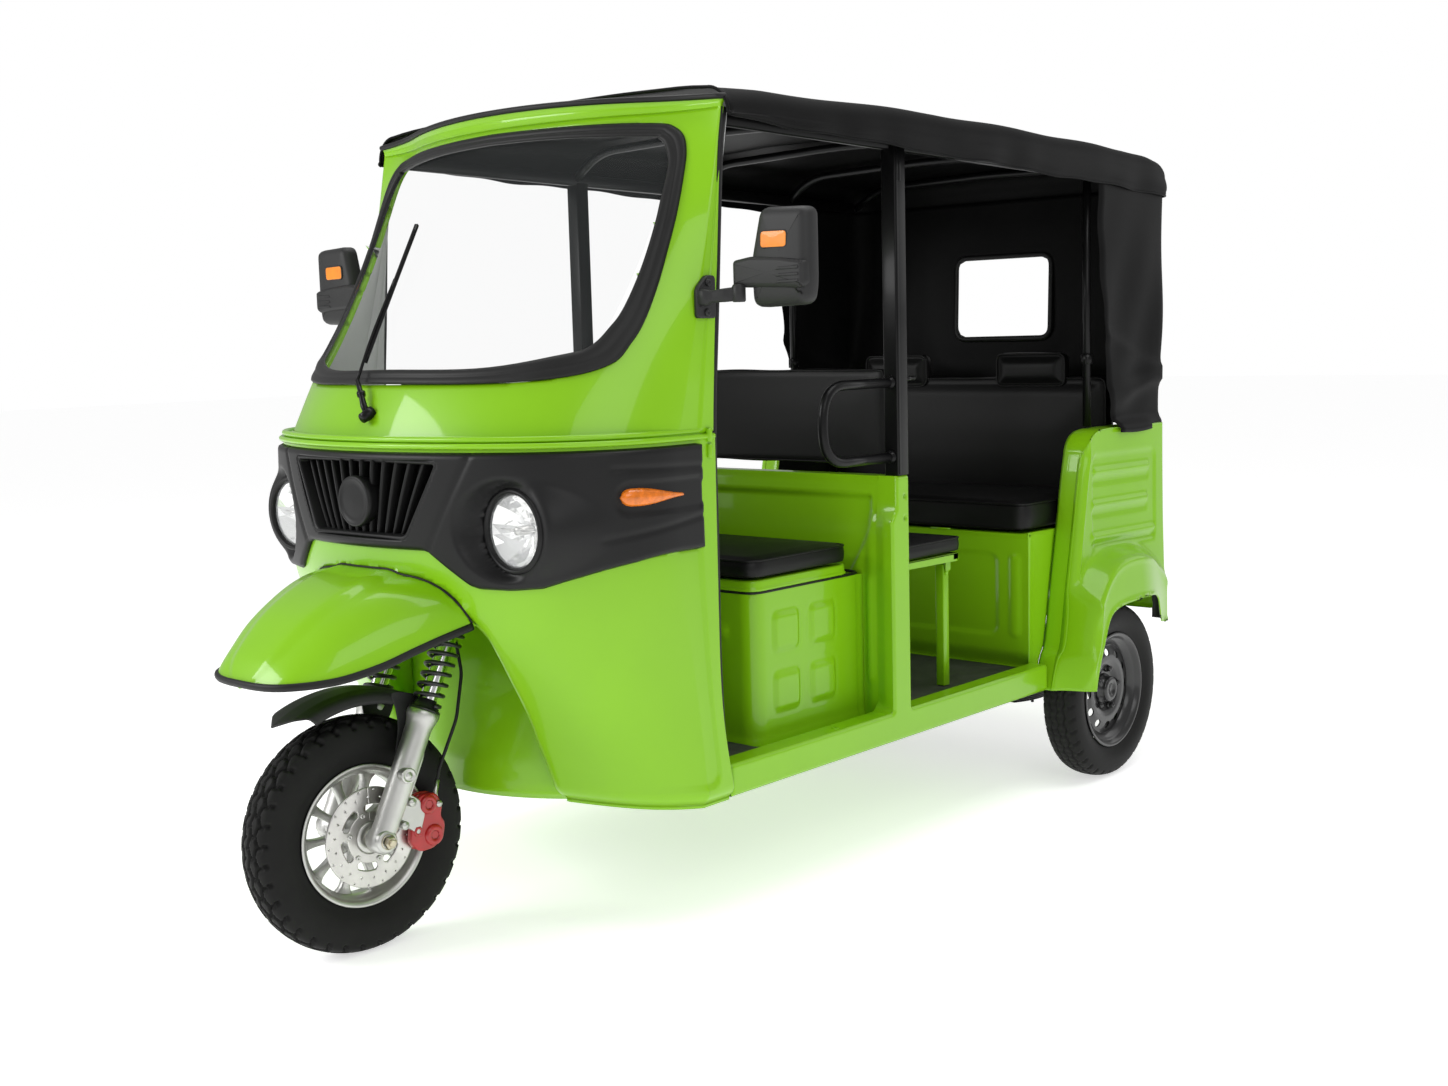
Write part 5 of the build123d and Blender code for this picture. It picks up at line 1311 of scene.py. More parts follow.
points, faces = join_parts(parts)
new_piece("caliper_casting", steered(points), faces, "red_caliper", "steering", replaces=("brake_caliper",))
start = np.array([0.077, 0.168, 0.332])
way = np.array([4, 14, 60.0])
way /= np.linalg.norm(way)
steel = [bar([start - way * 0.014 + (0.012, 0, -0.004), start + way * 0.004, start + way * 0.036],
             [0.0045, 0.0052, 0.0052], 14),
         turned([(-0.004, 0.0085), (0.008, 0.0085), (0.0095, 0.007), (0.0095, 0.0002)],
                start - way * 0.016 + (0.012, 0.002, -0.002), (1, 0, 0), 6, False)]
bracket = round_outline([(0.036, 0.324), (0.070, 0.286), (0.100, 0.262), (0.112, 0.250), (0.130, 0.300), (0.118, 0.334),
                         (0.080, 0.362), (0.066, 0.374)], 0.01)
points, faces = join_parts(steel)
new_piece("hose_end", steered(points), faces, "disc_steel", "steering", slot="cast_alloy")
plate = stacked(bracket, soft_edges(0.0785, 0.0915, 0.002), "yz")
new_piece("caliper_bracket", steered(plate[0]), plate[1], "cast_alloy", "steering", slot="cast_alloy")
print("caliper", len(parts), "parts")

# %% Front mudguard


def guard_skin(u, w):
    """u runs from the pointed front, 0, to the back, 1; w across. Radius and width follow a crowned section whose
    sides turn down; the front edge reaches further in the middle."""
    first = np.radians(-23 - 11 * (1 - np.abs(w)))
    turn = first + (np.radians(33) - first) * u
    a = np.abs(w)
    x = np.sign(w) * np.interp(a, [0, 0.5, 0.78, 0.86, 0.92, 1], [0, 0.045, 0.066, 0.0705, 0.0725, 0.0735])
    r = np.interp(a, [0, 0.5, 0.78, 0.86, 0.92, 1], [0.334, 0.3315, 0.3255, 0.321, 0.314, 0.300])
    return np.stack([x, r * np.sin(turn), r * np.cos(turn)], -1) + HUB


u_grid, w_grid = np.meshgrid(np.linspace(0, 1, 61), np.linspace(-1, 1, 45))
guard_points = guard_skin(u_grid, w_grid).reshape(-1, 3)
guard_parts = [(guard_points, [tuple(f) for f in grid_faces(45, 61)])]
guard = new_piece("front_mudguard_shell", steered(guard_points), grid_faces(45, 61), "black_plastic", "steering",
                  replaces=("front_mudguard",))
thicken(guard, 0.003, 1.0)
aprons = []
for side in (-1, 1):
    outline = round_outline([(-0.010, 0.335), (-0.085, 0.318), (-0.055, 0.292), (-0.028, 0.25), (-0.014, 0.185),
                             (0.012, 0.170), (0.03, 0.2), (0.035, 0.32)], 0.03, 8)
    y = outline[:, 0] * BACK[1] + outline[:, 1] * STEM[1]
    z = outline[:, 0] * BACK[2] + outline[:, 1] * STEM[2] + 0.27
    aprons.append(stacked(np.stack([y, z], -1), soft_edges(side * 0.0725 - 0.002, side * 0.0725 + 0.002, 0.001), "yz"))
points, faces = join_parts(aprons)
new_piece("mudguard_stays", steered(points), faces, "black_plastic", "steering", slot="black_plastic")
print("mudguard ready")

# %% [markdown]
# ## Canopy
# One sheet of vinyl cloth covers the bows. Its plan outline is a rectangle with round rear corners and an open
# front. Lines run from the hem up the side, over the shoulder and on to the ridge, so the whole cover is one grid.
# A second sheet hangs behind it as side flaps and back curtain.

# %% Canopy outline and heights
HALF, REAR, SHOULDER = 0.6195, 2.765, 0.06
BOWS = [0.70, 1.30, 1.82, 2.30, 2.685]


def plan_outline(s, inset=0.0, front=0.635, corner=0.075):
    """The outline at s: 0 to 1 down the left side, 1 to 2 round its rear corner, 2 to 3 over the back, 3 to 4 the
    other corner, 4 to 5 up the right side. Gives place and outward direction."""
    half, rear = HALF - inset, REAR - inset
    r = corner - inset * 0.5
    mirror = np.where(s > 2.5, -1.0, 1.0)
    t = np.where(s > 2.5, 5 - s, s)
    a = np.clip(t - 1, 0, 1) * np.pi / 2
    x = np.where(t < 1, half, np.where(t < 2, half - r + r * np.cos(a), (half - r) * (1 - np.clip(t - 2, 0, 0.5) * 2)))
    y = np.where(t < 1, front + (rear - r - front) * np.clip(t, 0, 1), np.where(t < 2, rear - r + r * np.sin(a), rear))
    nx = np.where(t < 1, 1.0, np.where(t < 2, np.cos(a), 0.0))
    ny = np.where(t < 1, 0.0, np.where(t < 2, np.sin(a), 1.0))
    return x * mirror, y, nx * mirror, ny


def ridge(x, y):
    """Height of the cover: the ridge line, less the crown's drop to the sides, less a slight sag between bows."""
    line = 1.944 - np.interp(y, [0.6, 0.65, 0.8, 1.1, 1.5, 2.0, 2.5, 2.64, 2.72, 2.77],
                             [0.018, 0.014, 0.006, 0.002, 0.0, 0.009, 0.024, 0.035, 0.050, 0.068])
    gap = np.interp(y, BOWS, np.arange(len(BOWS)))
    sag = 0.005 * np.sin(np.pi * (gap - np.floor(gap))) ** 2 * (y > 0.7)
    return line - 0.012 * np.clip(np.abs(x) / 0.552, 0, 1.1) ** 2 - sag


def folds(along, z, seed):
    """Soft slanting folds: a few waves whose strength comes and goes along the cloth."""
    a = np.sin(19 * along + 24 * z + seed) * np.sin(3.1 * along + seed * 1.7) ** 2
    b = np.sin(33 * along - 17 * z + 2.1 * seed) * np.sin(4.3 * along + 0.6 + seed) ** 2
    return 0.6 * a + 0.4 * b


print("ridge heights", ridge(np.zeros(4), np.array([0.65, 1.5, 2.5, 2.7])).round(3))

# %% Canopy cover


def cover(s, w):
    """w from 0 to 1 climbs from the hem to the shoulder's start, 1 to 2 rounds the shoulder, 2 to 3 crosses to the
    ridge. The rear part of the outline meets the ridge in a fan."""
    x, y, nx, ny = plan_outline(s)
    spine_y = np.clip(y, 0.635, 2.25)
    shoulder_x, shoulder_y = x - nx * SHOULDER, y - ny * SHOULDER
    top = ridge(shoulder_x, shoulder_y) - 0.004
    hem = np.interp(y, [0.63, 0.9, 1.25, 1.8, 2.26, 2.6, 2.77], [1.847, 1.834, 1.822, 1.803, 1.787, 1.774, 1.768])
    hem = hem + 0.0025 * np.sin(11 * y + 2 * x) + 0.0018 * np.sin(27 * y)
    climb = np.clip(w, 0, 1)
    z = hem + (top - SHOULDER - hem) * climb
    bulge = 0.005 * np.sin(np.pi * climb) + 0.0045 * folds(y + 0.6 * x, z, 1.0) * (1 - 0.4 * climb)
    stitch = -0.0018 * np.exp(-((climb * (top - SHOULDER - hem) - 0.014) / 0.0022) ** 2)
    out = bulge * smoothstep((2 - w) / 1.2) + stitch * (w < 1)
    angle = np.clip(w - 1, 0, 1) * np.pi / 2
    offset = SHOULDER * (1 - np.cos(angle))
    z = np.where(w > 1, top - SHOULDER + SHOULDER * np.sin(angle), z)
    px, py = x - nx * (offset - out), y - ny * (offset - out)
    share = np.clip(w - 2, 0, 1)
    over = w > 2
    px = np.where(over, shoulder_x * (1 - share), px)
    py = np.where(over, shoulder_y + (spine_y - shoulder_y) * share, py)
    creases = 0.0012 * folds(py, px * 0.8, 3.0) * smoothstep(share * 6)
    z = np.where(over, ridge(px, py) - 0.004 * smoothstep(1 - share * 8) + creases, z)
    return np.stack([px, py, z], -1)


s_line = np.concatenate([np.linspace(0, 1, 96)[:-1], np.linspace(1, 2, 12)[:-1], np.linspace(2, 3, 50)[:-1],
                         np.linspace(3, 4, 12)[:-1], np.linspace(4, 5, 96)])
w_line = np.concatenate([np.linspace(0, 1, 14)[:-1], np.linspace(1, 2, 10)[:-1], np.linspace(2, 3, 18)])
s_grid, w_grid = np.meshgrid(s_line, w_line)
CLOTH_THICKNESS = 0.0016
cover_points = cover(s_grid, w_grid)
canopy_cover = new_piece("canopy_cover", cover_points, grid_faces(len(w_line), len(s_line)), "canopy_cloth",
                         replaces=("canopy",))
mesh_tool = bmesh.new()
mesh_tool.from_mesh(canopy_cover.data)
bmesh.ops.remove_doubles(mesh_tool, verts=mesh_tool.verts, dist=0.0004)
bmesh.ops.recalc_face_normals(mesh_tool, faces=mesh_tool.faces)
mesh_tool.to_mesh(canopy_cover.data)
cover_area = sum(f.calc_area() for f in mesh_tool.faces)
mesh_tool.free()
thicken(canopy_cover, CLOTH_THICKNESS, -1.0)
piping = np.concatenate([cover_points[0]])
hem_cord = new_piece("canopy_hem", *bar(piping + (0, 0, 0.001), 0.0028, 7), "canopy_cloth", slot="canopy_cloth")
front_line = np.concatenate([cover(np.full(40, 0.0), np.linspace(0, 3, 40)),
                             cover(np.full(40, 5.0), np.linspace(3, 0, 40))[1:]])
front_cord = new_piece("canopy_front_hem", *bar(front_line + (0, -0.001, 0.001), 0.0038, 8), "canopy_cloth",
                       slot="canopy_cloth")
print("cover area", round(cover_area, 3))

# %% Side flaps and back curtain


def curtain(s, t):
    """The hanging sheet: s along the outline from one flap's front edge round the back to the other's, t from the
    bottom, 0, to the top, 1. It leans in towards the bottom at the back and carries long soft folds."""
    x, y, nx, ny = plan_outline(s, 0.006, 0.635, 0.075)
    low = 1.046 + 0.012 * smoothstep((y - 2.52) / 0.12) + 0.002 * np.sin(23 * y + 9 * x)
    z = low + (1.80 - low) * t
    drop = np.clip(1 - t, 0, 1)
    front_edge = 2.296 + 0.075 * drop ** 1.7 + 0.004 * np.sin(9 * t * np.pi)
    front_y = 2.296
    on_side = np.abs(nx) > 0.999
    y = np.where(on_side, front_edge + (y - front_y) * (2.69 - front_edge) / (2.69 - front_y), y)
    lean = 0.030 * drop ** 1.3 * ny
    wave = (0.007 * np.sin(13 * y + 5.2 * t + 2.2 * x) + 0.005 * np.sin(31 * (y + 0.5 * x) - 9 * t)) * np.sin(
        np.pi * np.clip(t * 0.9 + 0.05, 0, 1)) * (0.35 + 0.65 * drop)
    slack = 0.013 * np.exp(-((t - 0.12 - 0.25 * (y - 2.3)) / 0.035) ** 2) * np.abs(nx)
    slack = slack + 0.008 * np.exp(-((t - 0.36 + 0.5 * (y - 2.4)) / 0.03) ** 2) * np.abs(nx)
    hem = -0.0015 * np.exp(-((drop * (1.80 - low) - (1.80 - low) + 0.02) / 0.003) ** 2)
    over = 0.036 * smoothstep((1.092 - z) / 0.03) * smoothstep((y - 2.30) / 0.05) * np.abs(nx) ** 3 \
        * (1 - 0.72 * smoothstep((y - 2.56) / 0.11))
    out = np.minimum(wave + slack, 0.010) * (1 - smoothstep((1.10 - z) / 0.03)) + hem - lean + over
    back_share = np.clip(ny, 0, 1)
    flat = 1 - 0.75 * back_share * inside_window(x, z)
    return np.stack([x + nx * out * flat, y + ny * (out * flat), z], -1)


def inside_window(x, z):
    """1 near the rear window, fading to 0 away from it."""
    return smoothstep(1 - np.maximum(-inside_box(x, z, -0.182, 0.182, 1.34, 1.61, 0.04), 0) / 0.12)


def curtain_kept(points):
    return np.where(points[..., 1] > 2.6, -inside_box(points[..., 0], points[..., 2], -0.182, 0.182, 1.34, 1.61, 0.04),
                    1.0)


s_front = (2.296 - 0.635) / (REAR - 0.006 - 0.072 - 0.635)
curtain_mesh = trimmed(curtain, np.linspace(s_front, 5 - s_front, 170), np.linspace(0, 1, 58), curtain_kept)
canopy_curtain = new_piece("canopy_curtain", *curtain_mesh, "canopy_cloth", slot="canopy_cloth")
mesh_tool = bmesh.new()
mesh_tool.from_mesh(canopy_curtain.data)
bmesh.ops.recalc_face_normals(mesh_tool, faces=mesh_tool.faces)
mesh_tool.to_mesh(canopy_curtain.data)
curtain_area = sum(f.calc_area() for f in mesh_tool.faces)
mesh_tool.free()
thicken(canopy_curtain, CLOTH_THICKNESS, -1.0)
frame_line = round_outline([(-0.186, 1.336), (0.186, 1.336), (0.186, 1.614), (-0.186, 1.614)], 0.04, 8)
frame_y = REAR - 0.006 - 0.030 * (1 - np.interp(frame_line[:, 1], [1.06, 1.8], [0, 1])) ** 1.3 + 0.001
ring = np.array([(-0.009, -0.002), (-0.006, 0.003), (0.006, 0.003), (0.009, -0.002), (0.006, -0.005), (-0.006, -0.005)])
frame_path = np.stack([frame_line[:, 0], frame_y, frame_line[:, 1]], -1)
rings = carried_rings(frame_path, ring, closed=True)
window_binding = new_piece("rear_window_binding", rings, grid_faces(len(frame_path), 6, ring=True, loop=True),
                           "black_rubber",
          slot="canopy_cloth")
print("curtain area", round(curtain_area, 3))

# %% [markdown]
# ## Rear corners
# A corner panel is a height field over the side view. Its width grows in a quarter round from the door edge, and a
# signed distance to the arch's ridge line blends the plain side into the flare over the wheel.

# %% Distance to a line


def line_distance(a, b, path):
    """Distance from each place (a, b) to the nearest stretch of a path."""
    path = np.array(path, float)
    least = np.full(np.shape(a), 9.0)
    for p, q in zip(path, path[1:]):
        way = q - p
        share = np.clip(((a - p[0]) * way[0] + (b - p[1]) * way[1]) / np.dot(way, way), 0, 1)
        least = np.minimum(least, np.hypot(a - p[0] - share * way[0], b - p[1] - share * way[1]))
    return least


DOOR_LINE = smooth_path([(2.033, 0.309), (2.064, 0.395), (2.091, 0.444), (2.122, 0.600), (2.159, 0.778),
                         (2.189, 0.927), (2.205, 0.990)], 60)
RIDGE_LINE = smooth_path([(2.058, 0.20), (2.066, 0.33), (2.083, 0.45), (2.118, 0.562), (2.186, 0.640), (2.269, 0.683),
                          (2.381, 0.693), (2.497, 0.676), (2.60, 0.625), (2.69, 0.56), (2.80, 0.47)], 90)
ARCH = smooth_path([(2.095, 0.300), (2.111, 0.354), (2.157, 0.460), (2.184, 0.512), (2.225, 0.534), (2.290, 0.543),
                    (2.400, 0.546), (2.490, 0.542), (2.532, 0.524), (2.556, 0.486), (2.575, 0.452), (2.60, 0.440),
                    (2.70, 0.434)], 110)


def rear_line(z):
    """Where the side turns into the back, in Y."""
    return np.interp(z, [0.309, 0.45, 0.62, 0.75, 1.064], [2.668, 2.678, 2.672, 2.666, 2.662])


# %% Rear quarters
def quarter_width(y, z):
    """X of the corner's skin in the side view, pressings included."""
    plain = 0.628 + 0.020 * smoothstep((y - 2.20) / 0.45) + 0.004 * smoothstep((1.0 - z) / 0.5)
    flare = 0.7135 - 0.055 * smoothstep((y - 2.40) / 0.30) - 0.010 * smoothstep((z - 0.52) / 0.16)
    above = line_distance(y, z, RIDGE_LINE) * np.where(z > np.interp(y, RIDGE_LINE[:, 0], RIDGE_LINE[:, 1]), 1.0, -1.0)
    share = smoothstep((0.020 - above) / 0.050)
    x = plain + (flare - plain) * share + 0.004 * np.exp(-((above + 0.020) / 0.014) ** 2)
    field = smoothstep(inside_box(y, z, 2.232, 2.600, 0.705, 0.990, 0.03) / 0.009) * smoothstep(above / 0.02)
    x = x - 0.0055 * field
    for rib_z, start, end in ((0.936, 2.245, 2.560), (0.838, 2.232, 2.550), (0.740, 2.225, 2.590)):
        along = smoothstep((y - start + 0.010) / 0.016) * smoothstep((end + 0.010 - y) / 0.016)
        x = x + 0.0088 * along * np.exp(-((z - rib_z) / 0.0095) ** 2)
        x = x - 0.0030 * along * np.exp(-((z - rib_z + 0.028) / 0.010) ** 2)
    front = y - np.interp(z, DOOR_LINE[:, 1], DOOR_LINE[:, 0])
    wide = 0.020 + 0.020 * smoothstep((0.62 - z) / 0.15)
    rise = np.sqrt(np.clip(1 - (1 - np.clip(front / wide, 0, 1)) ** 2, 0, 1))
    crease = 0.0036 * np.exp(-((front - wide * 0.95) / 0.0055) ** 2) * smoothstep((1.02 - z) / 0.05)
    back = np.clip((rear_line(z) - y) / 0.022, 0, 1)
    fall = np.sqrt(np.clip(1 - (1 - back) ** 2, 0, 1))
    lip = 0.0045 * np.exp(-(line_distance(y, z, ARCH) / 0.007) ** 2)
    return 0.600 + (x + lip - 0.600) * np.minimum(rise, 1.0) * fall + crease * fall


def quarter_skin(u, z):
    """u from 0 at the door edge to 1 at the back, crowded near both ends."""
    start = np.interp(z, DOOR_LINE[:, 1], DOOR_LINE[:, 0])
    share = 0.5 - 0.5 * np.cos(np.pi * np.clip(u, 0, 1))
    y = start + (rear_line(z) - start) * (0.62 * share + 0.38 * u)
    return np.stack([quarter_width(y, z), y, z], -1)


CORNER = smooth_path([(2.2045, 0.985), (2.2085, 1.006), (2.222, 1.030), (2.245, 1.049), (2.279, 1.0605),
                      (2.33, 1.064)], 30)


def quarter_kept(points):
    """Above the arch, and inside the rounded top corner."""
    y, z = points[..., 1], points[..., 2]
    over_arch = line_distance(y, z, ARCH) * np.where(z > np.interp(y, ARCH[:, 0], ARCH[:, 1]), 1.0, -1.0)
    over_arch = np.where(y < 2.096, 0.02 + 0 * y, over_arch)
    corner = line_distance(y, z, CORNER) * np.where(z < np.interp(y, CORNER[:, 0], CORNER[:, 1]), 1.0, -1.0)
    return np.minimum(over_arch, np.where((z > 0.97) & (y < 2.33), corner, 0.05))


quarter = trimmed(quarter_skin, np.linspace(0, 1, 116), np.linspace(0.309, 1.064, 98), quarter_kept)
door_edge = np.concatenate([DOOR_LINE[:-3], CORNER[2:], [(2.45, 1.064), (2.56, 1.064), (2.655, 1.064)]])
edge_x = quarter_width(door_edge[:, 0] + 0.001, np.minimum(door_edge[:, 1], 1.063))
lean = np.gradient(door_edge, axis=0)
lean = lean / np.linalg.norm(lean, axis=1)[:, None]
inward = np.stack([lean[:, 1], -lean[:, 0]], -1)
jamb = []
for share, depth in ((0.0, 0.0), (0.06, 0.0006), (0.2, 0.001), (0.5, 0.0), (0.85, 0.0), (1.0, 0.003)):
    jamb.append(np.stack([edge_x + (0.5450 - edge_x) * share, door_edge[:, 0] + inward[:, 0] * depth,
                          door_edge[:, 1] + inward[:, 1] * depth], -1))
jamb = np.array(jamb)
cheek_z = door_edge[door_edge[:, 1] < 0.775]
cheek = []
for share in np.linspace(0, 1, 12):
    y = cheek_z[:, 0] + 0.002 + (2.0215 - cheek_z[:, 0] - 0.002) * share
    cheek.append(np.stack([0.5450 - 0.0085 * smoothstep(share * 1.2) + 0 * y, y, cheek_z[:, 1]], -1))
inner = join_parts([(jamb.reshape(-1, 3), [tuple(f) for f in grid_faces(len(jamb), jamb.shape[1])]),
                    (np.array(cheek).reshape(-1, 3), [tuple(f) for f in grid_faces(12, len(cheek_z))])])
for name, side in (("left", 1), ("right", -1)):
    shell, flange_part = (quarter, inner) if side > 0 else (mirrored(quarter), mirrored(inner))
    piece = new_piece(f"quarter_skin_{name}", *shell, "green_sheet", replaces=(f"rear_quarter_{name}",))
    piece.data.materials.append(finishes["black_trim"])
    thicken(piece, 0.004).modifiers["wall"].material_offset = 1
    flange = new_piece(f"quarter_jamb_{name}", *flange_part, "green_sheet", slot="green_sheet")
    thicken(flange, 0.003, -1.0)
print("quarter", len(quarter[1]), "faces")

# %% [markdown]
# ## Cabin
# Pressed panels are height fields: a flat grid moved out of its plane by a relief, with a quarter round along the
# trimmed edge. Cushions are closed forms over their plan outline with a welted seam.

# %% Pressed panels and cushions


def relief_panel(place, box, counts, relief=None, keep=None, edge=0.006):
    """A pressed panel. place(a, b, out) gives points, relief(a, b) the pressing, keep(a, b) the distance inside.
    Within edge of the outline the skin turns away in a quarter round."""
    low_a, high_a, low_b, high_b = box

    def shape(a, b):
        out = relief(a, b) if relief else 0.0 * a
        if keep:
            d = np.clip(keep(a, b), 0, edge)
            out = out - (edge - np.sqrt(np.maximum(edge ** 2 - (edge - d) ** 2, 0)))
        return place(a, b, out)

    a, b = np.linspace(low_a, high_a, counts[0]), np.linspace(low_b, high_b, counts[1])
    if not keep:
        grid = np.meshgrid(a, b)
        return shape(*grid).reshape(-1, 3), [tuple(f) for f in grid_faces(len(b), len(a))]
    flat = lambda u, v: np.stack([u, v, 0 * u], -1)
    points, faces = trimmed(flat, a, b, lambda p: keep(p[..., 0], p[..., 1]))
    return shape(points[:, 0], points[:, 1]), faces


def bead(a, b, box, corner, wide, tall):
    """A raised field with a soft edge: its height over a rectangle with round corners."""
    return tall * smoothstep(inside_box(a, b, *box, corner) / wide)


def cushion(x0, x1, y0, y1, z0, z1, corner=0.035, edge=0.016, crown=0.008, seed=0.0, columns=150):
    """A stuffed pad: its side swells between two welts, the top is crowned and dips by the welt, and slow waves
    run over everything. Gives the closed form and the line of its upper welt."""
    outline = round_outline([(x0, y0), (x1, y0), (x1, y1), (x0, y1)], corner, 9)
    step = np.linalg.norm(np.roll(outline, -1, 0) - outline, axis=1)
    along = np.concatenate([[0], np.cumsum(step)])
    t = np.linspace(0, along[-1], columns, endpoint=False)
    closed = np.concatenate([outline, outline[:1]])
    line = np.stack([np.interp(t, along, closed[:, k]) for k in (0, 1)], -1)
    ahead = np.roll(line, -1, 0) - np.roll(line, 1, 0)
    normal = np.stack([ahead[:, 1], -ahead[:, 0]], 1)
    normal /= np.linalg.norm(normal, axis=1)[:, None]
    tall = z1 - z0
    levels = []
    for k in range(5):
        levels.append((z0, 0.5 * (1 - k / 5), "under"))
    for k in range(10):
        levels.append((z0 + edge * 0.5 + (tall - edge * 1.3) * k / 9, k / 9, "side"))
    for k in range(1, 20):
        levels.append((z1, k / 19, "over"))
    middle = np.array([(x0 + x1) / 2, (y0 + y1) / 2])
    half_size = np.array([(x1 - x0) / 2, (y1 - y0) / 2])
    rings = []
    for z, v, part in levels:
        if part == "under":
            place = middle + (line - normal * 0.010 - middle) * (1 - v * 1.9)
            height = np.full(columns, z)
        elif part == "side":
            swell = 0.0045 * np.sin(np.pi * v) - 0.0045 + 0.0016 * np.sin(21 * t + seed) * np.sin(np.pi * v)
            place = line + normal * swell[:, None]
            height = np.full(columns, z)
        else:
            share = 1 - v ** 1.25 * 0.985
            inner = middle + (line - normal * (0.0045 + edge * 0.35) - middle) * share
            d = np.min(half_size - np.abs(inner - middle), axis=1)
            rise = smoothstep(d / (edge * 2.2))
            wave = 0.0011 * np.sin(9 * inner[:, 0] + seed) * np.sin(14 * inner[:, 1] + 2 * seed)
            height = z1 - edge * 0.72 * (1 - rise) - crown * (1 - smoothstep(d / (half_size.min() * 0.9))) + wave
            place = inner
        rings.append(np.concatenate([place, height[:, None]], 1))
    points = np.array(rings)
    count = len(points)
    faces = [tuple(f) for f in grid_faces(count, columns, ring=True)]
    faces += [tuple(range(columns))[::-1], tuple((count - 1) * columns + k for k in range(columns))]
    welt_line = np.concatenate([line - normal * 0.004, np.full((columns, 1), z1 - edge * 0.80 + 0.0006)], 1)
    return (points.reshape(-1, 3), faces), welt_line


def pad(name, replaced, boxes, body="body", welt=0.0032):
    """One padded piece made of cushions, with its piping as a part of it."""
    parts = []
    for box, options in boxes:
        form, line = cushion(*box, **options)
        parts.append(form)
        if welt:
            parts.append(bar(line, welt, 7, closed=True))
    piece = new_piece(name, *join_parts(parts), "black_vinyl", body, replaces=(replaced,))
    return piece


print("panel tools ready")

# %% Driver's seat: box, lid and cushion


def box_wall(s, z, out):
    """The box's wall: s in metres from the middle of its front, round the corner and back along the side."""
    half, front, r = 0.480, 0.842, 0.045
    run = half - r
    turn = r * np.pi / 2
    a = np.clip((np.abs(s) - run) / turn, 0, 1) * np.pi / 2
    x = np.where(np.abs(s) < run, np.abs(s), run + r * np.sin(a))
    y = np.where(np.abs(s) < run, front, front + r * (1 - np.cos(a))) + np.maximum(np.abs(s) - run - turn, 0)
    return np.stack([(x + out * np.sin(a)) * np.sign(s + 1e-9), y - out * np.cos(a), z], -1)


BOX_SIDE = 0.435 + 0.045 * np.pi / 2          # s where the straight side starts, at y 0.887


def box_relief(s, z):
    side = np.abs(s) - BOX_SIDE + 0.887
    out = 0 * s
    for y in (0.915, 1.060):
        for low in (0.440, 0.590):
            out = out + bead(side, z, (y, y + 0.100, low, low + 0.098), 0.016, 0.007, 0.0062)
            out = out - 0.0018 * np.exp(-((inside_box(side, z, y, y + 0.1, low, low + 0.098,
                                                      0.016) + 0.004) / 0.004) ** 2)
    out = out + bead(s, z, (-0.305, 0.305, 0.415, 0.605), 0.022, 0.007, 0.0058)
    out = out + bead(s, z, (0.330, 0.402, 0.624, 0.664), 0.019, 0.012, 0.0062)
    out = out - 0.0022 * np.exp(-((side - 1.262) / 0.0022) ** 2)
    return out + 0.0035 * smoothstep((0.385 - z) / 0.02)


wall = relief_panel(box_wall, (-BOX_SIDE - 0.395, BOX_SIDE + 0.395, 0.3590, 0.741), (270, 44), box_relief)
new_piece("seat_box_wall", *wall, "green_sheet", replaces=("driver_seat_box",))
top_outline = round_outline([(-0.4785, 0.8435), (0.4785, 0.8435), (0.4785, 1.282), (-0.4785, 1.282)], 0.045)
new_piece("seat_box_deck", *stacked(top_outline, soft_edges(0.7300, 0.7418, 0.001, 2)), "green_sheet",
          slot="green_sheet")
gasket = np.concatenate([top_outline, np.full((len(top_outline), 1), 0.7445)], 1)
new_piece("seat_box_gasket", *bar(gasket, 0.0042, 8, closed=True), "black_rubber", slot="black_rubber")
lid_outline = round_outline([(-0.484, 0.838), (0.484, 0.838), (0.484, 1.231), (-0.484, 1.231)], 0.042)
lid_levels = [(0.7485, 0.004), (0.7480, 0.0015), (0.7495, 0.0), (0.7530, -0.0005), (0.7560, 0.0020), (0.7600, 0.0030),
              (0.7690, 0.0030), (0.7735, 0.0045), (0.7750, 0.0080)]
new_piece("seat_lid_tray", *stacked(lid_outline, lid_levels), "green_sheet", "driver_seat",
          replaces=("driver_seat_lid",))
pad("driver_cushion", "driver_seat_cushion",
    [((-0.490, 0.490, 0.828, 1.225, 0.7752, 0.8365), dict(corner=0.048, edge=0.017, crown=0.006, seed=0.7,
                                                          columns=150))], "driver_seat")
print("driver's seat ready")

# %% Side frames: sill and B-post


def side_place(y, z, out):
    return np.stack([0.5955 + out, y, z], -1)


def side_keep(y, z):
    """Sill and post in one outline, with a wide fillet between them."""
    sill = inside_box(y, z, 0.6195, 2.029, 0.310, 0.386, 0.004)
    front = np.interp(z, [0.386, 0.885, 0.915, 1.0], [1.262, 1.262, 1.283, 1.283])
    post = np.minimum(np.minimum(y - front, 1.338 - y), np.minimum(z - 0.33, 0.9995 - z))
    joined = np.maximum(sill, post)
    return joined + np.maximum(0.012 - np.abs(sill - post), 0) ** 2 / 0.048 * (z > 0.37)


def side_relief(y, z):
    hole = sum(-0.010 * smoothstep((0.0062 - np.hypot(y - 1.318, z - h)) / 0.002) for h in (0.946, 0.888))
    return hole - 0.0010 * np.exp(-((z - 0.398) / 0.004) ** 2) * 0


outer = relief_panel(side_place, (0.615, 2.033, 0.305, 1.004), (380, 150), side_relief, side_keep, 0.007)


def strip(lines):
    """A surface through several lines of the same count."""
    lines = np.array(lines)
    return lines.reshape(-1, 3), [tuple(f) for f in grid_faces(len(lines), lines.shape[1])]


def swept_wall(y, z, across):
    """A wall that follows a path in Y and Z inwards from the outer face: across lists (x, move in y, move in z)."""
    return strip([np.stack([np.full(len(y), x), y + dy, z + dz], -1) for x, dy, dz in across])


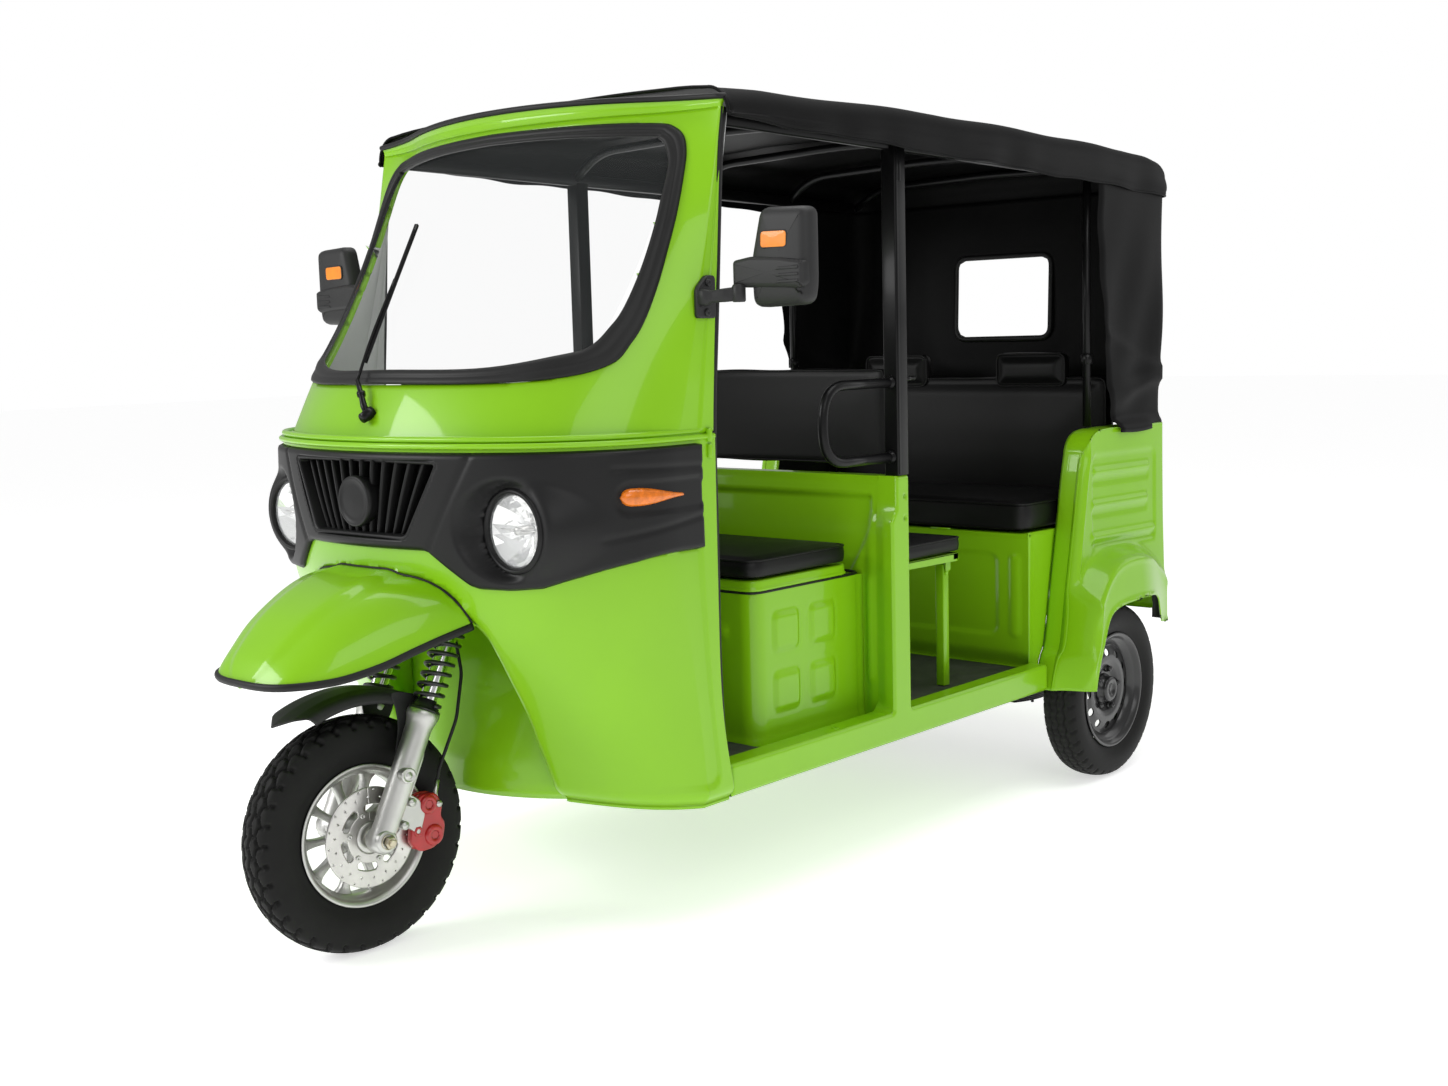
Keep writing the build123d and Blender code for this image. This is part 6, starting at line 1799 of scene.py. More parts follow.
edge_in = [(0.5885, 0, 0), (0.582, 0, 0), (0.566, 0, 0), (0.5400, 0, 0)]
door_path = rounded_path([(0.6195, 0.3855), (1.262, 0.3855), (1.262, 0.885), (1.283, 0.915), (1.283, 1.0)], 0.016, 6)
rear_path = rounded_path([(1.338, 1.0), (1.338, 0.3855), (2.029, 0.3855)], 0.012, 6)


def dense(path, gap=0.012):
    step = np.linalg.norm(np.diff(path, axis=0), axis=1)
    along = np.concatenate([[0], np.cumsum(step)])
    t = np.linspace(0, along[-1], max(2, int(along[-1] / gap)))
    return np.stack([np.interp(t, along, path[:, 0]), np.interp(t, along, path[:, 1])], -1)


front_wall = dense(door_path)
is_post = front_wall[:, 1] > 0.40
reach = np.where(front_wall[:, 1] < 0.885, 1.0, np.clip((0.915 - front_wall[:, 1]) / 0.03, -0.05, 1.0))
inward = [np.stack([np.full(len(front_wall), x), front_wall[:, 0] + is_post * move * reach,
                    front_wall[:, 1] + (~is_post) * sink], -1)
          for x, move, sink in ((0.5895, 0, 0), (0.584, 0.0003, 0.0002), (0.570, 0.001, 0.0003), (0.556, 0.004, 0),
                                (0.5465, 0.0095, -0.0005), (0.5335, 0.0122, -0.001))]
back_wall = dense(rear_path)
low_y = np.linspace(0.6195, 2.029, 60)
under = swept_wall(low_y, np.full(60, 0.3095), [(0.5885, 0, 0), (0.57, 0, 0), (0.5400, 0, 0)])
inner_face = strip([np.stack([np.full(60, 0.5395), low_y, np.full(60, z)], -1) for z in (0.3095, 0.358)])
plate_hole = turned([(0, 0.0), (0.0014, 0.0), (0.0016, 0.009), (0.0007, 0.010), (0, 0.010)], (0.566, 1.045, 0.3857),
                    (0, 0, 1), 20, False)
frame_parts = join_parts([outer, strip(inward), swept_wall(back_wall[:, 0], back_wall[:, 1], edge_in), under,
                          inner_face, plate_hole,
                          stacked(np.array([(0.536, 1.2840), (0.588, 1.2840), (0.588, 1.336), (0.536, 1.336)]),
                                  [(0.995, 0), (0.9985, 0), (0.9995, 0.001)])])
for name, side in (("left", 1), ("right", -1)):
    part = frame_parts if side > 0 else mirrored(frame_parts)
    new_piece(f"body_side_{name}", *part, "green_sheet", replaces=(f"side_frame_{name}",))
print("side frames ready")

# %% Partition and the board on it


def wall_place(x, z, out):
    return np.stack([x, 1.2835 - out, z], -1)


def wall_relief(x, z):
    a = np.abs(x)
    lean = np.clip(0.512 - (0.945 - z) * 0.0 - np.maximum(0.870 - z, 0) * 0.55, 0.40, 0.512)
    recess = np.minimum(np.minimum(lean - a, 0.948 - z), z - 0.700)
    both = smoothstep((recess + 0.002) / 0.012) * smoothstep((z - 0.70) / 0.10)
    step = 0.0085 * smoothstep((0.905 - z) / 0.03) * smoothstep((a - 0.485) / 0.03)
    oval = bead(a, z, (0.494, 0.526, 0.455, 0.742), 0.015, 0.008, 0.0055)
    return step + oval - 0.0165 * both + 0.003 * smoothstep((z - 0.985) / 0.01)


wall = relief_panel(wall_place, (-0.5375, 0.5375, 0.3585, 0.9985), (140, 84), wall_relief)
new_piece("partition_wall", *wall, "green_sheet", replaces=("partition_panel",))
top_rail = stacked(round_outline([(-0.537, 1.284), (0.537, 1.284), (0.537, 1.332), (-0.537, 1.332)], 0.004),
                   soft_edges(0.985, 0.9998, 0.005, 4))
back_face = relief_panel(lambda x, z, out: np.stack([x, 1.3320 + out, z], -1), (-0.5375, 0.5375, 0.3585, 0.99),
                         (90, 56),
                         lambda x, z: sum(0.006 * smoothstep(inside_box(x, z, c - 0.14, c + 0.14, 0.45, 0.90, 0.03)
                                                             / 0.012) for c in (-0.34, 0, 0.34)))
lugs = []
for side in (-1, 1):
    lugs.append(stacked(np.array([(side * 0.519, 1.330), (side * 0.529, 1.330), (side * 0.529, 1.404),
                                  (side * 0.519, 1.404)]), soft_edges(0.736, 0.768, 0.002, 3)))
    lugs.append(turned([(-0.012, 0), (-0.012, 0.006), (0.010, 0.006), (0.010, 0.0)], (side * 0.517, 1.392, 0.752),
                       (1, 0, 0), 18, False))
new_piece("partition_rail", *join_parts([top_rail, back_face] + lugs), "green_sheet", slot="green_sheet")
board, line = cushion(-0.550, 0.550, 1.030, 1.278, 1.2965, 1.3235, corner=0.018, edge=0.008, crown=0.003, seed=0.3,
                      columns=140)


def upright(part):
    """Turn a pad made lying down so that its top faces forwards: (x, y, z) becomes (x, depth, height)."""
    p = np.asarray(part[0]).reshape(-1, 3)
    return np.stack([p[:, 0], 2.62 - p[:, 2], p[:, 1] - 0.004], -1), [tuple(f) for f in part[1]]


board_piece = new_piece("partition_board", *join_parts([upright(board), upright(bar(line, 0.0022, 6, closed=True))]),
                        "black_vinyl", replaces=("partition_backrest",))
print("partition ready")

# %% Rear bench


def bench_relief(x, z):
    a = np.abs(x)
    field = smoothstep(inside_box(a, z, -0.5, 0.435, 0.455, 0.712, 0.035) / 0.014)
    side = bead(a, z, (0.468, 0.512, 0.455, 0.712), 0.02, 0.012, 0.0045)
    return -0.0055 * field + side + 0.004 * smoothstep((z - 0.758) / 0.006)


wall = relief_panel(lambda x, z, out: np.stack([x, 2.0205 - out + 0.020 * smoothstep((0.42 - z) / 0.06), z], -1),
                    (-0.5365, 0.5365, 0.3585, 0.768), (140, 66), bench_relief)
new_piece("bench_front", *wall, "green_sheet", replaces=("rear_bench_base",))
deck = stacked(round_outline([(-0.5365, 2.021), (0.5365, 2.021), (0.5365, 2.559), (-0.5365, 2.559)], 0.006),
               soft_edges(0.757, 0.7698, 0.004, 3))
bench_rear = stacked(np.array([(-0.5365, 2.549), (0.5365, 2.549), (0.5365, 2.559), (-0.5365, 2.559)]),
                     [(0.430, 0), (0.757, 0)])
staple = bar(np.array([(0.20, 2.014, 0.7715), (0.27, 2.014, 0.7715)]), 0.0025, 6)
new_piece("bench_deck", *join_parts([deck, bench_rear, staple]), "green_sheet", slot="green_sheet")
pad("bench_cushion", "rear_bench_cushion",
    [((-0.534, 0.534, 2.004, 2.470, 0.7702, 0.874), dict(corner=0.045, edge=0.024, crown=0.010, seed=1.9,
                                                         columns=160))])
back_parts = []
for box, options in (((-0.534, 0.534, 0.790, 1.212, 2.475, 2.558), dict(corner=0.03, edge=0.026, crown=0.010, seed=0.4,
                                                                        columns=160)),
                     ((-0.392, -0.134, 1.180, 1.290, 2.478, 2.530), dict(corner=0.03, edge=0.018, crown=0.006, seed=2.0,
                                                                         columns=84)),
                     ((0.134, 0.392, 1.180, 1.290, 2.478, 2.530), dict(corner=0.03, edge=0.018, crown=0.006, seed=3.1,
                                                                       columns=84))):
    form, line = cushion(*box, **options)
    middle = (box[4] + box[5])
    for part in (form, bar(line, 0.0030, 7, closed=True)):
        p = np.asarray(part[0]).reshape(-1, 3)
        back_parts.append((np.stack([p[:, 0], middle - p[:, 2], p[:, 1]], -1), [tuple(f) for f in part[1]]))
back_piece = new_piece("bench_back", *join_parts(back_parts), "black_vinyl", replaces=("rear_bench_backrest",))
print("rear bench ready")

# %% Rear-facing seat
pad("jump_cushion", "jump_seat_cushion",
    [((-0.504, 0.504, 1.370, 1.726, 0.7492, 0.8015),
      dict(corner=0.03, edge=0.014, crown=0.006, seed=1.1, columns=150))],
    "jump_seat")
frame = []
for side in (-1, 1):
    flange = np.array([(1.381, 0.748), (1.381, 0.730), (1.705, 0.726), (1.711, 0.748)])
    flange = round_outline(flange, 0.004)
    frame.append(stacked(flange, [(side * 0.4995, 0.0), (side * 0.4965, 0.0)][::side], "yz"))
    frame.append(stacked(round_outline([(side * 0.47, 1.381), (side * 0.4995, 1.381), (side * 0.4995, 1.711),
                                        (side * 0.47, 1.711)][::side], 0.003), [(0.7455, 0), (0.7488, 0)]))
    frame.append(stacked(np.array([(side * 0.506, 1.381), (side * 0.5135, 1.381), (side * 0.5135, 1.405),
                                   (side * 0.506, 1.405)][::side]), soft_edges(0.727, 0.763, 0.002, 3)))
    frame.append(stacked(round_outline([(1.684, 0.697), (1.708, 0.697), (1.708, 0.748), (1.684, 0.748)], 0.006),
                         [(side * 0.4695, 0.0), (side * 0.4735, 0.0)][::side], "yz"))
    frame.append(turned([(-0.022, 0), (-0.022, 0.005), (0.006, 0.005), (0.006, 0)], (side * 0.463, 1.696, 0.708),
                        (1, 0, 0), 16, False))
for y0, y1 in ((1.381, 1.411), (1.682, 1.711)):
    frame.append(stacked(round_outline([(-0.4995, y0), (0.4995, y0), (0.4995, y1), (-0.4995, y1)], 0.003),
                         soft_edges(0.729, 0.7488, 0.003, 3)))
new_piece("jump_frame", *join_parts(frame), "green_sheet", "jump_seat", replaces=("jump_seat_frame",))
legs = []
for side in (-1, 1):
    square = round_outline([(side * 0.438, 1.682), (side * 0.466, 1.682), (side * 0.466, 1.710),
                            (side * 0.438, 1.710)][::side],
                           0.004, 4)
    legs.append(stacked(square, soft_edges(0.3685, 0.715, 0.0015, 3)))
    for y in (1.696,):
        legs.append(turned([(0, 0.0), (0, 0.0085), (side * 0.004, 0.0085), (side * 0.0055, 0.006), (side * 0.0055, 0)],
                           (side * 0.4655, y, 0.692), (1, 0, 0), 12, False))
new_piece("jump_legs", *join_parts(legs), "green_sheet", "jump_seat_leg", replaces=("jump_seat_legs",), smooth=True)
print("rear-facing seat ready")

# %% Floor and mats


def mat(widest, y0, y1, seed, front_cut=0.0):
    """A rubber mat with a wandering edge that curls up a little where it meets the sill."""
    u, v = np.linspace(-1, 1, 60), np.linspace(0, 1, 30)
    grid_u, grid_v = np.meshgrid(u, v)
    y = y0 + (y1 - y0) * grid_v
    wander = 0.006 * np.sin(7 * y * 3 + seed) + 0.004 * np.sin(17 * y * 2 + 2 * seed)
    half = widest - 0.010 + wander - front_cut * smoothstep((0.10 - grid_v) / 0.10)
    x = grid_u * half
    y = y + 0.005 * np.sin(6 * x * 3 + seed) * np.sin(np.pi * grid_v)
    near = smoothstep((np.abs(grid_u) - 0.93) / 0.07)
    lift = near * (0.004 + 0.004 * np.sin(11 * y + seed) ** 2)
    z = 0.3665 + lift + 0.0012 * np.sin(41 * x) * np.sin(37 * y)
    z = z + 0.0010 * (np.sin(240 * y) > 0)
    return np.stack([x, y, z], -1).reshape(-1, 3), [tuple(f) for f in grid_faces(len(v), len(u))]


front_mat = mat(0.527, 0.560, 0.8385, 0.4, 0.06)
rear_mat = mat(0.533, 1.338, 2.036, 2.2)
mats = new_piece("rubber_mats", *join_parts([front_mat, rear_mat]), "mat_rubber", replaces=("floor_mats",))
thicken(mats, 0.0055)
floor_outline = round_outline([(-0.5375, 0.600), (-0.42, 0.505), (-0.25, 0.400), (0.25, 0.400), (0.42, 0.505),
                               (0.5375, 0.600), (0.5375, 2.0247), (-0.5375, 2.0247)], 0.012)
floor_parts = [stacked(floor_outline, soft_edges(0.3530, 0.3580, 0.0012, 2))]
for y in (0.620, 0.900, 1.300, 1.800):
    floor_parts.append(stacked(round_outline([(-0.5375, y - 0.02), (0.5375, y - 0.02), (0.5375, y + 0.02),
                                              (-0.5375, y + 0.02)], 0.003), soft_edges(0.3022, 0.3532, 0.003, 3)))
new_piece("floor_sheet", *join_parts(floor_parts), "green_sheet", replaces=("floor_pan",))
print("floor ready")

# %% Back wall and tail lamps
def back_relief(x, z):
    plate = -0.007 * smoothstep(inside_box(x, z, -0.130, 0.130, 0.600, 0.760, 0.012) / 0.006)
    ribs = sum(0.006 * smoothstep(inside_box(np.abs(x), z, 0.20, 0.54, low, low + 0.034, 0.016) / 0.012)
               for low in (0.905, 0.830, 0.560)) * (np.abs(x) < 0.55)
    upper = 0.006 * smoothstep(inside_box(x, z, -0.50, 0.50, 0.960, 1.020, 0.02) / 0.012)
    return plate + ribs * (z < 0.95) + upper + 0.005 * smoothstep((0.50 - z) / 0.015)


wall = relief_panel(lambda x, z, out: np.stack([x, 2.6395 + out, z], -1), (-0.6195, 0.6195, 0.4705, 1.0515),
                    (136, 62), back_relief, lambda x, z: inside_box(x, z, -0.6195, 0.6195, 0.4705, 1.0515, 0.006),
                    0.005)
new_piece("back_wall", *wall, "green_sheet", replaces=("rear_panel",))
lamps, bases = [], []
for side in (-1, 1):
    low, high = sorted((side * 0.5400, side * 0.6215))
    box = round_outline([(low, 0.7275), (high, 0.7275), (high, 0.9385), (low, 0.9385)], 0.012, 5)
    lamps.append(stacked(box, [(-2.6755, 0.004), (-2.6740, 0.0015), (-2.6700, 0.0), (-2.6520, 0.0)][::-1], "xz"))
    bases.append(stacked(box, [(-2.6535, -0.003), (-2.6520, -0.004), (-2.6460, -0.004)][::-1], "xz"))
new_piece("tail_lamp_lenses", *join_parts(lamps), "red_lens", replaces=("tail_lamps",))
new_piece("tail_lamp_bases", *join_parts(bases), "black_trim", slot="red_lens")
print("back wall and lamps ready")

# %% [markdown]
# ## Small parts
# Tubes follow the CAD's own centre lines; plates are outlines stacked with rounded edges.

# %% Roof tubes
RAIL_X, POST_X = 0.566, 0.573
tubes, roof_line_y = [], [0.70, 1.30, 1.82, 2.30, 2.685]


def square_tube(x0, x1, y0, y1, z0, z1, edge=0.004):
    return stacked(round_outline([(x0, y0), (x1, y0), (x1, y1), (x0, y1)], edge, 4), soft_edges(z0, z1, 0.001, 2))


for y in roof_line_y:
    z = 1.850 - 0.038 * (y - 0.66) / 1.995
    drop = np.interp(y, [0.635, 0.8, 1.5, 2.5, 2.7], [0.022, 0.008, 0, 0.026, 0.042])
    crown = 1.945 - drop - 0.010 - 0.0125
    bow = rounded_path([(-RAIL_X, y, z), (-0.46, y, crown - 0.011), (0, y, crown), (0.46, y, crown - 0.011),
                        (RAIL_X, y, z)], 0.07, 10)
    bow[:, 2] = np.minimum(bow[:, 2], crown)
    tubes.append(bar(bow, 0.0122, 12))
for side in (-1, 1):
    x = side * POST_X
    angle = [(x - 0.0215, 1.2925), (x + 0.0215, 1.2925), (x + 0.0215, 1.3395), (x + side * 0.0 - 0.0215, 1.3395)]
    tubes.append(square_tube(x - 0.0215, x + 0.0215, 1.2925, 1.3395, 1.0005, 1.829))
    tubes.append(square_tube(x + side * 0.0215 - 0.002, x + side * 0.0215 + 0.0015, 1.297, 1.304, 1.004, 1.822, 0.001))
    rail = [(side * RAIL_X, 0.66, 1.850), (side * RAIL_X, 2.655, 1.812)]
    ring = np.array([(-0.010, -0.017), (0.010, -0.017), (0.013, -0.014), (0.013, 0.014), (0.010, 0.017),
                     (-0.010, 0.017), (-0.013, 0.014), (-0.013, -0.014)])
    rings = carried_rings(np.array(rail), ring)
    rail_faces = [tuple(f) for f in grid_faces(2, 8, ring=True)] + [tuple(range(8))[::-1], tuple(range(8, 16))]
    tubes.append((rings.reshape(-1, 3), rail_faces))
    tubes.append(bar(np.array([(side * RAIL_X, 2.312, 1.0685), (side * RAIL_X, 2.312, 1.83)]), 0.0123, 16))
    tubes.append(turned([(-0.014, 0.0126), (-0.014, 0.0175), (0.014, 0.0175), (0.014, 0.0126)],
                        (side * RAIL_X, 2.312, 1.27), (0, 0, 1), 20, True))
    tubes.append(square_tube(side * 0.568 - 0.006, side * 0.568 + 0.006, 2.292, 2.300, 1.255, 1.285, 0.002))
    tubes.append(bar(np.array([(side * 0.578, 1.338, 1.246), (side * 0.578, 1.389, 1.246)]), 0.0065, 12))
    for k in range(2):
        tubes.append(square_tube(x + side * 0.0215 - 0.003, x + side * 0.0215 + 0.0015, 1.300 + 0.012 * k,
                                 1.306 + 0.012 * k, 1.742, 1.792, 0.001))
new_piece("roof_tubes", *join_parts(tubes), "black_steel", replaces=("roof_frame",))
handles = []
for side in (-1, 1):
    x = side * 0.573
    path = rounded_path([(x, 1.2915, 1.238), (x, 1.010, 1.238), (x, 1.010, 1.048), (x, 1.2915, 1.048)], 0.088, 12)
    handles.append(bar(path, 0.0125, 18))
    for z in (1.238, 1.048):
        handles.append(turned([(0, 0.0125), (0, 0.0175), (-0.004, 0.0165), (-0.011, 0.0126)], (x, 1.2915, z),
                              (0, 1, 0), 20, False))
new_piece("door_handles", *join_parts(handles), "black_steel", replaces=("grab_handles",))
print("roof tubes and handles ready")

# %% Mirrors


def mirror_set(side):
    """Housing, amber reflector and glass of one mirror. The housing has an upper shell, a band that sticks out
    towards the vehicle and carries grooves, and a chin."""
    shell_outline = round_outline([(0.714, 1.4245), (0.862, 1.428), (0.8705, 1.47), (0.8705, 1.633), (0.738, 1.6385),
                                   (0.708, 1.520)], 0.024, 7)
    levels = [(-0.628, 0.006), (-0.6265, 0.001), (-0.622, 0.0), (-0.604, 0.0005), (-0.596, 0.003), (-0.590, 0.0075),
              (-0.5865, 0.014), (-0.5850, 0.022)]
    shell = stacked(shell_outline, levels, "xz", 0.004)
    band_outline = round_outline([(0.668, 1.470), (0.800, 1.464), (0.856, 1.460), (0.868, 1.470), (0.868, 1.520),
                                  (0.800, 1.531), (0.720, 1.535), (0.668, 1.528)], 0.009, 5)
    band = stacked(band_outline, [(-0.618, 0.006), (-0.614, 0.001), (-0.600, 0.0), (-0.583, 0.0012), (-0.5775, 0.005),
                                  (-0.5752, 0.010)], "xz", 0.001)
    ribs = [stacked(round_outline([(0.795, z), (0.8555, z + 0.001), (0.8555, z + 0.0075), (0.80, z + 0.0065)], 0.002,
                                  4),
                    [(-0.590, 0), (-0.5745, 0.0), (-0.5728, 0.0012)], "xz") for z in (1.4735, 1.4875, 1.5015)]
    foot_outline = round_outline([(0.529, 1.4055), (0.589, 1.4055), (0.589, 1.4985), (0.560, 1.4995), (0.529, 1.470)],
                                 0.01)
    foot = [stacked(foot_outline, [(0.6003, 0.0), (0.6095, 0.0), (0.6118, 0.0025)], "yz")]
    foot += [turned([(0, 0), (0, 0.0085), (0.004, 0.0085), (0.0055, 0.006), (0.0055, 0.003), (0.0035, 0.0025),
                     (0.0035, 0)], (0.6110, y, z), (1, 0, 0), 20, False) for y, z in ((0.558, 1.418), (0.562, 1.483))]
    path = rounded_path([(0.606, 0.545, 1.450), (0.640, 0.553, 1.452), (0.690, 0.575, 1.456)], 0.02, 5)
    ring = np.array([(-0.0085, -0.015), (0.0085, -0.015), (0.012, -0.010), (0.012, 0.010), (0.0085, 0.015),
                     (-0.0085, 0.015), (-0.012, 0.010), (-0.012, -0.010)])
    widths = np.interp(np.linspace(0, 1, len(path)), [0, 0.35, 1], [1.35, 0.85, 1.0])[:, None, None]
    rings = carried_rings(path, ring[None] * widths)
    arm_faces = [tuple(q) for q in grid_faces(len(path), 8, ring=True)]
    arm = (rings.reshape(-1, 3), arm_faces + [tuple(range(8))[::-1], tuple(range(len(path) * 8 - 8, len(path) * 8))])
    knuckle = turned([(-0.018, 0), (-0.018, 0.0125), (-0.015, 0.015), (0.016, 0.015), (0.020, 0.0120), (0.020, 0)],
                     (0.690, 0.575, 1.456), (0, 0, 1), 20, False)
    parts = [shell, band, *ribs, *foot, arm, knuckle]
    reflector_outline = round_outline([(0.7475, 1.5505), (0.8185, 1.5495), (0.8200, 1.5840), (0.7490, 1.5855)], 0.009,
                                      6)
    frame = np.stack([reflector_outline[:, 0], np.full(len(reflector_outline), 0.5830), reflector_outline[:, 1]], -1)
    parts.append(bar(frame, 0.0022, 6, closed=True))
    reflector = stacked(reflector_outline, [(-0.5900, 0), (-0.5820, 0.0), (-0.5806, 0.0012)], "xz", 0.0006)
    glass = stacked(round_outline([(0.722, 1.434), (0.858, 1.438), (0.864, 1.628), (0.742, 1.632), (0.716, 1.520)],
                                  0.02, 6),
                    [(-0.6290, 0.001), (-0.6282, 0.0), (-0.6270, 0.0)], "xz")
    if side < 0:
        return join_parts([mirrored(p) for p in parts]), mirrored(reflector), mirrored(glass)
    return join_parts(parts), reflector, glass


sets = [mirror_set(1), mirror_set(-1)]
new_piece("mirror_bodies", *join_parts([s[0] for s in sets]), "black_plastic", replaces=("mirrors",))
new_piece("mirror_reflectors", *join_parts([s[1] for s in sets]), "amber_reflector", slot="black_plastic")
new_piece("mirror_glasses", *join_parts([s[2] for s in sets]), "chrome", slot="black_plastic")
print("mirrors ready")

# %% Wiper
hub = np.array([0, 0.106, 1.218])
post_path = np.array([hub + (0, -0.002, -0.001), hub + (0, -0.012, -0.005), hub + (0, -0.030, -0.013)])
wiper_parts = [bar(post_path, np.array([0.0150, 0.0132, 0.0118]), 20),
               bar(np.array([hub + (0, -0.014, -0.006), hub + (-0.016, -0.012, 0.014), hub + (-0.034, -0.004, 0.040),
                             hub + (-0.060, 0.006, 0.070)]), np.array([0.0085, 0.0078, 0.0062, 0.0052]), 14),
               turned([(-0.008, 0), (-0.008, 0.0075), (0.008, 0.0075), (0.008, 0)], hub + (-0.034, -0.004, 0.040),
                      (0.8, 0.55, 0.1), 14, False),
               bar(smooth_path([hub + (-0.060, 0.006, 0.070), hub + (-0.078, 0.070, 0.175),
                                hub + (-0.095, 0.153, 0.300)], 12), 0.0036, 10)]
blade_line = smooth_path([hub + (-0.068, 0.036, 0.112), hub + (-0.090, 0.136, 0.270), hub + (-0.112, 0.238, 0.430)], 18)
blade_ring = np.array([(-0.0045, -0.002), (0.0045, -0.002), (0.0035, 0.004), (0.001, 0.008), (-0.001, 0.008),
                       (-0.0035, 0.004)])
blade = carried_rings(blade_line, blade_ring)
blade_faces = [tuple(f) for f in grid_faces(18, 6, ring=True)] + [tuple(range(6))[::-1], tuple(range(102, 108))]
wiper_parts.append((blade.reshape(-1, 3), blade_faces))
new_piece("wiper_arm", *join_parts(wiper_parts), "black_steel", replaces=("wiper",))
print("wiper ready")

# %% Steering head and frame
CHASSIS_X = 0.300
frame_parts = []
for side in (-1, 1):
    x = side * CHASSIS_X
    path = np.array([(x, 0.60, 0.272), (x, 2.050, 0.272), (x, 2.160, 0.372), (x, 2.615, 0.372)])
    ring = np.array([(-0.0215, -0.030), (0.0215, -0.030), (0.025, -0.0265), (0.025, 0.0265), (0.0215, 0.030),
                     (-0.0215, 0.030), (-0.025, 0.0265), (-0.025, -0.0265)])
    fine = np.concatenate([np.linspace(p, q, 12)[:-1] for p, q in zip(path, path[1:])] + [path[-1:]])
    rings = carried_rings(fine, ring)
    faces = [tuple(q) for q in grid_faces(len(fine), 8, ring=True)]
    faces += [tuple(range(8))[::-1], tuple(range((len(fine) - 1) * 8, len(fine) * 8))]
    frame_parts.append((rings.reshape(-1, 3), faces))
    frame_parts.append(bar(np.array([(side * 0.120, 0.560, 0.288), (side * 0.020, 0.399, 0.893)]), 0.0175, 14))
    frame_parts.append(bar(np.array([(x * 0.97, 0.66, 0.280), (side * 0.120, 0.560, 0.288)]), 0.0150, 12))
for y, z in ((0.640, 0.278), (0.900, 0.272), (1.300, 0.272), (1.800, 0.272), (2.440, 0.372), (2.590, 0.372)):
    frame_parts.append(stacked(round_outline([(-0.300, y - 0.0195), (0.300, y - 0.0195), (0.300, y + 0.0195),
                                              (-0.300, y + 0.0195)], 0.003),
                                              soft_edges(z - 0.0195, z + 0.0195, 0.003, 3)))
head = [turned([(0.740, 0.0175), (0.740, 0.026), (0.752, 0.0275), (0.760, 0.026), (0.816, 0.026), (0.824, 0.0275),
                (0.836, 0.026), (0.836, 0.0175)], FOOT, STEM, 36, False)]
new_piece("frame_rails", *join_parts(frame_parts + head), "black_steel", replaces=("chassis_frame",))
print("frame ready")

# %% Axle, motor and springs
axle_profile = [(-0.633, 0.0), (-0.633, 0.0150), (-0.5405, 0.0152), (-0.540, 0.040), (-0.512, 0.042), (-0.5118, 0.094),
                (-0.509, 0.0957), (-0.502, 0.0957), (-0.4998, 0.090), (-0.4995, 0.044), (-0.49, 0.033), (-0.02, 0.033),
                (-0.010, 0.040), (0.0, 0.060), (0.030, 0.088), (0.056, 0.0985), (0.060, 0.1010), (0.070, 0.1010),
                (0.074, 0.0985), (0.104, 0.0985), (0.110, 0.094), (0.130, 0.088), (0.160, 0.060), (0.170, 0.040),
                (0.180, 0.033), (0.49, 0.033), (0.4995, 0.044), (0.4998, 0.090), (0.502, 0.0957), (0.509, 0.0957),
                (0.5118, 0.094), (0.512, 0.042), (0.540, 0.040), (0.5405, 0.0152), (0.633, 0.0150), (0.633, 0.0)]
axle_parts = [turned(axle_profile, (0, 2.32, 0.2675), (1, 0, 0), 64, False)]
for k in range(8):
    a = math.radians(45 * k + 20)
    axle_parts.append(turned([(0.0, 0.0), (0.0, 0.0065), (0.005, 0.0065), (0.0065, 0.005), (0.0065, 0.0)],
                             (0.104, 2.32 + 0.085 * math.cos(a), 0.2675 + 0.085 * math.sin(a)), (1, 0, 0), 6, False))
new_piece("axle_housing", *join_parts(axle_parts), "black_steel", replaces=("rear_axle",))
motor_profile = [(-0.020, 0.0), (-0.020, 0.030), (-0.018, 0.034), (-0.017, 0.078), (-0.012, 0.085), (0.0, 0.0895)]
for k in range(11):
    start = 0.008 + 0.0120 * k
    motor_profile += [(start, 0.0895), (start + 0.001, 0.0845), (start + 0.005, 0.0845), (start + 0.006, 0.0895)]
motor_profile += [(0.150, 0.0895), (0.172, 0.085), (0.177, 0.078), (0.178, 0.034), (0.1795, 0.030), (0.1795, 0.0)]
motor_profile = [(a, r) for a, r in motor_profile]
neck = stacked(round_outline([(0.040, 2.188), (0.120, 2.188), (0.120, 2.2194), (0.040, 2.2194)], 0.006),
               soft_edges(0.2285, 0.3070, 0.004, 3))
terminals = [turned([(-0.01, 0), (-0.01, 0.007), (0.012, 0.007), (0.014, 0.005), (0.014, 0)],
                    (0.05 + 0.03 * k, 2.130, 0.350), (0, 0, 1), 12, False) for k in range(3)]
new_piece("motor_drum", *join_parts([turned(motor_profile, (0, 2.1297, 0.2735), (1, 0, 0), 72, False), neck]
                                    + terminals), "cast_alloy", replaces=("drive_motor",))
spring_parts_rear = []
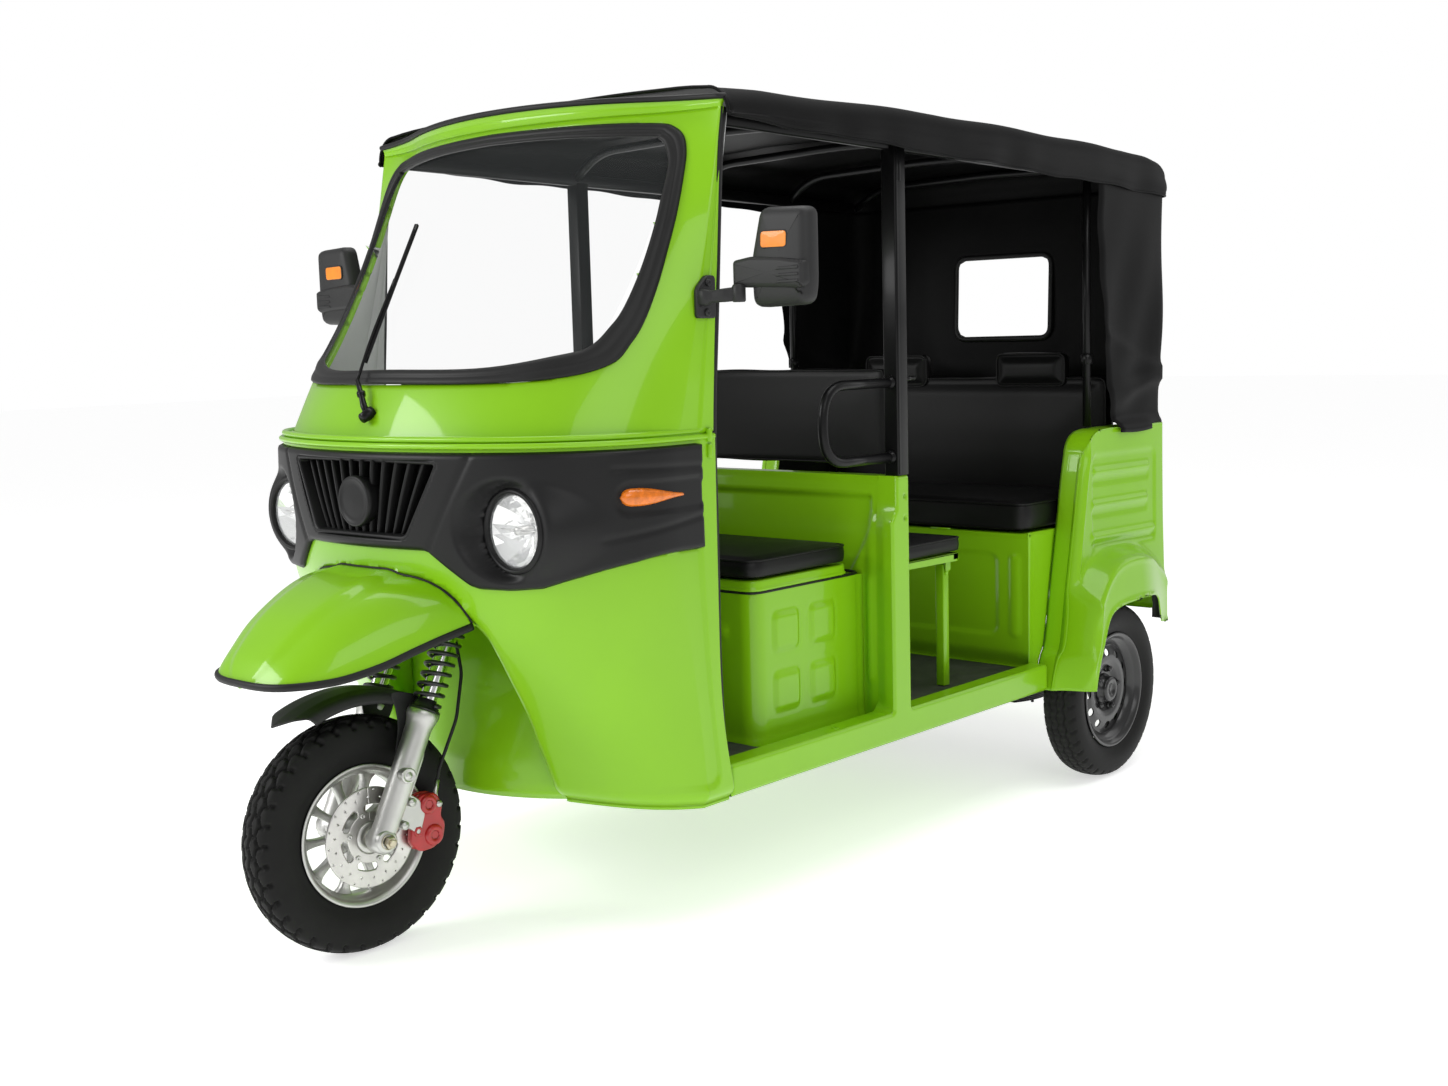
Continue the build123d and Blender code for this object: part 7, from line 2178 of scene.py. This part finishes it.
for side in (-1, 1):
    low, high = sorted((side * 0.355, side * 0.405))
    for level, (ahead, behind) in enumerate(((0.358, 0.290), (0.300, 0.245), (0.235, 0.190), (0.165, 0.125))):
        y = np.linspace(-ahead, behind, 26)
        front_rise = 0.049 * np.clip(-y / 0.358, 0, 1) ** 1.7
        back_rise = 0.074 * np.clip(y / 0.290, 0, 1) ** 1.7
        middle = 0.2295 + front_rise + back_rise - 0.0052 * level
        top = np.stack([y + 2.32, middle + 0.0022], -1)
        bottom = np.stack([y + 2.32, middle - 0.0022], -1)[::-1]
        ring = np.concatenate([top, bottom])
        both = np.stack([np.concatenate([np.full((52, 1), low), ring], 1),
                         np.concatenate([np.full((52, 1), high), ring], 1)])
        faces = [tuple(q) for q in grid_faces(2, 52, ring=True)]
        for end in (0, 52):
            faces += [(end + k, end + k + 1, end + 50 - k, end + 51 - k) for k in range(25)]
        spring_parts_rear.append((both.reshape(-1, 3), faces))
    inner = side * 0.3255
    for y, z in ((1.962, 0.284), (2.595, 0.310)):
        spring_parts_rear.append(turned([(0, 0.0), (0, 0.0125), (0.082, 0.0125), (0.0835, 0.011), (0.0835, 0)],
                                        (inner, y, z), (side, 0, 0), 20, False))
        spring_parts_rear.append(turned([(0.0, 0.0165), (0.050, 0.0165), (0.050, 0.012), (0.0, 0.012)],
                                        (side * 0.355, y, z), (side, 0, 0), 24, True))
    shackle = round_outline([(2.580, 0.300), (2.610, 0.300), (2.610, 0.381), (2.580, 0.381)], 0.010)
    spring_parts_rear.append(stacked(shackle, soft_edges(*sorted((side * 0.3256, side * 0.3330)), 0.001, 2), "yz"))
    for y in (2.272, 2.352):
        clamp = rounded_path([(side * 0.362, y, 0.205), (side * 0.362, y, 0.238), (side * 0.398, y, 0.238),
                              (side * 0.398, y, 0.205)], 0.01, 5)
        spring_parts_rear.append(bar(clamp, 0.0048, 10))
new_piece("leaf_packs", *join_parts(spring_parts_rear), "black_steel", replaces=("leaf_springs",))
print("axle, motor and springs ready")

# %% Dashboard, handlebar and roof front
shelf_u, shelf_v = np.meshgrid(np.linspace(-2.86, 2.86, 150), np.linspace(0, 1, 10))
shelf_front = body_plan(shelf_u, np.full(shelf_u.shape, 1.232), HIGH_ROWS, -0.034)
deep = np.clip(0.410 - shelf_front[..., 1], 0.0, 1)
shelf = shelf_front.copy()
shelf[..., 1] = shelf_front[..., 1] + (np.maximum(0.425, shelf_front[..., 1] + 0.01) - shelf_front[..., 1]) * shelf_v
shelf[..., 2] = 1.2300 - 0.004 * smoothstep((shelf_v - 0.7) / 0.3) + 0.0015 * np.sin(np.pi * shelf_v)
skirt = shelf[-1][None].repeat(6, 0).copy()
skirt[..., 2] = np.linspace(1.2260, 1.2075, 6)[:, None]
skirt[..., 1] += np.array([0.0, 0.002, 0.0025, 0.002, 0.001, 0.0])[:, None]
deck_grid = np.concatenate([shelf, skirt])
pod_outline = round_outline([(-0.120, 1.226), (0.120, 1.226), (0.105, 1.272), (0.085, 1.2865), (-0.085, 1.2865),
                             (-0.105, 1.272)], 0.012, 5)
pod = stacked(pod_outline, [(-0.400, 0.012), (-0.397, 0.006), (-0.388, 0.001), (-0.300, 0.0), (-0.262, 0.004),
                            (-0.252, 0.012)], "xz")
dial = turned([(0, 0.0), (0, 0.0245), (0.003, 0.0275), (0.006, 0.0275), (0.006, 0.024), (0.003, 0.022), (0.003, 0)],
              (0, 0.3965, 1.2565), (0, 1, 0), 40, False)
new_piece("dash_shelf", *join_parts([(deck_grid.reshape(-1, 3),
                                      [tuple(q) for q in grid_faces(deck_grid.shape[0], deck_grid.shape[1])]), pod,
                                      dial]),
          "black_plastic", replaces=("dashboard",))
centre = FOOT + STEM * 0.878
tip = np.array([0.330, 0, 0]) + STEM * 0.045 + BACK * 0.070
shoulder = np.array([0.200, 0, 0]) + STEM * 0.045 + BACK * 0.028
knee = np.array([0.120, 0, 0])
flip = np.array([-1, 1, 1])
bar_path = rounded_path([centre + tip * flip, centre + shoulder * flip, centre - knee, centre + knee,
                         centre + shoulder, centre + tip], 0.035, 7)
bar_path = bar_path - FOOT
handle_parts = [bar(bar_path, 0.0108, 16)]
for side in (-1, 1):
    way = flip if side < 0 else np.ones(3)
    start = centre - FOOT + (np.array([0.232, 0, 0]) + STEM * 0.045 + BACK * 0.0385) * way
    end = centre - FOOT + (np.array([0.336, 0, 0]) + STEM * 0.045 + BACK * 0.0721) * way
    run = np.linspace(start, end, 40)
    rib = 0.0155 + 0.0012 * (np.sin(np.linspace(0, 24 * np.pi, 40)) > 0)
    rib[0], rib[-1] = 0.012, 0.013
    handle_parts.append(bar(run, rib, 20))
    lever = smooth_path([start + BACK * -0.012 + np.array([0.012, 0, 0]) * way,
                         start - BACK * 0.028 + np.array([0.020, 0, 0]) * way,
                         start - BACK * 0.030 + np.array([0.070, 0, 0]) * way], 12)
    handle_parts.append(bar(lever, np.linspace(0.006, 0.0042, 12), 10))
clamp = stacked(round_outline([(-0.035, -0.023), (0.035, -0.023), (0.035, 0.023), (-0.035, 0.023)], 0.007),
                soft_edges(0.8625, 0.894, 0.004, 3))
clamp_points = clamp[0][:, :1] * (1, 0, 0) + clamp[0][:, 1:2] * BACK + clamp[0][:, 2:] * STEM
handle_parts.append((clamp_points, clamp[1]))
points, faces = join_parts(handle_parts)
new_piece("handle_tube", steered(points + FOOT), faces, "black_steel", "steering", replaces=("handlebar",))
print("dashboard and handlebar ready")

# %% Roof front
lip_u = np.concatenate([np.linspace(-2.95, -2.05, 12), np.linspace(-1.98, 1.98, 96), np.linspace(2.05, 2.95, 12)])
base_line = body_plan(lip_u, np.full(lip_u.shape, 1.8675), HIGH_ROWS)
lip_line = body_plan(lip_u, np.full(lip_u.shape, 1.868), HIGH_ROWS, 0.0085)
lip_line[:, 2] = 1.9035 - 0.016 * np.clip(np.abs(lip_line[:, 0]) / 0.6, 0, 1) ** 2.2
lip_line[:, 1] = np.minimum(lip_line[:, 1], 0.646)
cove = []
for share in np.linspace(0, 1, 14):
    middle = base_line * 0.75 + lip_line * 0.25
    middle[:, 2] = base_line[:, 2] * 0.30 + lip_line[:, 2] * 0.70
    fold = -0.0016 * math.exp(-((share - 0.45) / 0.07) ** 2)
    line = (1 - share) ** 2 * base_line + 2 * share * (1 - share) * middle + share ** 2 * lip_line
    cove.append(line + (0, -fold, fold))
crest_line = lip_line * (0.965, 1, 1) + (0, 0.028, 0.007)
crest_line[:, 1] = np.minimum(crest_line[:, 1], 0.650)
back_line = crest_line * (0.985, 1, 1)
back_line[:, 1] = 0.6505
back_line[:, 2] = np.minimum(crest_line[:, 2] + 0.0045, 1.9170)
cove.append(lip_line + (0, 0.002, 0.0035))
for share in np.linspace(0.15, 1, 6):
    cove.append((lip_line + (0, 0.002, 0.0035)) * (1 - share) + crest_line * share)
for share in np.linspace(0.15, 1, 6):
    cove.append(crest_line * (1 - share) + back_line * share)
cove = np.array(cove)
roof_front = new_piece("roof_front_cove", cove, grid_faces(len(cove), len(lip_u)), "green_sheet",
                       replaces=("roof_front_panel",))
thicken(roof_front, 0.0015)
edge_line = lip_line[6:-6] + (0, 0.0005, 0.0016)
new_piece("roof_front_lip", *bar(edge_line, 0.0068, 10), "black_rubber", slot="green_sheet")
print("roof front ready")
